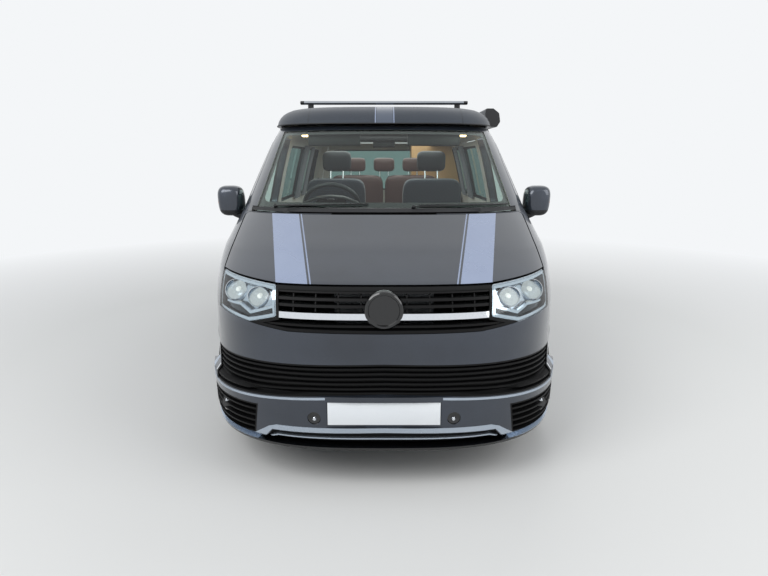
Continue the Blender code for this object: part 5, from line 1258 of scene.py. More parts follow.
@dataclass
class Envelope:
    """The vehicle's skins and the cutters that split them into panels."""

    body: Skin = field(default_factory=lambda: Skin(BODY_ROWS, creases=(COWL_CREASE,)))
    bumper: Skin = field(default_factory=lambda: Skin(BUMPER_ROWS, CAB_LENGTH, BUMPER_CREASES))
    rear_bumper: Skin = field(default_factory=lambda: Skin(REAR_BUMPER_ROWS, tail_datum=LENGTH))
    lid: Skin = field(default_factory=lambda: Skin(LID_ROWS, tail_datum=LID_REAR))
    bonnet_half_width: float = 0.832
    bonnet_rear_height: float = 1.236
    bonnet_back: float = 1.045

    def door_outline(self) -> Outline:
        """Front door's side view, its lower front corner following the wheel arch.

        Returns:
            The closed outline.
        """
        strip = ARCH_RADIUS + ARCH_STRIP
        start = math.asin((DOOR_FRONT - FRONT_AXLE) / strip)
        stop = math.acos((SILL_TOP + ARCH_STRIP - TYRE_RADIUS) / strip)
        arch = []
        for step in range(13):
            angle = start + (stop - start) * step / 12
            arch.append((FRONT_AXLE + strip * math.sin(angle), TYRE_RADIUS + strip * math.cos(angle)))
        return [*DOOR_UPPER, *arch, (arch[-1][0], SILL_TOP)]

    def slide_outline(self) -> Outline:
        """Sliding door's side view.

        Returns:
            The closed outline.
        """
        front = DOOR_REAR + PILLAR_WIDTH
        rear = front + SLIDING_DOOR_LENGTH
        top = RAIL - DOOR_CORNER
        return rounded([(front, SILL_TOP), (rear, SILL_TOP), (rear, top), (front, top)], DOOR_CORNER)

    def door_plug(self, outline: Outline, growth: float, side: Side) -> Solid:
        """Plug that follows the skin and narrows inwards, as a door does.

        Args:
            outline: Side view of the door.
            growth: Distance that the outline is moved out.
            side: Side of the vehicle.

        Returns:
            The cutter.
        """
        base = divided(outline, FOLLOW_STEP)
        outer, inner = grown(base, growth), grown(base, growth - DOOR_DRAFT)
        depth = WALL + PANEL_GAP
        rings = [
            [(HALF_WIDTH + FAR, *p) for p in outer],
            [(self.body.half_width(*p), *p) for p in outer],
            [(self.body.half_width(*o) - depth, *i) for o, i in zip(outer, inner)],
            [(HALF_WIDTH - 2 * FAR, *i) for i in inner],
        ]
        return Solid.loft([[(side.value * x, station_y(s), z) for x, s, z in ring] for ring in rings])

    def side_plug(self, outline: Outline, side: Side, inner: float = 0.3) -> Solid:
        """Straight plug through one side of the vehicle."""
        low, high = sorted((side.value * inner, side.value * (HALF_WIDTH + FAR)))
        return Solid.prism(divided(outline, FOLLOW_STEP), "X", low, high)

    def front_plug(self, outline: Outline, front: float = -FAR, back: float = 0.95) -> Solid:
        """Straight plug along the vehicle."""
        return Solid.prism(divided(outline, FOLLOW_STEP), "Y", front, back)

    def tail_plug(self, outline: Outline, front: float = 4.4) -> Solid:
        """An outline seen from behind, taken through the tail from a station on."""
        return self.front_plug(outline, front=front, back=6)

    def half(
        self, side: Side, front: float = -FAR, back: float = LENGTH + FAR, low: float = 0.0, high: float = 2.5,
        inner: float = 0.0,
    ) -> Solid:
        """Everything on one side of the vehicle between two stations and heights."""
        one, two = sorted((side.value * inner, side.value * (HALF_WIDTH + FAR)))
        return Solid.box((one, front, low), (two, back, high))

    def arches(self, axle: float, radius: float = ARCH_RADIUS, inner: float = 0.45) -> Solid:
        """Both wheel openings of an axle.

        Args:
            axle: Station of the axle.
            radius: Radius of the opening.
            inner: Distance from the middle line where it starts.

        Returns:
            The cutter for both sides.
        """
        rods = [
            Solid.rod(
                (side.value * inner, axle, TYRE_RADIUS), (side.value * (HALF_WIDTH + FAR), axle, TYRE_RADIUS),
                radius, 96,
            )
            for side in Side
        ]
        return rods[0].join(rods[1])

    def over(self, line: Outline, growth: float, top: float = 3.0) -> Outline:
        """Front-view outline of all that lies on one side of a half line, made whole."""
        left = [(x, z + growth) for x, z in line]
        return [(left[-1][0], top), *left[::-1], *[(-x, z) for x, z in left[1:]], (-left[-1][0], top)]

    def shell(self) -> Solid:
        """The body's wall, open below and under the lid, with its wheel arches.

        Returns:
            The shell.
        """
        shell = self.body.solid()
        shell.cut(self.body.solid(WALL, WALL), Solid.box((-2, -1, -1), (2, LENGTH + 1, SILL_BOTTOM)))
        shell.cut(self.arches(FRONT_AXLE), self.arches(REAR_AXLE))
        room = Skin(LID_ROWS, tail_datum=LID_REAR + LID_REAR_ROOM)
        return shell.cut(room.solid(-PANEL_GAP, -LID_LOW_CUT))

    def bonnet_room(self, growth: float, lift: float) -> Solid:
        """Space of the bonnet: over its low line, between its sides, ahead of the cowl's plan line.

        Args:
            growth: How far its sides and back move out.
            lift: How far its lower line moves up.

        Returns:
            The cutter.
        """
        back = self.bonnet_back + growth
        room = self.front_plug(self.over(BONNET_LOW_LINE, lift), back=back)
        half = self.bonnet_half_width + growth
        room.common(Solid.box((-half, -1, 0), (half, 2, 2)))
        ring = self.body.ring(self.bonnet_rear_height)
        line = Solid.loft([[(x, y + growth, z) for x, y, _ in ring] for z in (0.0, 3.0)])
        return room.cut(line)


@dataclass
class Nose:
    """Bonnet, wings, grille, headlamps and front bumper."""

    van: Envelope
    shell: Solid
    bumper_wall: float = 0.040
    intake_low: Outline = field(default_factory=lambda: metres([(0, 488), (300, 484), (859, 447)]))
    intake_high: Outline = field(default_factory=lambda: metres([(0, 625), (640, 612), (868, 603)]))
    pod_low: Outline = field(default_factory=lambda: metres([(616, 258), (913, 240)]))
    pod_high: Outline = field(default_factory=lambda: metres([(597, 414), (922, 400)]))
    lower_grille: Outline = field(default_factory=lambda: metres(
        [(0, 228), (520, 224), (575, 236), (526, 296), (0, 306)]
    ))
    chrome_low: float = 0.829
    chrome_high: float = 0.857
    chrome_span: Point2 = (0.070, 0.486)
    slat_heights: tuple[float, ...] = (0.947, 0.915, 0.886)
    rib_pitch: float = 0.105
    disc_height: float = 0.872
    disc_radius: float = 0.090
    bowls: tuple[Point3, ...] = ((0.600, 0.900, 0.050), (0.735, 0.905, 0.056))
    bowl_depth: float = 0.052
    round_lamp: Point2 = (0.323, 0.375)
    fog_lamp: Point2 = (0.795, 0.335)

    def build(self) -> None:
        """Makes every piece of the nose."""
        room = Solid.box((-2, -1, 0), (2, DOOR_FRONT - PANEL_GAP, COWL_LOW - PANEL_GAP))
        nose = self.shell.copy().common(room)
        self._bonnet(nose)
        for side in Side:
            self._wing(nose, side)
        nose.drop()
        self._grille()
        for side in Side:
            self._headlamp(side)
        self._bumper()
        self._bumper_trim()
        for side in Side:
            self._lamps(side)

    def _bonnet(self, nose: Solid) -> None:
        """Bonnet panel, its shut line even all round."""
        bonnet = nose.copy().common(self.van.bonnet_room(0.0, PANEL_GAP)).largest()
        dress(bonnet, "bonnet_panel", BODY_LACQUER, "bonnet", ("bonnet",), self.van.body, INNER_PAINT)

    def _wing(self, nose: Solid, side: Side) -> None:
        """Wing: what the bonnet, bumper, grille, lamp and hinge post leave of the nose on one side.

        Args:
            nose: The body's shell ahead of the doors.
            side: Side of the vehicle.
        """
        van, plug = self.van, self.van.front_plug
        wing = nose.copy().common(van.half(side, inner=0.3))
        wing.cut(
            plug(van.over(BUMPER_TOP_LINE, 0.0, 0.0), back=BUMPER_BACK + SEAM),
            plug(grown(sided(LAMP_OUTLINE, side), SEAM), back=LAMP_BACK),
            plug(grown(whole(GRILLE_OUTLINE), SEAM), back=GRILLE_BACK),
            van.bonnet_room(PANEL_GAP, SEAM),
        )
        post = van.body.solid(WALL / 3).common(
            van.half(side, front=DOOR_FRONT - POST_WIDTH, back=DOOR_FRONT + 0.2, inner=0.3)
        )
        name = f"wing_panel_{side.word}"
        nodes = (f"wing_{side.word}",)
        dress(wing.cut(post).largest(), name, BODY_LACQUER, "root", nodes, van.body, INNER_PAINT)

    def _insert(
        self, name: str, skin: Skin, low: Outline, high: Outline, slats: int, side: Side | None = None
    ) -> None:
        """Dark insert of an opening: its frame, back and slats that fan between two lines.

        Args:
            name: Piece name.
            skin: Surface that the opening is in.
            low: Lower line of the opening.
            high: Upper line of the opening, with as many points.
            slats: Number of slats.
            side: Side of the opening, or none where it runs across the middle.
        """
        def shaped(points: Outline) -> Outline:
            """The outline on its side, or made whole."""
            return whole(points) if side is None else sided(points, side)

        plug = self.van.front_plug
        bottom, top = min(z for _, z in low) - 0.02, max(z for _, z in high) + 0.02
        outline = shaped([*low, *high[::-1]])
        insert = skin.wall(0.001, 0.036, bottom, top).common(plug(grown(outline, 0.004)))
        insert.cut(skin.wall(-0.01, 0.028, bottom, top).common(plug(grown(outline, -0.008))))
        for number in range(1, slats + 1):
            share = number / (slats + 1)
            line = [tuple(a + (b - a) * share for a, b in zip(p, q)) for p, q in zip(low, high)]
            strip = [*[(x, z - 0.0042) for x, z in line], *[(x, z + 0.0042) for x, z in line[::-1]]]
            insert.join(skin.wall(0.004, 0.031, bottom, top).common(plug(shaped(strip))))
        dress(insert.largest(), name, MOULDED_BLACK, skin=skin, crease=25)

    def _grille(self) -> None:
        """Upper grille: frame and back, four slats, eight ribs, two bright strips and a blank disc."""
        skin = self.van.body
        plug = partial(self.van.front_plug, back=GRILLE_BACK)
        opening = grown(whole(GRILLE_OUTLINE), -0.014)
        frame = skin.wall(0.0, 0.040, *NOSE_BAND).common(plug(grown(whole(GRILLE_OUTLINE), -SEAM)))
        frame.cut(plug(opening)).join(skin.wall(0.045, 0.055, *NOSE_BAND).common(plug(grown(opening, 0.008))))
        dress(frame.largest(), "grille_frame", MOULDED_BLACK, "root", ("upper_grille",), skin)
        inside = plug(grown(opening, 0.004))
        slats = [
            (f"slat_{number}", 0.004, height - 0.006, height + 0.006)
            for number, height in enumerate(self.slat_heights, 1)
        ]
        for name, outer, low, high in (*slats, ("slat_low", 0.006, 0.793, 0.803)):
            slat = skin.wall(outer, 0.042, low, high).common(inside, keep=True)
            dress(slat, f"grille_{name}", MOULDED_BLACK, skin=skin)
        for number in (-4, -3, -2, -1, 1, 2, 3, 4):
            across = number * self.rib_pitch
            rib = skin.wall(0.012, 0.044, 0.86, 0.962)
            rib.common(Solid.box((across - 0.003, -1, 0), (across + 0.003, 1, 2))).common(inside, keep=True)
            word = "left" if number > 0 else "right"
            dress(rib, f"grille_rib_{word}_{abs(number)}", MOULDED_BLACK, skin=skin)
        inside.drop()
        for side in Side:
            one, two = span_of(side, *self.chrome_span)
            strip = skin.wall(-0.002, 0.024, self.chrome_low, self.chrome_high)
            dress(
                strip.common(Solid.box((one, -1, 0), (two, 1, 2))), f"grille_strip_{side.word}", CHROME, skin=skin
            )
        rim, front = self.disc_radius, skin.nose_station(0.0, self.disc_height) - 0.002
        disc = Solid.turned([
            (0.0, 0.006), (rim - 0.020, 0.006), (rim - 0.017, 0.012), (rim - 0.008, 0.014), (rim - 0.002, 0.010),
            (rim, 0.004), (rim, -0.030), (0.0, -0.030),
        ], 72, False)
        dress(disc.set_down((0, front, self.disc_height), FRONTWARD), "grille_disc", GLOSS_BLACK)

    def _headlamp(self, side: Side) -> None:
        """Housing, two bright bowls with bulbs, the light strip, the dark lower shelf and the clear lens.

        Args:
            side: Side of the vehicle.
        """
        skin, word = self.van.body, side.word
        plug = partial(self.van.front_plug, back=LAMP_BACK)
        outline = rounded(sided(LAMP_OUTLINE, side), 0.012, 4)
        housing = skin.wall(0.006, WALL, *LAMP_BAND).common(plug(grown(outline, -SEAM)))
        housing.cut(skin.wall(0.0, 0.046, *LAMP_BAND).common(plug(grown(outline, -0.006))))
        for number, (across, height, radius) in enumerate(self.bowls, 1):
            x, depth = side.value * across, self.bowl_depth
            mouth = skin.nose_station(across + radius * 0.72, height) + 0.010
            housing.cut(Solid.rod((x, -FAR, height), (x, mouth + 0.06, height), radius, 40))
            inner = [
                (radius * math.sin(a), -depth + depth * (1 - math.cos(a)))
                for a in np.linspace(0.12, math.pi / 2, 9)
            ]
            outer = [(r + 0.0025, d) for r, d in inner[::-1]]
            bowl = Solid.turned([*inner, *outer, (inner[0][0], inner[0][1] - 0.003)], 48)
            bulb = Solid.turned(
                [(0.0, -0.012), (0.009, -0.016), (0.012, -0.026), (0.010, -0.056), (0.0, -0.057)], 20, False
            )
            for name, made, finish in (("bowl", bowl, REFLECTOR), ("bulb", bulb, BULB)):
                made.set_down((x, mouth, height), FRONTWARD)
                dress(made, f"headlamp_{name}_{word}_{number}", finish)
        dress(housing.largest(), f"headlamp_housing_{word}", REFLECTOR, "root", (f"headlamp_{word}",), skin)
        shelf = metres([(498, 880), (560, 858), (640, 832), (700, 858), (800, 850), (850, 872), (850, 780), (498, 780)])
        zigzag = metres([(498, 884), (560, 862), (640, 836), (700, 862), (800, 854), (850, 876),
                         (850, 866), (800, 844), (700, 851), (640, 822), (560, 850), (498, 872)])
        for name, finish, walls, shape, inset in (
            ("shelf", GLOSS_BLACK, (0.020, 0.045), sided(shelf, side), 0.007),
            ("strip", CHROME, (0.016, 0.030), sided(zigzag, side), 0.0075),
            ("edge", CHROME, (0.0045, 0.012), outline, 0.0065),
            ("lens", CLEAR_LENS, (0.0, 0.004), outline, SEAM),
        ):
            part = skin.wall(*walls, *LAMP_BAND)
            if shape is not outline:
                part.common(plug(shape))
            part.common(plug(grown(outline, -inset)))
            if name == "edge":
                part.cut(plug(grown(outline, -0.017)))
            dress(part.largest(), f"headlamp_{name}_{word}", finish, skin=skin)

    def _bumper(self) -> None:
        """Bumper skin with its intake, lamp pods, round lamp pockets, lower grille and plate recess."""
        van, skin, plug = self.van, self.van.bumper, self.van.front_plug
        bumper = skin.solid().cut(skin.solid(self.bumper_wall, -FAR))
        bumper.common(plug(van.over(BUMPER_TOP_LINE, -SEAM, 0.0), back=BUMPER_BACK))
        bumper.cut(van.arches(FRONT_AXLE))
        bumper.cut(plug(grown(whole([*self.intake_low, *self.intake_high[::-1]]), 0.0), back=BUMPER_BACK))
        x, z = self.round_lamp
        pocket = skin.nose_station(x, z) + 0.022
        for side in Side:
            bumper.cut(plug(sided([*self.pod_low, *self.pod_high[::-1]], side), back=BUMPER_BACK))
            bumper.cut(Solid.rod((side.value * x, -FAR, z), (side.value * x, pocket, z), 0.031, 40))
        bumper.cut(skin.wall(-0.01, 0.026, *LOWER_BAND).common(plug(whole(self.lower_grille))))
        bumper.cut(Solid.box((-0.264, -0.05, 0.330), (0.264, 0.014, 0.457)))
        dress(bumper.largest(), "front_bumper_skin", BODY_LACQUER, "root", ("front_bumper",), skin, SATIN_BLACK)
        self._insert("intake_grille", skin, self.intake_low, self.intake_high, 5)
        for side in Side:
            self._insert(f"fog_pod_{side.word}", skin, self.pod_low, self.pod_high, 4, side)

    def _bumper_trim(self) -> None:
        """Silver strips low on the bumper, silver and chrome strips that paint highlights on the flares' top edges and
        the intake's ends, lower grille, splitter lip and the blank plate.
        """
        skin, plug = self.van.bumper, self.van.front_plug
        # Silver strip along each flare's top crease and up its tip: a painted highlight where the crease catches light
        painted_flare_highlight = metres([(270, 479), (300, 478), (500, 466), (858, 442), (893, 484), (906, 494), (930, 450),
                        (930, 424), (858, 430), (500, 455), (270, 468)])
        # Chrome strip at each end of the intake: a painted highlight on its upright edge
        painted_intake_highlight = metres([(862, 452), (867, 452), (872, 600), (867, 600)])
        lower = metres([(0, 331), (505, 325), (545, 312), (632, 252), (902, 244), (902, 216), (610, 222),
                        (580, 238), (529, 298), (0, 308)])
        line = metres([(0, 279), (500, 276), (540, 262), (540, 256), (498, 270), (0, 273)])
        rows = [
            ("lower_strip", SATIN_SILVER, whole(lower), (-0.001, 0.006, 0.206, 0.341)),
            ("lower_grille_back", MOULDED_BLACK, whole(self.lower_grille), (0.020, 0.030, *LOWER_BAND)),
            ("lower_grille_line", SATIN_SILVER, whole(line), (0.002, 0.024, 0.24, 0.30)),
        ]
        for side in Side:
            # The flare and intake strips are painted highlights on edges, not trim
            rows += [
                (f"flare_edge_{side.word}", SATIN_SILVER, sided(painted_flare_highlight, side), (-0.0015, 0.006, 0.414, 0.504)),
                (f"intake_edge_{side.word}", CHROME, sided(painted_intake_highlight, side), (-0.0008, 0.006, 0.43, 0.62)),
            ]
        for name, finish, outline, wall in rows:
            dress(skin.wall(*wall).common(plug(outline)), name, finish, skin=skin)
        lip = skin.wall(-0.0005, 0.050, 0.2089, 0.2285)
        lip.common(Solid.box((-2, -1, 0), (2, BUMPER_BACK - 0.002, 1))).cut(self.van.arches(FRONT_AXLE))
        dress(lip, "splitter_lip", GLOSS_BLACK, skin=skin)
        dress(Solid.box((-0.260, 0.0095, 0.344), (0.260, 0.0138, 0.455), 0.0015, 2), "front_plate", WHITE_PLATE)

    def _lamps(self, side: Side) -> None:
        """Round lamp and fog lamp of one side of the bumper, each a dark case with a bright glass.

        Args:
            side: Side of the vehicle.
        """
        lean = Matrix.Rotation(-math.pi / 2 + side.value * 0.45, 4, "Z")
        case = [(0.0, -0.006), (0.016, -0.004), (0.024, 0.0), (0.0295, 0.002), (0.0305, -0.004), (0.0305, -0.020),
                (0.0, -0.020)]
        glow = [(0.0, 0.001), (0.007, 0.0), (0.011, -0.004), (0.011, -0.008), (0.0, -0.008)]
        fog = [(0.0, 0.006), (0.030, 0.002), (0.037, -0.006), (0.041, -0.002), (0.041, -0.030), (0.0, -0.030)]
        tip = [(0.0, 0.010), (0.007, 0.009), (0.011, 0.004), (0.011, 0.0), (0.0, 0.0)]
        for name, (x, z), sunk, turn, profiles, raised in (
            ("round_lamp", self.round_lamp, 0.012, FRONTWARD, (case, glow), -0.010),
            ("fog_lamp", self.fog_lamp, 0.026, lean, (fog, tip), 0.014),
        ):
            front = self.van.bumper.nose_station(x, z) + sunk
            body = Solid.turned(profiles[0], 40, False).set_down((side.value * x, front, z), turn)
            glass = Solid.turned(profiles[1], 28, False).set_down((side.value * x, front, z + raised), turn)
            dress(body, f"{name}_{side.word}", GLOSS_BLACK)
            dress(glass, f"{name}_bulb_{side.word}", REFLECTOR)


@dataclass
class Flank:
    """One side of the body with its doors and glass."""

    van: Envelope
    shell: Solid
    glass: Solid
    side: Side
    rail_heights: Point2 = (1.035, 1.060)
    rail_stations: Point2 = (3.422, 4.502)

    def build(self) -> None:
        """Makes the side frame, the doors and their panes."""
        van, side, word, skin = self.van, self.side, self.side.word, self.van.body
        door, slide = van.door_outline(), van.slide_outline()
        door_window, slide_window, quarter = (
            rounded(outline, WINDOW_CORNER) for outline in (DOOR_WINDOW, SLIDING_WINDOW, QUARTER_WINDOW)
        )
        frame = self.shell.copy().common(van.half(side, front=0.9, inner=0.30))
        frame.cut(
            self._wing_room(),
            van.front_plug(whole(SCREEN_OUTLINE), back=2.0),
            Solid.box((-0.6603, 1.3, 1.7), (0.6603, 5.1, 1.9)),
            Solid.box((-0.80, 0, 1.0), (0.80, 1.2, 1.2695)),
            van.tail_plug(grown(whole(TAILGATE_OUTLINE), PANEL_GAP)),
            van.tail_plug(grown(sided(TAIL_LAMP_OUTLINE, side), SEAM), TAIL_LAMP_FRONT),
            Solid.box((-0.6555, 4.5, 0.1), (0.6555, 5.1, 0.6)),
            van.door_plug(door, PANEL_GAP, side),
            van.side_plug(quarter, side),
        )
        if side is Side.LEFT:
            front, back = self.rail_stations
            groove = van.body.wall(-0.01, 0.012, *self.rail_heights)
            frame.cut(van.door_plug(slide, 0.004, side), groove.common(van.half(side, front=front, back=back)))
        else:
            frame.cut(van.side_plug(slide_window, side))
        dress(frame.largest(), f"side_panel_{word}", BODY_LACQUER, "root", (f"side_{word}",), skin, LINING)
        leaf = self.shell.copy().common(van.door_plug(door, 0.0, side)).cut(van.side_plug(door_window, side))
        body, nodes = f"door_{word}", (f"front_door_{word}",)
        dress(leaf.largest(), f"door_panel_{word}", BODY_LACQUER, body, nodes, skin, GRAINED_BLACK)
        self._pane(door_window, f"door_pane_{word}", DOOR_GLASS, f"door_{word}", f"door_glass_{word}")
        self._pane(quarter, f"quarter_pane_{word}", DARK_GLASS, "root", f"quarter_glass_{word}")
        if side is Side.LEFT:
            sliding = self.shell.copy().common(van.door_plug(slide, 0.0, side))
            sliding.cut(van.side_plug(slide_window, side)).largest()
            dress(sliding, "sliding_door_panel", BODY_LACQUER, "root", ("sliding_door",), skin, LINING)
            self._pane(slide_window, "sliding_door_pane", DARK_GLASS, "root", "sliding_door_glass")
        else:
            self._pane(slide_window, "middle_pane_right", DARK_GLASS, "root", "middle_glass_right")

    def _wing_room(self) -> Solid:
        """What the wing takes of the side: all ahead of the hinge post, and the post's outer third.

        Returns:
            The cutter.
        """
        high = COWL_LOW - PANEL_GAP + SEAM
        post = DOOR_FRONT - POST_WIDTH
        room = self.van.half(self.side, back=post + SEAM, high=high)
        strip = self.van.half(self.side, front=post - 2 * SEAM, back=DOOR_FRONT - PANEL_GAP + SEAM, high=high)
        return room.join(strip.cut(self.van.body.solid(WALL / 3 + SEAM, -FAR)))

    def _pane(self, outline: Outline, name: str, glass: Pane, body: str, node: str) -> None:
        """Pane of glass in a window, a fit's gap inside its edge."""
        pane = self.glass.copy().common(self.van.side_plug(grown(outline, -FIT), self.side))
        dress(pane.largest(), name, glass, body, (node,), self.van.body)


@dataclass
class Top:
    """Roof frame, windscreen, elevating lid and tailgate."""

    van: Envelope
    shell: Solid
    glass: Solid

    def build(self) -> None:
        """Makes the fixed roof, screen, lid and tailgate."""
        van, skin = self.van, self.van.body
        frame = self.shell.copy().common(Solid.box((-0.66, 1.3, 1.7), (0.66, 5.1, 1.9)))
        frame.cut(
            van.front_plug(whole(SCREEN_OUTLINE), back=1.75),
            van.tail_plug(grown(whole(TAILGATE_OUTLINE), PANEL_GAP)),
            Solid.box((-0.58, 1.8, 1.6), (0.58, 4.29, 1.9)),
        )
        dress(frame.largest(), "roof_frame_panel", BODY_LACQUER, "root", ("roof_frame",), skin, LINING)
        screen = self.glass.copy().common(van.front_plug(grown(whole(SCREEN_OUTLINE), -FIT), back=1.85))
        dress(screen.largest(), "windscreen_pane", SCREEN_GLASS, "root", ("windscreen",), skin)
        gate = self.shell.copy().common(van.tail_plug(whole(TAILGATE_OUTLINE), 4.5))
        window = rounded(whole(TAIL_SCREEN_OUTLINE), WINDOW_CORNER)
        gate.cut(van.tail_plug(window, 4.3), Solid.box((-0.264, 4.858, 0.800), (0.264, 5.0, 0.927)))
        dress(gate.largest(), "tailgate_panel", BODY_LACQUER, "tailgate", ("tailgate",), skin, LINING)
        pane = self.glass.copy().common(van.tail_plug(grown(window, -FIT), 4.3))
        dress(pane.largest(), "tailgate_pane", DARK_GLASS, "tailgate", ("tailgate_glass",), skin)
        lid, foot = van.lid.solid(), van.lid.knots
        lid.cut(van.lid.solid(LID_WALL, LID_WALL), van.lid.solid(LID_WALL, 0.0, foot[0] - 0.1, foot[1] + LID_WALL))
        dress(lid.largest(), "lid_shell", ROOF_LACQUER, "lid", ("pop_roof",), van.lid, LINING)


@dataclass
class Fittings:
    """Trim and small parts on the body: stripes, mirrors, handles, lamps, wipers, plates and roof gear."""

    van: Envelope
    film: Solid = field(init=False)
    seal: Solid = field(init=False)
    mirror_place: Point3 = (1.012, 1.345, 1.277)
    mirror_lean: float = 0.06
    handle_height: float = 1.019
    handle_half: float = 0.085
    moulding_low: float = 0.640
    moulding_high: float = 0.695
    bar_top: float = 1.991
    bar_half: float = 0.654
    bar_half_depth: float = 0.036
    bar_rise: float = 0.013
    awning_inner: float = 0.790
    awning_low: float = 1.790
    awning_depth: float = 0.115
    awning_height: float = 0.140
    awning_ends: Point2 = (2.220, 4.400)

    def build(self) -> None:
        """Makes every fitting."""
        self.film = self.van.body.wall(-0.0006, 0.0008)
        self.seal = self.van.body.wall(-0.0008, 0.012)
        self._stripes()
        self._lid_panel()
        self._wipers()
        self._screen_frit()
        for side in Side:
            self._mirror(side)
            self._door_trim(side)
            self._tail_lamp(side)
        self._slide_trim()
        self._rear_bumper()
        self._tailgate_trim()
        for word, station in (("front", 2.300), ("rear", 3.550)):
            self._bar(word, station)
        self._awning()
        self._fuel_flap()
        self.film.drop()
        self.seal.drop()

    def _stripes(self) -> None:
        """Silver stripes of film on the bonnet, each with a pinstripe inboard, ending short of its edges."""
        film = self.film.copy().shifted(along=-0.0008, up=0.0014)
        film.common(self.van.bonnet_room(-0.0005, PANEL_GAP + 0.0005))
        # Outer and inner edge at the back, then inner and outer edge at the front
        bands = (("stripe", (0.532, 0.686), (0.491, 0.343)), ("pinstripe", (0.515, 0.522), (0.333, 0.326)))
        for side in Side:
            for name, back, front in bands:
                outline = [(side.value * x, 1.10) for x in back] + [(side.value * x, 0.10) for x in front]
                band = film.copy().common(Solid.prism(divided(outline, 0.1), "Z", 0.8, 1.5)).largest()
                dress(band, f"bonnet_{name}_{side.word}", STRIPE_FILM, "bonnet", skin=self.van.body)
        film.drop()

    def _lid_panel(self) -> None:
        """Graphite panel and two pinstripes on the lid, and the seams beside its middle."""
        skin = self.van.lid
        foot, top = float(skin.knots[0]), float(skin.knots[-1])
        film = skin.solid(-0.0005, -0.0005).cut(skin.solid(0.0008, 0.0, foot - FAR, top - 0.0008))
        film.common(Solid.box((-1, 1.3, 1.778), (1, 3.4, 1.99)))
        for name, finish, low, high in (
            ("panel", DARK_FILM, -0.050, 0.058),
            ("pinstripe_right", STRIPE_FILM, -0.060, -0.054),
            ("pinstripe_left", STRIPE_FILM, 0.062, 0.068),
            ("seam_right", SATIN_BLACK, -0.508, -0.505),
            ("seam_left", SATIN_BLACK, 0.525, 0.528),
        ):
            band = film.copy().common(Solid.box((low, 1, 1), (high, 3.6, 2))).largest()
            dress(band, f"lid_{name}", finish, "lid", skin=skin)
        film.drop()
        dress(skin.wall(-0.004, 0.012, foot + 0.0005, foot + 0.0065), "lid_seal", RUBBER, "lid", skin=skin)

    def _on_screen(self, across: float, height: float, off: float) -> Point3:
        """A place ahead of the windscreen's skin, as (x, station, z)."""
        return across, self.van.body.nose_station(across, height) - off, height

    def _wipers(self) -> None:
        """Two wiper arms on their spindles, with blades that lie along the foot of the screen."""
        for name, root, start, end in (
            ("wiper_right", (-0.640, 1.2745), (-0.600, 1.281), (-0.090, 1.291)),
            ("wiper_left", (0.170, 1.2745), (0.205, 1.285), (0.745, 1.283)),
        ):
            blade = []
            for step in range(15):
                x, z = (a + (b - a) * step / 14 for a, b in zip(start, end))
                blade.append(self._on_screen(x, z, 0.0045))
            spine = [(x, s - 0.003, z + 0.002) for x, s, z in blade]
            wiper = Solid.sweep(blade, 0.0035, 0.0045, 8, 4.0)
            wiper.join(Solid.sweep(spine[1:-1], 0.0022, 0.0035, 8))
            x, s, z = blade[7]
            pivot = self._on_screen(*root, -0.002)
            lead = (pivot[0], pivot[1] - 0.010, pivot[2] + 0.004)
            elbow = (lead[0] + (x - lead[0]) * 0.5, (lead[1] + s) / 2 - 0.004, (lead[2] + z) / 2 - 0.001)
            arm = Solid.sweep([lead, elbow, (x, s - 0.005, z + 0.001)], 0.007, 0.004, 12, 3.0)
            foot = (pivot[0], pivot[1] + 0.004, pivot[2] - 0.010)
            boss = Solid.rod(foot, (lead[0], lead[1] - 0.003, lead[2] + 0.003), 0.013, 24, 0.009)
            dress(wiper.join(arm, boss), name, SATIN_BLACK, crease=40)

    def _screen_frit(self) -> None:
        """Black enamel band round the windscreen, as a film on its inner face."""
        skin, plug = self.van.body, self.van.front_plug
        outline = whole(SCREEN_OUTLINE)
        inner = GLASS_DEPTH + GLASS_THICKNESS
        band = skin.solid(inner + 0.0003, 0.0, 1.24, 1.76).cut(skin.solid(inner + 0.0013, 0.0, 1.20, 1.80))
        band.common(plug(grown(outline, -0.001), back=1.85))
        band.cut(plug(rounded(grown(outline, -0.028), 0.03), back=1.9))
        dress(band.largest(), "windscreen_frit", GLOSS_BLACK, skin=skin)

    def _mirror(self, side: Side) -> None:
        """Door mirror: painted cap, dark body and foot, mirror glass and turn lamp.

        Args:
            side: Side of the vehicle.
        """
        body, word, turn = f"door_{side.word}", side.word, side.value
        centre, front, height = self.mirror_place
        # Depth behind the mirror's front, half width and half height
        sections = (
            (0.000, 0.045, 0.060), (0.006, 0.060, 0.076), (0.020, 0.074, 0.089), (0.045, 0.083, 0.097),
            (0.080, 0.086, 0.0995), (0.104, 0.085, 0.098), (0.1085, 0.082, 0.095), (0.1098, 0.078, 0.091),
        )

        def shell(start: float, stop: float, shrink: float) -> Solid:
            """The mirror's form between two depths, made smaller all round.

            Args:
                start: Least depth.
                stop: Greatest depth.
                shrink: Distance taken off all round.

            Returns:
                The closed solid.
            """
            return Solid.loft([
                [
                    (turn * (centre + x + self.mirror_lean * z), station_y(front + depth), height + z)
                    for x, z in oval(half - shrink, tall - shrink, 48, 2 / 0.6)
                ]
                for depth, half, tall in sections if start <= depth <= stop
            ])

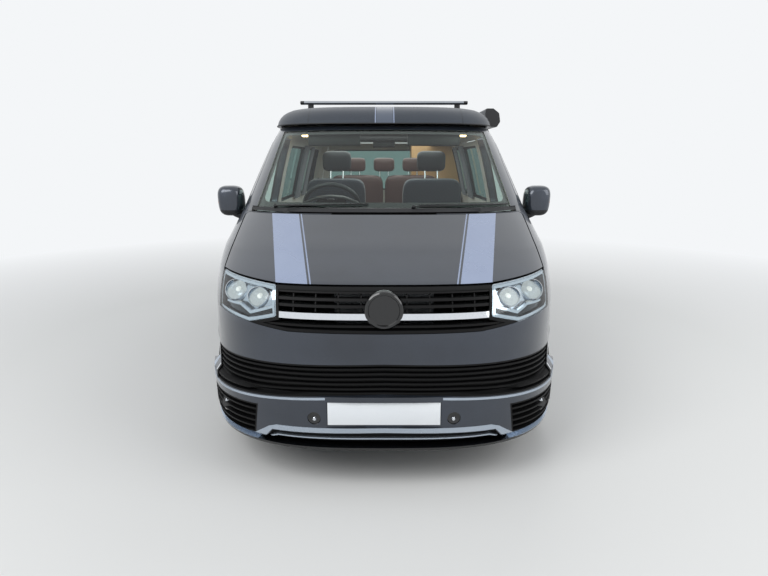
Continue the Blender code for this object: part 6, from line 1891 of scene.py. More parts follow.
        housing = shell(0.0, 0.2, 0.0).cut(shell(0.1, 0.2, 0.008).shifted(along=0.003))
        lower = housing.copy().common(Solid.box((-2, 1, 1.1), (2, 2, 1.218)))
        housing.cut(Solid.box((-2, 1, 1.1), (2, 2, 1.2185)))
        inner = self.van.body.half_width(1.41, 1.165)
        path = ((inner - 0.010, 1.415, 1.172), (inner + 0.025, 1.412, 1.176), (0.985, 1.404, 1.196),
                (1.005, 1.400, 1.215))
        foot = Solid.sweep([(turn * x, s, z) for x, s, z in path], 0.032, 0.024, 24, 3.0)
        lower.join(foot.common(Solid.box((-1.09, 1.346, 1.151), (1.09, 1.454, 1.24))))
        near, far = span_of(side, 1.0, 1.2)
        glass = shell(0.1, 0.109, 0.009).shifted(along=0.0005)
        lamp = shell(0.02, 0.06, -0.0006).common(Solid.box((near, 1.36, 1.262), (far, 1.395, 1.276)))
        dress(housing.largest(), f"mirror_cap_{word}", BODY_LACQUER, body, (f"mirror_{word}",))
        dress(lower.largest(), f"mirror_base_{word}", GRAINED_BLACK, body)
        dress(glass, f"mirror_glass_{word}", CHROME, body)
        dress(lamp, f"mirror_lamp_{word}", AMBER_LENS, body)

    def _handle(self, name: str, side: Side, middle: float, body: str) -> None:
        """Pull handle in body colour over a dark finger cup, both following the skin.

        Args:
            name: Word for the piece's door.
            side: Side of the vehicle.
            middle: Station of the handle's middle.
            body: Body that carries it.
        """
        skin, height, half = self.van.body, self.handle_height, self.handle_half
        # Distance from each end along the handle, and distance off the skin
        ends = ((0.004, -0.004), (0.010, 0.014))
        grip = [(-half + 0.022 + step * (2 * half - 0.044) / 6, 0.0225) for step in range(7)]
        run = [*[(-half + a, off) for a, off in ends], *grip, *[(half - a, off) for a, off in ends[::-1]]]
        path = [
            (side.value * (skin.half_width(middle + a, height) + off), middle + a, height) for a, off in run
        ]
        dress(Solid.sweep(path, 0.0062, 0.0125, 20, 2.6), f"{name}_handle", BODY_LACQUER, body)
        cup = rounded(rectangle(middle - 0.068, middle + 0.068, height - 0.024, height + 0.024), 0.022, 6)
        made = skin.wall(-0.0015, 0.004, 0.96, 1.08).common(self.van.side_plug(cup, side))
        dress(made, f"{name}_cup", SATIN_BLACK, body, skin=skin)

    def _moulding(self, name: str, side: Side, front: float, back: float, body: str = "root") -> None:
        """Rub strip along a panel between two stations, with rounded ends.

        Args:
            name: Name of the piece.
            side: Side of the vehicle.
            front: Station of its front end.
            back: Station of its back end.
            body: Body that carries it.
        """
        skin = self.van.body
        outline = rounded(rectangle(front, back, self.moulding_low, self.moulding_high), 0.012, 4)
        strip = skin.wall(-0.006, 0.002, 0.62, 0.72).common(self.van.side_plug(outline, side))
        dress(strip, name, GRAINED_BLACK, body, skin=skin)

    def _door_trim(self, side: Side) -> None:
        """Handle, rub strips and window seals of one side, and its arch lips.

        Args:
            side: Side of the vehicle.
        """
        word, van, skin = side.word, self.van, self.van.body
        body = f"door_{word}"
        self._handle(f"door_{word}", side, DOOR_REAR - 0.152, body)
        self._moulding(f"door_moulding_{word}", side, 1.43, DOOR_REAR - 0.012, body)
        self._moulding(f"side_moulding_{word}", side, 3.402 if side is Side.LEFT else 2.312, 3.630)
        self._moulding(f"tail_moulding_{word}", side, 4.276, 4.700)
        for name, window, out, into, owner in (
            ("door", DOOR_WINDOW, 0.010, 0.006, body),
            ("middle", SLIDING_WINDOW, 0.007, 0.012, "root"),
            ("quarter", QUARTER_WINDOW, 0.007, 0.012, "root"),
        ):
            outline = rounded(window, WINDOW_CORNER)
            rim = self.seal.copy().common(van.side_plug(grown(outline, out), side))
            rim.cut(van.side_plug(grown(outline, -into), side))
            dress(rim.largest(), f"{name}_seal_{word}", RUBBER, owner, skin=skin)
        for name, axle, front, back in (
            ("front", FRONT_AXLE, BUMPER_BACK + 0.010, DOOR_FRONT - 0.010), ("rear", REAR_AXLE, 3.4, 4.38)
        ):
            lip = skin.wall(-0.005, 0.012, 0.42, 0.90).common(van.arches(axle, ARCH_RADIUS + 0.020, 0.6))
            lip.cut(van.arches(axle, ARCH_RADIUS - 0.001, 0.5)).common(van.half(side, front=front, back=back))
            dress(lip.largest(), f"arch_lip_{name}_{word}", GRAINED_BLACK, skin=skin)

    def _slide_trim(self) -> None:
        """Sliding door's handle, rub strip and the steel rail in the side behind it."""
        self._handle("sliding_door", Side.LEFT, DOOR_REAR + PILLAR_WIDTH + 0.152, "root")
        self._moulding("sliding_door_moulding", Side.LEFT, 2.312, 3.382)
        skin = self.van.body
        rail = skin.wall(0.002, 0.0118, 1.038, 1.057).common(self.van.half(Side.LEFT, front=3.424, back=4.50))
        dress(rail.largest(), "sliding_door_rail", ANODISED, skin=skin)

    def _fuel_flap(self) -> None:
        """Fuel flap in the right side, drawn by a thin dark seam."""
        outline = rounded(rectangle(2.345, 2.500, 0.800, 0.960), 0.025, 6)
        seam = self.film.copy().common(self.van.side_plug(grown(outline, 0.0015), Side.RIGHT))
        seam.cut(self.van.side_plug(grown(outline, -0.0015), Side.RIGHT))
        dress(seam, "fuel_flap_seam", SATIN_BLACK, skin=self.van.body)

    def _tail_lamp(self, side: Side) -> None:
        """Tail lamp: dark housing under a red lens, a smoked band and a low amber band.

        Args:
            side: Side of the vehicle.
        """
        van, skin, word = self.van, self.van.body, side.word
        plug = van.tail_plug(grown(sided(TAIL_LAMP_OUTLINE, side), -SEAM), TAIL_LAMP_FRONT)
        gate = van.tail_plug(grown(whole(TAILGATE_OUTLINE), PANEL_GAP))
        for name, finish, nodes, wall in (
            ("housing", SATIN_BLACK, (f"tail_lamp_{word}",), (0.006, WALL, 0.90, 1.36)),
            ("amber", AMBER_LENS, (), (0.0, 0.0055, 0.9308, 1.010)),
            ("smoked", SMOKED_LENS, (), (0.0, 0.0055, 1.0105, 1.080)),
            ("red", RED_LENS, (), (0.0, 0.0055, 1.0805, 1.3292)),
        ):
            part = skin.wall(*wall).common(plug, keep=True).cut(gate, keep=True)
            dress(part.largest(), f"tail_lamp_{name}_{word}", finish, "root", nodes, skin)
        plug.drop()
        gate.drop()

    def _rear_bumper(self) -> None:
        """Painted rear bumper with a grained step pad, reflectors and a lower skirt."""
        van, skin = self.van, self.van.rear_bumper
        bumper = skin.solid().common(Solid.box((-2, 4.408, 0), (2, 6, 2)))
        bumper.cut(van.body.solid(-FIT, 0.0, 0.2, 0.62)).largest()
        dress(bumper, "rear_bumper_skin", BODY_LACQUER, "root", ("rear_bumper",), skin)
        top = float(skin.knots[-1])
        pad = skin.solid(0.012, 0.0, top - 0.004, top).common(Solid.box((-0.60, 4.5, 0), (0.60, 6, 2)))
        pad.cut(van.body.solid(-0.003, 0.0, 0.2, 0.70)).shifted(up=0.0035)
        dress(pad.largest(), "rear_bumper_pad", GRAINED_BLACK)
        for side in Side:
            outline = rounded(sided(rectangle(0.62, 0.80, 0.330, 0.372), side), 0.008, 4)
            lens = skin.wall(-0.0002, 0.004, 0.31, 0.39).common(van.tail_plug(outline, 4.5))
            dress(lens.largest(), f"rear_reflector_{side.word}", RED_LENS, skin=skin)
        skirt = skin.wall(-0.0005, 0.004, 0.2405, 0.290).common(Solid.box((-2, 4.42, 0), (2, 6, 2)))
        dress(skirt.largest(), "rear_bumper_skirt", GRAINED_BLACK, skin=skin)

    def _tailgate_trim(self) -> None:
        """Handle bar over the blank plate, wiper, high brake lamp and glass seal."""
        skin, body = self.van.body, "tailgate"

        def tail(across: float, height: float, off: float) -> Point3:
            """A place behind the tailgate's skin, as (x, station, z)."""
            return across, skin.tail_station(across, height) + off, height

        bar = Solid.sweep([tail(-0.262 + k * 0.0655, 0.952, 0.004) for k in range(9)], 0.013, 0.014, 20, 3.2)
        dress(bar, "tailgate_handle", BODY_LACQUER, body)
        for side in Side:
            x = side.value * 0.15
            lamp = Solid.box((x - 0.022, 4.859, 0.9165), (x + 0.022, 4.866, 0.9272), 0.002, 2)
            dress(lamp, f"plate_lamp_{side.word}", BULB, body)
        plate = Solid.box((-0.260, 4.8582, 0.808), (0.260, 4.8625, 0.919), 0.0015, 2)
        dress(plate, "rear_plate", YELLOW_PLATE, body)
        blade = [tail(0.02 + k * 0.034, 1.222 + k * 0.0015, 0.0045) for k in range(13)]
        root, (x, s, z) = tail(0.0, 1.140, 0.008), blade[6]
        wiper = Solid.sweep(blade, 0.0035, 0.0045, 8, 4.0).join(
            Solid.sweep([root, (0.10, root[1] + 0.002, 1.185), (x, s + 0.006, z)], 0.006, 0.008, 12, 3.0),
            Solid.rod(tail(0.0, 1.140, -0.006), tail(0.0, 1.140, 0.014), 0.022, 28, 0.018),
        )
        dress(wiper, "rear_wiper", SATIN_BLACK, body, crease=40)
        lamp = skin.wall(-0.003, 0.006, 1.684, 1.706).common(Solid.box((-0.15, 4.5, 1), (0.15, 6, 2)))
        lamp.common(Solid.box((-1, 4.5, 1.684), (1, 6, 1.706)))
        dress(lamp, "high_brake_lamp", RED_LENS, body, skin=skin)
        window = rounded(whole(TAIL_SCREEN_OUTLINE), WINDOW_CORNER)
        seal = self.seal.copy().common(self.van.tail_plug(grown(window, 0.008), 4.3))
        seal.cut(self.van.front_plug(grown(window, -0.014), front=4.2, back=6.1))
        dress(seal.largest(), "tailgate_seal", RUBBER, body, skin=skin)

    def _bar(self, word: str, station: float) -> None:
        """Roof bar: drawn silver profile with a grooved top, black end caps and black feet.

        Args:
            word: Front or rear.
            station: Station of the bar's middle.
        """
        lid = self.van.lid.solid(-0.0008, -0.0008)
        half, depth, rise = self.bar_half, self.bar_half_depth, self.bar_rise
        crown = [(-1.0, -0.2), (-0.93, 0.15), (-0.80, 0.55), (-0.62, 0.88), (-0.45, 1.0), (-0.16, 1.0), (-0.13, 0.80)]
        base = [(0.88, -0.66), (0.60, -1.0), (-0.60, -1.0), (-0.88, -0.66)]
        profile = [*crown, *[(-y, z) for y, z in reversed(crown)], *base]

        def outline(tall: float) -> Outline:
            """The bar's section with its rise set."""
            return [(station + y * depth, self.bar_top - rise + z * tall) for y, z in profile]

        bar = Solid.prism(outline(rise), "X", -half + 0.030, half - 0.030)
        dress(bar, f"bar_profile_{word}", ANODISED, "lid", (f"roof_bar_{word}",), crease=50)
        for side in Side:
            cap = Solid.prism(outline(0.0128), "X", *span_of(side, half - 0.0295, half))
            dress(cap, f"bar_cap_{word}_{side.word}", GRAINED_BLACK, "lid", crease=50)
            middle = side.value * half * 0.88
            foot = Solid.loft([
                [(middle + x, station_y(station + s), z) for x, s in oval(wide * 0.8, long, 28, 2 / 0.6)]
                for z, wide, long in (
                    (1.820, 0.034, 0.026), (1.900, 0.031, 0.024), (1.945, 0.027, 0.022), (1.9652, 0.027, 0.026)
                )
            ]).cut(lid, keep=True)
            dress(foot.largest(), f"bar_foot_{word}_{side.word}", GRAINED_BLACK, "lid")
        lid.drop()

    def _awning(self) -> None:
        """Awning cassette: long powder-coated case with a slit along its outer side, black end caps and brackets."""
        front, rear = self.awning_ends
        inner, shell = self.awning_inner, self.van.body.solid(-FIT, 0.0)

        def section(shares: Outline) -> Outline:
            """Shares of the case's depth and height as a section."""
            return [(inner + self.awning_depth * x, self.awning_low + self.awning_height * z) for x, z in shares]

        outline = section(rounded([(0, 0.07), (0.78, 0), (1, 0.29), (0.91, 0.75), (0.52, 1), (0, 1)], 0.10, 5))
        slit = section([(1.02, 0.20), (1.02, 0.23), (0.86, 0.23), (0.86, 0.20)])
        case = Solid.prism(outline, "Y", front + 0.022, rear - 0.022)
        case.cut(Solid.prism(slit, "Y", front - 0.1, rear + 0.1))
        for share in (0.03, 0.491, 0.908):
            middle = front + (rear - front) * share + 0.030
            bracket = Solid.box((0.74, middle - 0.030, 1.700), (0.800, middle + 0.030, 1.820), 0.003, 2)
            bracket.cut(shell, keep=True).cut(Solid.box((0, 0, RAIL + PANEL_GAP), (inner - SEAM * 4, 6, 3)))
            case.join(bracket.largest())
        shell.drop()
        dress(case.largest(), "awning_case", CASSETTE, "root", ("awning",), crease=28)
        for word, one, two in (("front", front, front + 0.0215), ("rear", rear - 0.0215, rear)):
            dress(Solid.prism(outline, "Y", one, two), f"awning_cap_{word}", GRAINED_BLACK, crease=28)


# Turned profiles of a wheel, as (radius, distance along the axle) with the outer side positive
BOLT_PROFILE = ((0.0, 0.0895), (0.006, 0.0895), (0.0085, 0.088), (0.0085, 0.078), (0.0, 0.078))
CAP_PROFILE = ((0.0, 0.0925), (0.020, 0.0925), (0.030, 0.090), (0.034, 0.084), (0.034, 0.078), (0.0, 0.078))
DISC_PROFILE = (
    (0.072, 0.020), (0.155, 0.020), (0.155, 0.029), (0.150, 0.030), (0.085, 0.030), (0.075, 0.046), (0.040, 0.048),
    (0.040, 0.040), (0.068, 0.038),
)
CALIPER_PROFILE = ((0.100, 0.000), (0.172, 0.000), (0.176, 0.010), (0.176, 0.042), (0.170, 0.050), (0.105, 0.050))
RIM_PROFILE = (
    (0.2283, -0.120), (0.2283, -0.108), (0.2225, -0.100), (0.2200, -0.060), (0.2160, 0.0), (0.2200, 0.080),
    (0.2225, 0.104), (0.2283, 0.110), (0.2283, 0.120), (0.2215, 0.1195), (0.2150, 0.110), (0.2120, 0.100),
    (0.2050, 0.0965), (0.150, 0.0925), (0.100, 0.087), (0.070, 0.0835), (0.0420, 0.0835), (0.0360, 0.0765),
    (0.0310, 0.0765), (0.0310, 0.050), (0.070, 0.052), (0.150, 0.062), (0.195, 0.070), (0.2120, 0.068),
    (0.2115, 0.0), (0.2120, -0.110), (0.2150, -0.1195),
)


@dataclass
class Wheel:
    """Road wheel with grooved tyre, five-spoke alloy rim, bolts, cap, brake disc and caliper."""

    row: str
    side: Side
    spokes: int = 5
    tyre_sides: int = 38
    rim_sides: int = 120
    bolt_circle: float = 0.056

    def _placed(self, solid: Solid) -> Solid:
        """Moves a solid made about the axle to this wheel's place and side.

        Args:
            solid: Part of the wheel.

        Returns:
            The same solid, moved.
        """
        if self.side is Side.RIGHT:
            solid.moved(Matrix.Diagonal((-1, 1, 1, 1)))
        axle = FRONT_AXLE if self.row == "front" else REAR_AXLE
        return solid.shifted(self.side.value * HALF_TRACK, station_y(axle), TYRE_RADIUS)

    def build(self) -> None:
        """Makes the wheel's pieces on its body."""
        word = f"{self.row}_{self.side.word}"
        body = f"wheel_{word}"
        carrier = f"knuckle_{self.side.word}" if self.row == "front" else "root"
        tyre = self._placed(self._tyre())
        dress(tyre, f"tread_tyre_{word}", TYRE_RUBBER, body, (f"tyre_{word}",), crease=28)
        dress(self._placed(self._rim()), f"alloy_{word}", ALLOY, body, (f"rim_{word}",), crease=30)
        for number in range(self.spokes):
            angle = 2 * math.pi * (number + 0.5) / self.spokes
            y, z = self.bolt_circle * math.sin(angle), self.bolt_circle * math.cos(angle)
            bolt = Solid.turned(BOLT_PROFILE, 12, False).shifted(0, y, z)
            dress(self._placed(bolt), f"wheel_bolt_{word}_{number + 1}", CHROME, body)
        dress(self._placed(Solid.turned(CAP_PROFILE, 36, False)), f"wheel_cap_{word}", GLOSS_BLACK, body)
        dress(self._placed(Solid.turned(DISC_PROFILE, 72)), f"brake_disc_{word}", DISC_IRON, body)
        caliper = Solid.turned(CALIPER_PROFILE, 72)
        wedge = [(-0.075, 0.20), (0.075, 0.20), (0.045, 0.0), (-0.045, 0.0)]
        turned = [(y + LENGTH / 2, z) for y, z in wedge]
        caliper.common(Solid.prism(turned, "X", -0.1, 0.1))
        caliper.cut(Solid.turned([(0.08, 0.0175), (0.1585, 0.0175), (0.1585, 0.0325), (0.08, 0.0325)], 72))
        caliper.moved(Matrix.Rotation(math.radians(-90 if self.row == "front" else 90), 4, "X"))
        dress(self._placed(caliper.largest()), f"caliper_{word}", CALIPER, carrier)

    def _tyre(self) -> Solid:
        """Tyre with rounded shoulders and three grooves, light enough for a scene of many vehicles.

        Returns:
            The tyre about the X axis.
        """
        half, outer, groove = 0.1275, TYRE_RADIUS, 0.007
        flank = [(0.2290, 0.112), (0.245, 0.1225), (0.290, half), (0.328, 0.1175), (outer - 0.0012, 0.090)]
        profile = [(radius, -across) for radius, across in flank]
        for middle in (-0.048, 0.0, 0.048):
            profile += [(outer, middle - 0.006), (outer - groove, middle), (outer, middle + 0.006)]
        profile += flank[::-1]
        return Solid.turned(profile, self.tyre_sides)

    def _rim(self) -> Solid:
        """Barrel with lips and a dished face, cut to five tapering double spokes.

        Returns:
            The rim about the X axis.
        """
        rim = Solid.turned(RIM_PROFILE, self.rim_sides)
        for number in range(self.spokes):
            centre = 360 * number / self.spokes
            rim.cut(self._window(centre, 22.0, 0.094, 0.200, 0.68))
            rim.cut(self._window(centre + 36, 2.6, 0.112, 0.192, 0.45))
        return rim.largest()

    def _window(self, centre: float, swing: float, near: float, far: float, taper: float) -> Solid:
        """Opening in the rim's face between two radii.

        Args:
            centre: Angle of its middle, in degrees.
            swing: Half its angle at the far radius, in degrees.
            near: Inner radius.
            far: Outer radius.
            taper: Share of the swing at the inner radius.

        Returns:
            A solid to cut with.
        """
        corners = []
        for radius, share in ((near, taper), (far, 1.0), (far, -1.0), (near, -taper)):
            angle = math.radians(centre + swing * share)
            corners.append((radius * math.sin(angle) + LENGTH / 2, radius * math.cos(angle)))
        outline = rounded(corners, 0.014 if swing > 8 else 0.005, 5)
        return Solid.prism(outline, "X", 0.02, 0.2)


def cloth_of(shape: bmesh.types.BMesh, smooth: bool = False) -> tuple[bpy.types.Object, float]:
    """Turns a sheet's faces into an object.

    Args:
        shape: The sheet's faces, freed here.
        smooth: Whether they are shaded smooth.

    Returns:
        The object and the area of its faces.
    """
    area = sum(face.calc_area() for face in shape.faces)
    for face in shape.faces:
        face.smooth = smooth
    mesh = bpy.data.meshes.new("cloth")
    shape.to_mesh(mesh)
    shape.free()
    made = bpy.data.objects.new("cloth", mesh)
    bpy.context.scene.collection.objects.link(made)
    return made, area


@dataclass
class Pad:
    """Cushion with a crowned face, sides that pull in between its corners, and sewn channels."""

    name: str
    half: Point3
    place: Point3
    finish: Finish
    tilt: float = 0.0
    crown: float = 0.014
    pull: float = 0.007
    channels: tuple[float, ...] = ()
    ribs: tuple[float, ...] = ()
    channel_depth: float = 0.006
    bolster: float = 0.0
    power: float = 6.0
    cuts: int = 39

    def build(self) -> bpy.types.Object:
        """Returns:
            The finished pad.
        """
        shape = bmesh.new()
        bmesh.ops.create_cube(shape, size=2)
        bmesh.ops.subdivide_edges(shape, edges=list(shape.edges), cuts=self.cuts, use_grid_fill=True)
        for vert in shape.verts:
            vert.co = self._formed(vert.co)
        solid = Solid(shape)
        solid.moved(Matrix.Rotation(self.tilt, 4, "X"))
        solid.moved(Matrix.Translation((self.place[0], station_y(self.place[1]), self.place[2])))
        made = dress(solid, self.name, self.finish, crease=80)
        return made

    def _formed(self, point: Vector) -> Vector:
        """Place of a cube point on the pad: rounded block, crown, pulled sides, channels and bolsters.

        Args:
            point: Place on a cube of half width 1.

        Returns:
            Place on the pad.
        """
        length = sum(abs(value) ** self.power for value in point) ** (1 / self.power)
        x, y, z = (value / length * max(abs(v) for v in point) for value, v in zip(point, point))
        hx, hy, hz = self.half
        middle = (1 - x * x) * (1 - y * y)
        face = max(0.0, abs(z) - 0.2) / 0.8
        rise = self.crown * middle * face
        sink = 0.0
        for place in self.channels:
            sink += self.channel_depth * math.exp(-(((y - place) * hy / 0.007) ** 2))
        for place in self.ribs:
            sink += self.channel_depth * math.exp(-(((x - place) * hx / 0.007) ** 2))
        sink *= max(0.0, z) ** 3 * (1 - abs(x) ** 12) * (1 - abs(y) ** 12)
        lift = self.bolster * min(1.0, max(0.0, (abs(x) - 0.62) / 0.2)) * (1 - abs(y) ** 8) * max(0.0, z) ** 2
        seam = 0.0025 * math.exp(-(((abs(z) - 0.55) * hz / 0.004) ** 2)) * (1 - face)
        pull_x = self.pull * (1 - y * y) * (1 - z * z) + seam
        pull_y = self.pull * (1 - x * x) * (1 - z * z) + seam
        crown_room = self.crown + self.bolster
        return Vector((
            x * (hx - pull_x), y * (hy - pull_y),
            z * (hz - crown_room / 2) + math.copysign(rise, z) - math.copysign(sink, z) + lift,
        ))


@dataclass
class Curtain:
    """Gathered cloth at a side window."""

    side: Side
    word: str
    front: float
    back: float
    low: float = 1.185
    high: float = 1.668
    folds: int = 9
    depth: float = 0.011
    off: float = 0.075

    def build(self, skin: Skin) -> None:
        """Makes the cloth as one sheet.

        Args:
            skin: The body's outer surface, which the cloth hangs inside.
        """
        steps, levels = self.folds * 14, 26
        shape = bmesh.new()
        rows = []
        for level in range(levels + 1):
            share = level / levels
            height = self.low + (self.high - self.low) * share
            row = []
            for step in range(steps + 1):
                along = step / steps
                phase = 2 * math.pi * self.folds * along
                sway = 0.004 * math.sin(5 * share + 3 * along)
                wave = self.depth * (0.80 + 0.20 * math.sin(7 * along)) * math.sin(phase + 0.5 * share)
                station = self.front + (self.back - self.front) * along + sway
                wall = skin.half_width(station, min(height, 1.66)) - self.off
                row.append(shape.verts.new((self.side.value * (wall + wave), station_y(station), height)))
            rows.append(row)
        for lower, upper in zip(rows, rows[1:]):
            for step in range(steps):
                shape.faces.new((lower[step], lower[step + 1], upper[step + 1], upper[step]))
        cloth, area = cloth_of(shape, smooth=True)
        made = dress(cloth, f"curtain_{self.word}", CURTAIN)


@dataclass
class Bellows:
    """Folded canvas of the elevating roof: one wall of pleats between the roof frame and the lid."""

    half_width: float = 0.606
    front: float = 1.774
    back: float = 4.316
    low: float = 1.7656
    high: float = 1.7994
    pleat: float = 0.0055
    rows: int = 20

    def build(self) -> None:
        """Makes the wall of pleats."""
        corners = rectangle(-self.half_width, self.half_width, self.front, self.back)
        outline = divided(rounded(corners, 0.03, 6), 0.06)
        shape = bmesh.new()
        rings = []
        for row in range(self.rows + 1):
            off = self.pleat if row % 2 else -self.pleat
            height = self.low + (self.high - self.low) * row / self.rows
            rings.append([shape.verts.new((x, station_y(s), height)) for x, s in grown(outline, off)])
        count = len(outline)
        for lower, upper in zip(rings, rings[1:]):
            for here in range(count):
                after = (here + 1) % count
                shape.faces.new((lower[here], lower[after], upper[after], upper[here]))
        cloth, area = cloth_of(shape)
        made = dress(cloth, "bellows", CANVAS, "", ("canvas",))
        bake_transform(made)


# Stations and heights round the dashboard's section, in millimetres
DASHBOARD_SECTION = metres([
    (1010, 1150), (1250, 1215), (1420, 1240), (1500, 1225), (1530, 1170), (1500, 1100), (1470, 1030), (1420, 1005),
    (1100, 1005),
])

# Turned profiles of small parts, as (radius, height)
BURNER_PROFILE = ((0.0, 0.0), (0.045, 0.0), (0.047, 0.003), (0.045, 0.006), (0.040, 0.003), (0.0, 0.003))
DIAL_PROFILE = ((0.0, 0.004), (0.040, 0.004), (0.044, 0.010), (0.048, 0.006), (0.048, -0.01), (0.0, -0.01))
BOSS_PROFILE = ((0.0, 0.014), (0.040, 0.012), (0.060, 0.004), (0.066, -0.008), (0.058, -0.030), (0.0, -0.030))
KNOB_PROFILE = ((0.0, 0.010), (0.012, 0.008), (0.014, 0.0), (0.010, -0.004), (0.0, -0.004))
LAMP_PROFILE = ((0.0, -0.006), (0.022, -0.006), (0.026, 0.0), (0.026, 0.008), (0.0, 0.008))


@dataclass
class Cabin:
    """Seats, dashboard, steering wheel, furniture, floor and curtains seen through the glass."""

    van: Envelope
    seat_offset: float = 0.380
    floor_top: float = 0.540

    def build(self) -> None:
        """Makes the fitted cabin."""
        for side in Side:
            self._seat(side)
        self._bench()
        self._dashboard()
        self._steering_wheel()
        self._kitchen()
        self._wardrobe()
        self._floor()
        self._headlining()
        skin = self.van.body
        for side in Side:
            Curtain(side, f"quarter_{side.word}", 3.54, 3.74).build(skin)
        for side in (Side.RIGHT, Side.LEFT):
            Curtain(side, f"middle_{side.word}", 3.06, 3.31).build(skin)
        Bellows().build()

    def _belt(self, name: str, x: float, front: float, top: float) -> None:
        """Webbing that runs down the back of a seat on its inner face."""
        path = [(x, front + 0.02, 0.895), (x, front + 0.10, 1.05), (x, front + 0.155, top)]
        dress(Solid.sweep(path, 0.023, 0.0012, 8, 4.0), name, BELT_WEB)

    def _seat(self, side: Side) -> None:
        """Front seat: pedestal, runners, cushion, back, posts and headrest.

        Args:
            side: Side of the vehicle.
        """
        word, x = side.word, side.value * self.seat_offset
        base = Solid.box((x - 0.19, 1.790, self.floor_top), (x + 0.19, 2.190, 0.700), 0.012, 3)
        base.cut(Solid.box((x - 0.14, 1.70, self.floor_top + 0.045), (x + 0.14, 2.30, 0.650), 0.01, 2))
        for turn in (-1, 1):
            middle = x + turn * 0.15
            base.join(Solid.box((middle - 0.018, 1.735, 0.694), (middle + 0.018, 2.255, 0.716), 0.004, 2))
        base.join(Solid.box((x - 0.225, 1.745, 0.712), (x + 0.225, 2.24, 0.735), 0.008, 2))
        dress(base, f"seat_base_{word}", GRAINED_BLACK, "root", (f"front_seat_{word}",))
        Pad(
            f"seat_cushion_{word}", (0.243, 0.282, 0.072), (x, 1.988, 0.800), SEAT_CLOTH, 0.0, 0.010, 0.008,
            channels=(-0.35, 0.12, 0.55), ribs=(-0.62, 0.62), bolster=0.018,
        ).build()
        lean = -math.radians(90) + math.atan(0.110 / 0.600)
        Pad(
            f"seat_back_{word}", (0.238, 0.300, 0.062), (x, 2.232, 1.105), SEAT_CLOTH, lean, 0.010, 0.008,
            channels=(-0.55, -0.18, 0.18, 0.50), ribs=(-0.60, 0.60), bolster=0.022,
        ).build()
        for turn in (-1, 1):
            post = Solid.rod((x + turn * 0.05, 2.275, 1.360), (x + turn * 0.05, 2.305, 1.475), 0.006, 16)
            dress(post, f"headrest_post_{word}_{'out' if turn > 0 else 'in'}", CHROME)
        Pad(
            f"headrest_{word}", (0.118, 0.083, 0.049), (x, 2.318, 1.530), SEAT_HIDE, lean, 0.008, 0.004, power=4.0,
            cuts=23, channels=(-0.35,), channel_depth=0.003,
        ).build()
        self._belt(f"seat_belt_{word}", x - side.value * 0.10, 2.075, 1.36)

    def _bench(self) -> None:
        """Rear bench: drawer box, two cushions, two backs and three headrests."""
        base = Solid.box((-0.565, 3.110, self.floor_top), (0.565, 3.690, 0.725), 0.010, 3)
        for side in (Side.RIGHT, Side.LEFT):
            near, far = span_of(side, 0.020, 0.545)
            base.cut(Solid.box((near, 3.0, 0.565), (far, 3.1135, 0.705), 0.0015, 2))
        dress(base, "bench_base", OAK, "root", ("rear_bench",))
        lean = -math.radians(90) + math.radians(10)
        for side in Side:
            x = side.value * 0.283
            Pad(
                f"bench_cushion_{side.word}", (0.279, 0.296, 0.075), (x, 3.384, 0.802), BENCH_HIDE, 0.0, 0.012, 0.008,
                channels=(-0.5, 0.0, 0.5), ribs=(-0.6, 0.6), bolster=0.012,
            ).build()
            Pad(
                f"bench_back_{side.word}", (0.279, 0.272, 0.062), (x, 3.700, 1.120), BENCH_HIDE, lean, 0.012, 0.008,
                channels=(-0.5, 0.0, 0.5), ribs=(-0.6, 0.6), bolster=0.014,
            ).build()
        for number, x in enumerate((-0.302, 0.0, 0.302), 1):
            Pad(
                f"bench_headrest_{number}", (0.112, 0.072, 0.045), (x, 3.742, 1.492), BENCH_HIDE, lean, 0.008, 0.004,
                power=4.0, cuts=21, channels=(-0.35,), channel_depth=0.003,
            ).build()
            for turn in (-1, 1):
                middle, word = x + turn * 0.045, "left" if turn > 0 else "right"
                post = Solid.rod((middle, 3.732, 1.360), (middle, 3.740, 1.445), 0.006, 16)
                dress(post, f"bench_post_{number}_{word}", CHROME)

    def _dashboard(self) -> None:
        """Dashboard: curved body with cowl, instruments, vents, screen and shift lever."""
        dash = Solid.prism(rounded(DASHBOARD_SECTION, 0.018, 5), "X", -0.775, 0.775)
        dash.common(self.van.body.solid(WALL + 0.006, 0.0, 0.9, 1.4))
        hood = Solid.sweep(
            [(-0.555, 1.455, 1.210), (-0.530, 1.450, 1.262), (-0.440, 1.440, 1.296), (-0.355, 1.436, 1.304),
             (-0.270, 1.440, 1.296), (-0.180, 1.450, 1.262), (-0.155, 1.455, 1.210)],
            0.050, 0.010, 16, 3.0,
        )
        dash.join(hood)
        dash.cut(Solid.box((-0.13, 1.40, 1.085), (0.13, 1.60, 1.200), 0.008, 3))
        dash.join(Solid.box((-0.125, 1.42, 0.960), (0.125, 1.512, 1.195), 0.012, 3))
        for x in (-0.66, 0.66, 0.22):
            dash.cut(Solid.box((x - 0.055, 1.485, 1.160), (x + 0.055, 1.60, 1.205), 0.006, 2))
        dress(dash, "dashboard_body", GRAINED_BLACK, "root", ("dashboard",), crease=30)
        for number, x in enumerate((-0.66, 0.66, 0.22), 1):
            vent = Solid.box((x - 0.054, 1.478, 1.161), (x + 0.054, 1.500, 1.204), 0.004, 2)
            for row in range(4):
                z = 1.1665 + row * 0.0098
                vent.cut(Solid.box((x - 0.048, 1.488, z), (x + 0.048, 1.52, z + 0.0062)))
            dress(vent, f"dashboard_vent_{number}", SATIN_BLACK)
        screen = Solid.box((-0.098, 1.508, 1.112), (0.098, 1.5165, 1.186), 0.003, 2)
        dress(screen, "dashboard_screen", GLOSS_BLACK)
        for turn in (-1, 1):
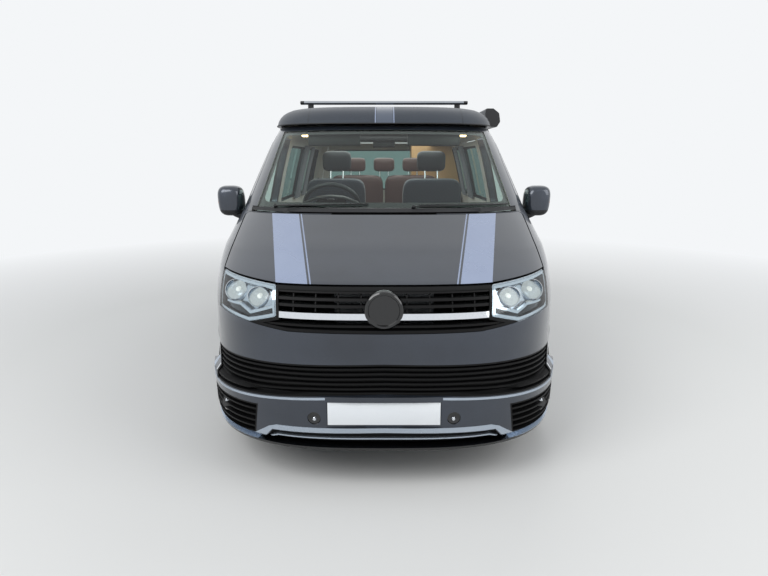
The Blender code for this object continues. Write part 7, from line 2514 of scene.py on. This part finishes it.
            dial = Solid.turned(DIAL_PROFILE, 48, False)
            dial.moved(Matrix.Translation((-0.355 + turn * 0.058, station_y(1.472), 1.248)) @ TAILWARD)
            dress(dial, f"dashboard_dial_{'left' if turn > 0 else 'right'}", GLOSS_BLACK)
        lever = Solid.sweep([(0.0, 1.505, 1.010), (0.0, 1.555, 1.050), (0.0, 1.575, 1.095)], 0.008, 0.008, 14)
        lever.join(Solid.sweep([(0.0, 1.572, 1.085), (0.0, 1.580, 1.105), (0.0, 1.584, 1.132)], 0.020, 0.020, 20, 2.6))
        dress(lever, "shift_lever", SATIN_BLACK)

    def _steering_wheel(self) -> None:
        """Steering wheel: padded rim, three spokes, boss and column shroud with two stalks."""
        centre, radius, tube = Vector((-0.355, station_y(1.520), 1.235)), 0.185, 0.0145
        root = Vector((-0.355, station_y(1.330), 1.090))
        axis = (centre - root).normalized()
        frame = axis.to_track_quat("Z", "Y").to_matrix().to_4x4()

        def placed(x: float, y: float, z: float = 0.0) -> Point3:
            """A place in the wheel's own frame, as (x, station, z)."""
            spot = centre + frame.to_3x3() @ Vector((x, y, z))
            return spot.x, spot.y + LENGTH / 2, spot.z

        ring = []
        for step in range(14):
            angle = 2 * math.pi * step / 14
            ring.append((radius + tube * math.cos(angle), tube * math.sin(angle)))
        wheel = Solid.turned(ring, 72)
        wheel.moved(Matrix.Translation(centre) @ frame @ UPRIGHT)
        for angle in (math.radians(8), math.radians(172), math.radians(270)):
            x, y = math.cos(angle) * radius, math.sin(angle) * radius
            spoke = [placed(0, 0, -0.012), placed(x * 0.6, y * 0.6, -0.010), placed(x, y)]
            wheel.join(Solid.sweep(spoke, 0.016, 0.007, 14, 3.0))
        dress(wheel, "steering_wheel_rim", SEAT_HIDE, crease=50)
        boss = Solid.turned(BOSS_PROFILE, 48, False)
        boss.moved(Matrix.Translation(centre) @ frame @ UPRIGHT)
        dress(boss, "steering_wheel_boss", GRAINED_BLACK)
        column = Solid.rod((root.x, root.y + LENGTH / 2, root.z), placed(0, 0, -0.028), 0.046, 40, 0.040)
        dress(column, "steering_column", GRAINED_BLACK)
        for turn in (-1, 1):
            stalk = Solid.sweep([placed(0.03 * turn, 0.0, -0.05), placed(0.10 * turn, 0.015, -0.045),
                                 placed(0.155 * turn, 0.03, -0.035)], 0.006, 0.006, 12)
            dress(stalk, f"column_stalk_{'left' if turn > 0 else 'right'}", SATIN_BLACK)

    def _kitchen(self) -> None:
        """Kitchen unit: oak body with doors, stone worktop, sink and hob."""
        low, high, front, back = self.floor_top, 1.122, 2.420, 3.040
        body = Solid.box((-0.893, front, low), (-0.612, back, high), 0.004, 2)
        body.common(self.van.body.solid(WALL + 0.004, 0.0, 0.3, 1.3))
        dress(body.largest(), "kitchen_body", OAK, "root", ("kitchen_unit",))
        for number in range(3):
            one = front + 0.008 + number * 0.204
            door = Solid.box((-0.6125, one, low + 0.06), (-0.6005, one + 0.196, high - 0.010), 0.002, 2)
            door.cut(Solid.box((-0.606, one + 0.05, high - 0.055), (-0.59, one + 0.146, high - 0.040), 0.003, 2))
            dress(door, f"kitchen_door_{number + 1}", OAK)
        top = Solid.box((-0.893, front, high), (-0.600, back, 1.149), 0.006, 3)
        top.common(self.van.body.solid(WALL + 0.004, 0.0, 0.3, 1.3))
        top.cut(Solid.box((-0.800, 2.490, 1.02), (-0.660, 2.690, 1.2), 0.02, 4))
        dress(top.largest(), "kitchen_worktop", WORKTOP)
        bowl = Solid.box((-0.799, 2.491, 1.040), (-0.661, 2.689, 1.1505), 0.018, 4)
        bowl.cut(Solid.box((-0.793, 2.497, 1.046), (-0.667, 2.683, 1.30), 0.014, 4))
        dress(bowl, "kitchen_sink", STAINLESS)
        for number, station in enumerate((2.80, 2.93), 1):
            ring = Solid.turned(BURNER_PROFILE, 40, False)
            ring.moved(Matrix.Translation((-0.730, station_y(station), 1.1488)) @ UPRIGHT)
            dress(ring, f"kitchen_burner_{number}", SATIN_BLACK)

    def _wardrobe(self) -> None:
        """Wardrobe: oak body with two doors and push knobs, seen from the front over the bench."""
        body = Solid.box((0.304, 4.030, self.floor_top), (0.610, 4.518, 1.713), 0.004, 2)
        body.join(Solid.box((0.600, 4.030, 0.775), (0.846, 4.430, 1.690), 0.004, 2))
        body.common(self.van.body.solid(WALL + 0.004, 0.0, 0.3, 1.76))
        body.cut(Solid.box((0.57, 4.0, 0.56), (0.574, 4.034, 1.70)))
        dress(body.largest(), "wardrobe_body", OAK, "root", ("wardrobe",))
        for number, x in enumerate((0.548, 0.598), 1):
            knob = Solid.turned(KNOB_PROFILE, 28, False)
            knob.moved(Matrix.Translation((x, station_y(4.030), 1.20)) @ FRONTWARD)
            dress(knob, f"wardrobe_knob_{number}", STAINLESS)

    def _floor(self) -> None:
        """Vinyl floor over the cabin's boards."""
        floor = Solid.box((-0.886, 1.50, self.floor_top + 0.0003), (0.886, 4.56, self.floor_top + 0.003))
        floor.common(self.van.body.solid(WALL + 0.006, 0.0, 0.3, 0.8))
        floor.cut(*[self.van.arches(axle, ARCH_RADIUS + 0.03, 0.4) for axle in (REAR_AXLE, FRONT_AXLE)])
        dress(floor.largest(), "cabin_floor", VINYL_FLOOR)

    def _headlining(self) -> None:
        """Header, sun visors, inner mirror and two warm reading lamps."""
        skin = self.van.body
        for side in Side:
            x = side.value * 0.33
            path = [(x + k * 0.058, skin.nose_station(x + k * 0.058, 1.690) + 0.085, 1.668) for k in range(-3, 4)]
            visor = Solid.sweep(path, 0.010, 0.038, 16, 3.5)
            dress(visor, f"sun_visor_{side.word}", SATIN_BLACK)
            lamp = Solid.turned(LAMP_PROFILE, 32, False)
            lamp.moved(Matrix.Translation((side.value * 0.615, station_y(2.2), 1.722)) @ UPRIGHT)
            dress(lamp, f"reading_lamp_{side.word}", WARM_SPOT)
        run = [(-0.165, 1.745, 1.688), (0.0, 1.735, 1.688), (0.165, 1.745, 1.688)]
        console = Solid.sweep(run, 0.028, 0.022, 16, 4.0)
        dress(console, "header_console", GRAINED_BLACK)
        run = [(-0.075, 1.765, 1.655), (0.0, 1.752, 1.655), (0.075, 1.765, 1.655)]
        mirror = Solid.sweep(run, 0.012, 0.030, 20, 3.5)
        mirror.join(Solid.rod((0.0, 1.757, 1.670), (0.0, 1.735, 1.708), 0.008, 16))
        dress(mirror, "inner_mirror", SATIN_BLACK)


def seen_by_eye(tree: bpy.types.NodeTree) -> bpy.types.NodeSocket:
    """One for rays that the camera sees straight on, in a mirror or through glass.

    Args:
        tree: Node tree that it is added to.

    Returns:
        The socket.
    """
    rays = add_node(tree, "ShaderNodeLightPath").outputs
    seen = rays["Is Camera Ray"]
    for name in ("Is Transmission Ray", "Is Glossy Ray"):
        seen = add_node(tree, "ShaderNodeMath", {0: seen, 1: rays[name]}, operation="MAXIMUM").outputs[0]
    return seen


@dataclass
class Studio:
    """Plain pale floor, soft light and the camera at the photograph's angle."""

    photo_width: float = 768.0
    focal_pixels: float = 580.0
    pitch: float = 12.45
    camera_height: float = 1.54
    camera_ahead: float = 2.47
    backdrop: str = "#F4F6F8"

    def build(self) -> None:
        """Makes the floor, lights, world and camera."""
        bpy.context.scene.view_settings.view_transform = "Standard"
        self._floor()
        self._lights()
        self._world()
        self._camera()

    def _camera(self) -> None:
        """Camera at the place and angle that the photograph was taken from."""
        data = bpy.data.cameras.new("camera")
        camera = bpy.data.objects.new("camera", data)
        bpy.context.scene.collection.objects.link(camera)
        data.sensor_width = 36.0
        data.lens = self.focal_pixels / self.photo_width * data.sensor_width
        camera.location = (0.0, station_y(-self.camera_ahead), self.camera_height)
        camera.rotation_euler = (math.radians(90 - self.pitch), 0.0, 0.0)
        bpy.context.scene.camera = camera

    def _floor(self) -> None:
        """Pale floor that shows white to the camera but for the shadow that falls on it."""
        shape = bmesh.new()
        bmesh.ops.create_grid(shape, x_segments=2, y_segments=2, size=40)
        mesh = bpy.data.meshes.new("floor")
        shape.to_mesh(mesh)
        shape.free()
        floor = bpy.data.objects.new("floor", mesh)
        bpy.context.scene.collection.objects.link(floor)
        made = bpy.data.materials.new("pale_floor")
        made.use_nodes = True
        tree = made.node_tree
        shader = tree.nodes["Principled BSDF"]
        shader.inputs["Base Color"].default_value = linear("#DEDEDC")
        shader.inputs["Roughness"].default_value = 0.9
        place = add_node(tree, "ShaderNodeTexCoord").outputs["Object"]
        reach = add_node(tree, "ShaderNodeVectorMath", {0: place}, operation="LENGTH")
        fade = add_node(tree, "ShaderNodeMapRange", {"Value": reach.outputs["Value"], "From Min": 3.0, "From Max": 7.5})
        share = add_node(tree, "ShaderNodeMath", {0: fade.outputs[0], 1: seen_by_eye(tree)}, operation="MULTIPLY")
        backdrop = add_node(tree, "ShaderNodeEmission", {"Color": linear(self.backdrop), "Strength": 1.0})
        mix = add_node(
            tree, "ShaderNodeMixShader", {0: share.outputs[0], 1: shader.outputs[0], 2: backdrop.outputs[0]}
        )
        tree.links.new(mix.outputs[0], tree.nodes["Material Output"].inputs["Surface"])
        mesh.materials.append(made)

    def _lights(self) -> None:
        """Three large soft lights round the vehicle and a faint one in its cabin."""
        for name, place, size, power in (
            ("key", (-4.5, -6.0, 6.0), 5.0, 340.0),
            ("fill", (5.5, -4.0, 4.0), 5.0, 180.0),
            ("rim", (2.0, 7.5, 6.0), 5.0, 220.0),
        ):
            data = bpy.data.lights.new(name, "AREA")
            data.energy = power
            data.size = size
            lamp = bpy.data.objects.new(name, data)
            bpy.context.scene.collection.objects.link(lamp)
            lamp.location = place
            lamp.rotation_euler = (Vector((0, 0, 0.8)) - Vector(place)).to_track_quat("-Z", "Y").to_euler()
            lamp.visible_glossy = name != "rim"
        data = bpy.data.lights.new("cabin", "AREA")
        data.energy, data.shape, data.size, data.size_y = 16.0, "RECTANGLE", 1.0, 2.6
        lamp = bpy.data.objects.new("cabin", data)
        bpy.context.scene.collection.objects.link(lamp)
        lamp.location = (0.0, station_y(2.9), 1.70)

    def _world(self) -> None:
        """Pale even light, and a plain backdrop where the camera sees past everything."""
        world = bpy.data.worlds.new("studio")
        bpy.context.scene.world = world
        world.use_nodes = True
        tree = world.node_tree
        tree.nodes.clear()
        plain = add_node(tree, "ShaderNodeBackground", {"Color": linear("#E9EDF2"), "Strength": 0.62})
        pale = add_node(tree, "ShaderNodeBackground", {"Color": linear(self.backdrop), "Strength": 1.0})
        mix = add_node(tree, "ShaderNodeMixShader", {0: seen_by_eye(tree), 1: plain.outputs[0], 2: pale.outputs[0]})
        add_node(tree, "ShaderNodeOutputWorld", {"Surface": mix.outputs[0]})


def dress_frame(nodes: dict) -> None:
    """Gives the CAD nodes that stay in view their real finishes.

    Args:
        nodes: The CAD's objects by name.
    """
    finishes = {
        "floor_structure": UNDERSEAL, "engine": CAST_BLOCK, "front_axle": UNDERSEAL, "rear_axle": UNDERSEAL,
        "exhaust": EXHAUST_STEEL, "knuckle_left": CALIPER, "knuckle_right": CALIPER, "radiator": SATIN_BLACK,
        "front_seat_left": SEAT_CLOTH, "front_seat_right": SEAT_CLOTH, "rear_bench": BENCH_HIDE, "kitchen_unit": OAK,
        "wardrobe": OAK,
    }
    for name, node in nodes.items():
        finish = finishes.get(name, GRAINED_BLACK)
        for slot in node.material_slots:
            slot.material = finish.build()


def main() -> None:
    """Loads the frame and builds every sub-assembly in order."""
    logging.basicConfig(level=logging.INFO, format="%(message)s")
    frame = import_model()
    dress_frame(frame["nodes"])
    van = Envelope()
    shell = van.shell()
    glass = van.body.solid(GLASS_DEPTH).cut(van.body.solid(GLASS_DEPTH + GLASS_THICKNESS, -FAR))
    Nose(van, shell).build()
    for side in Side:
        Flank(van, shell, glass, side).build()
    Top(van, shell, glass).build()
    shell.drop()
    glass.drop()
    Fittings(van).build()
    for row in ("front", "rear"):
        for side in Side:
            Wheel(row, side).build()
    Cabin(van).build()
    Studio().build()


if __name__ == "__main__":
    main()
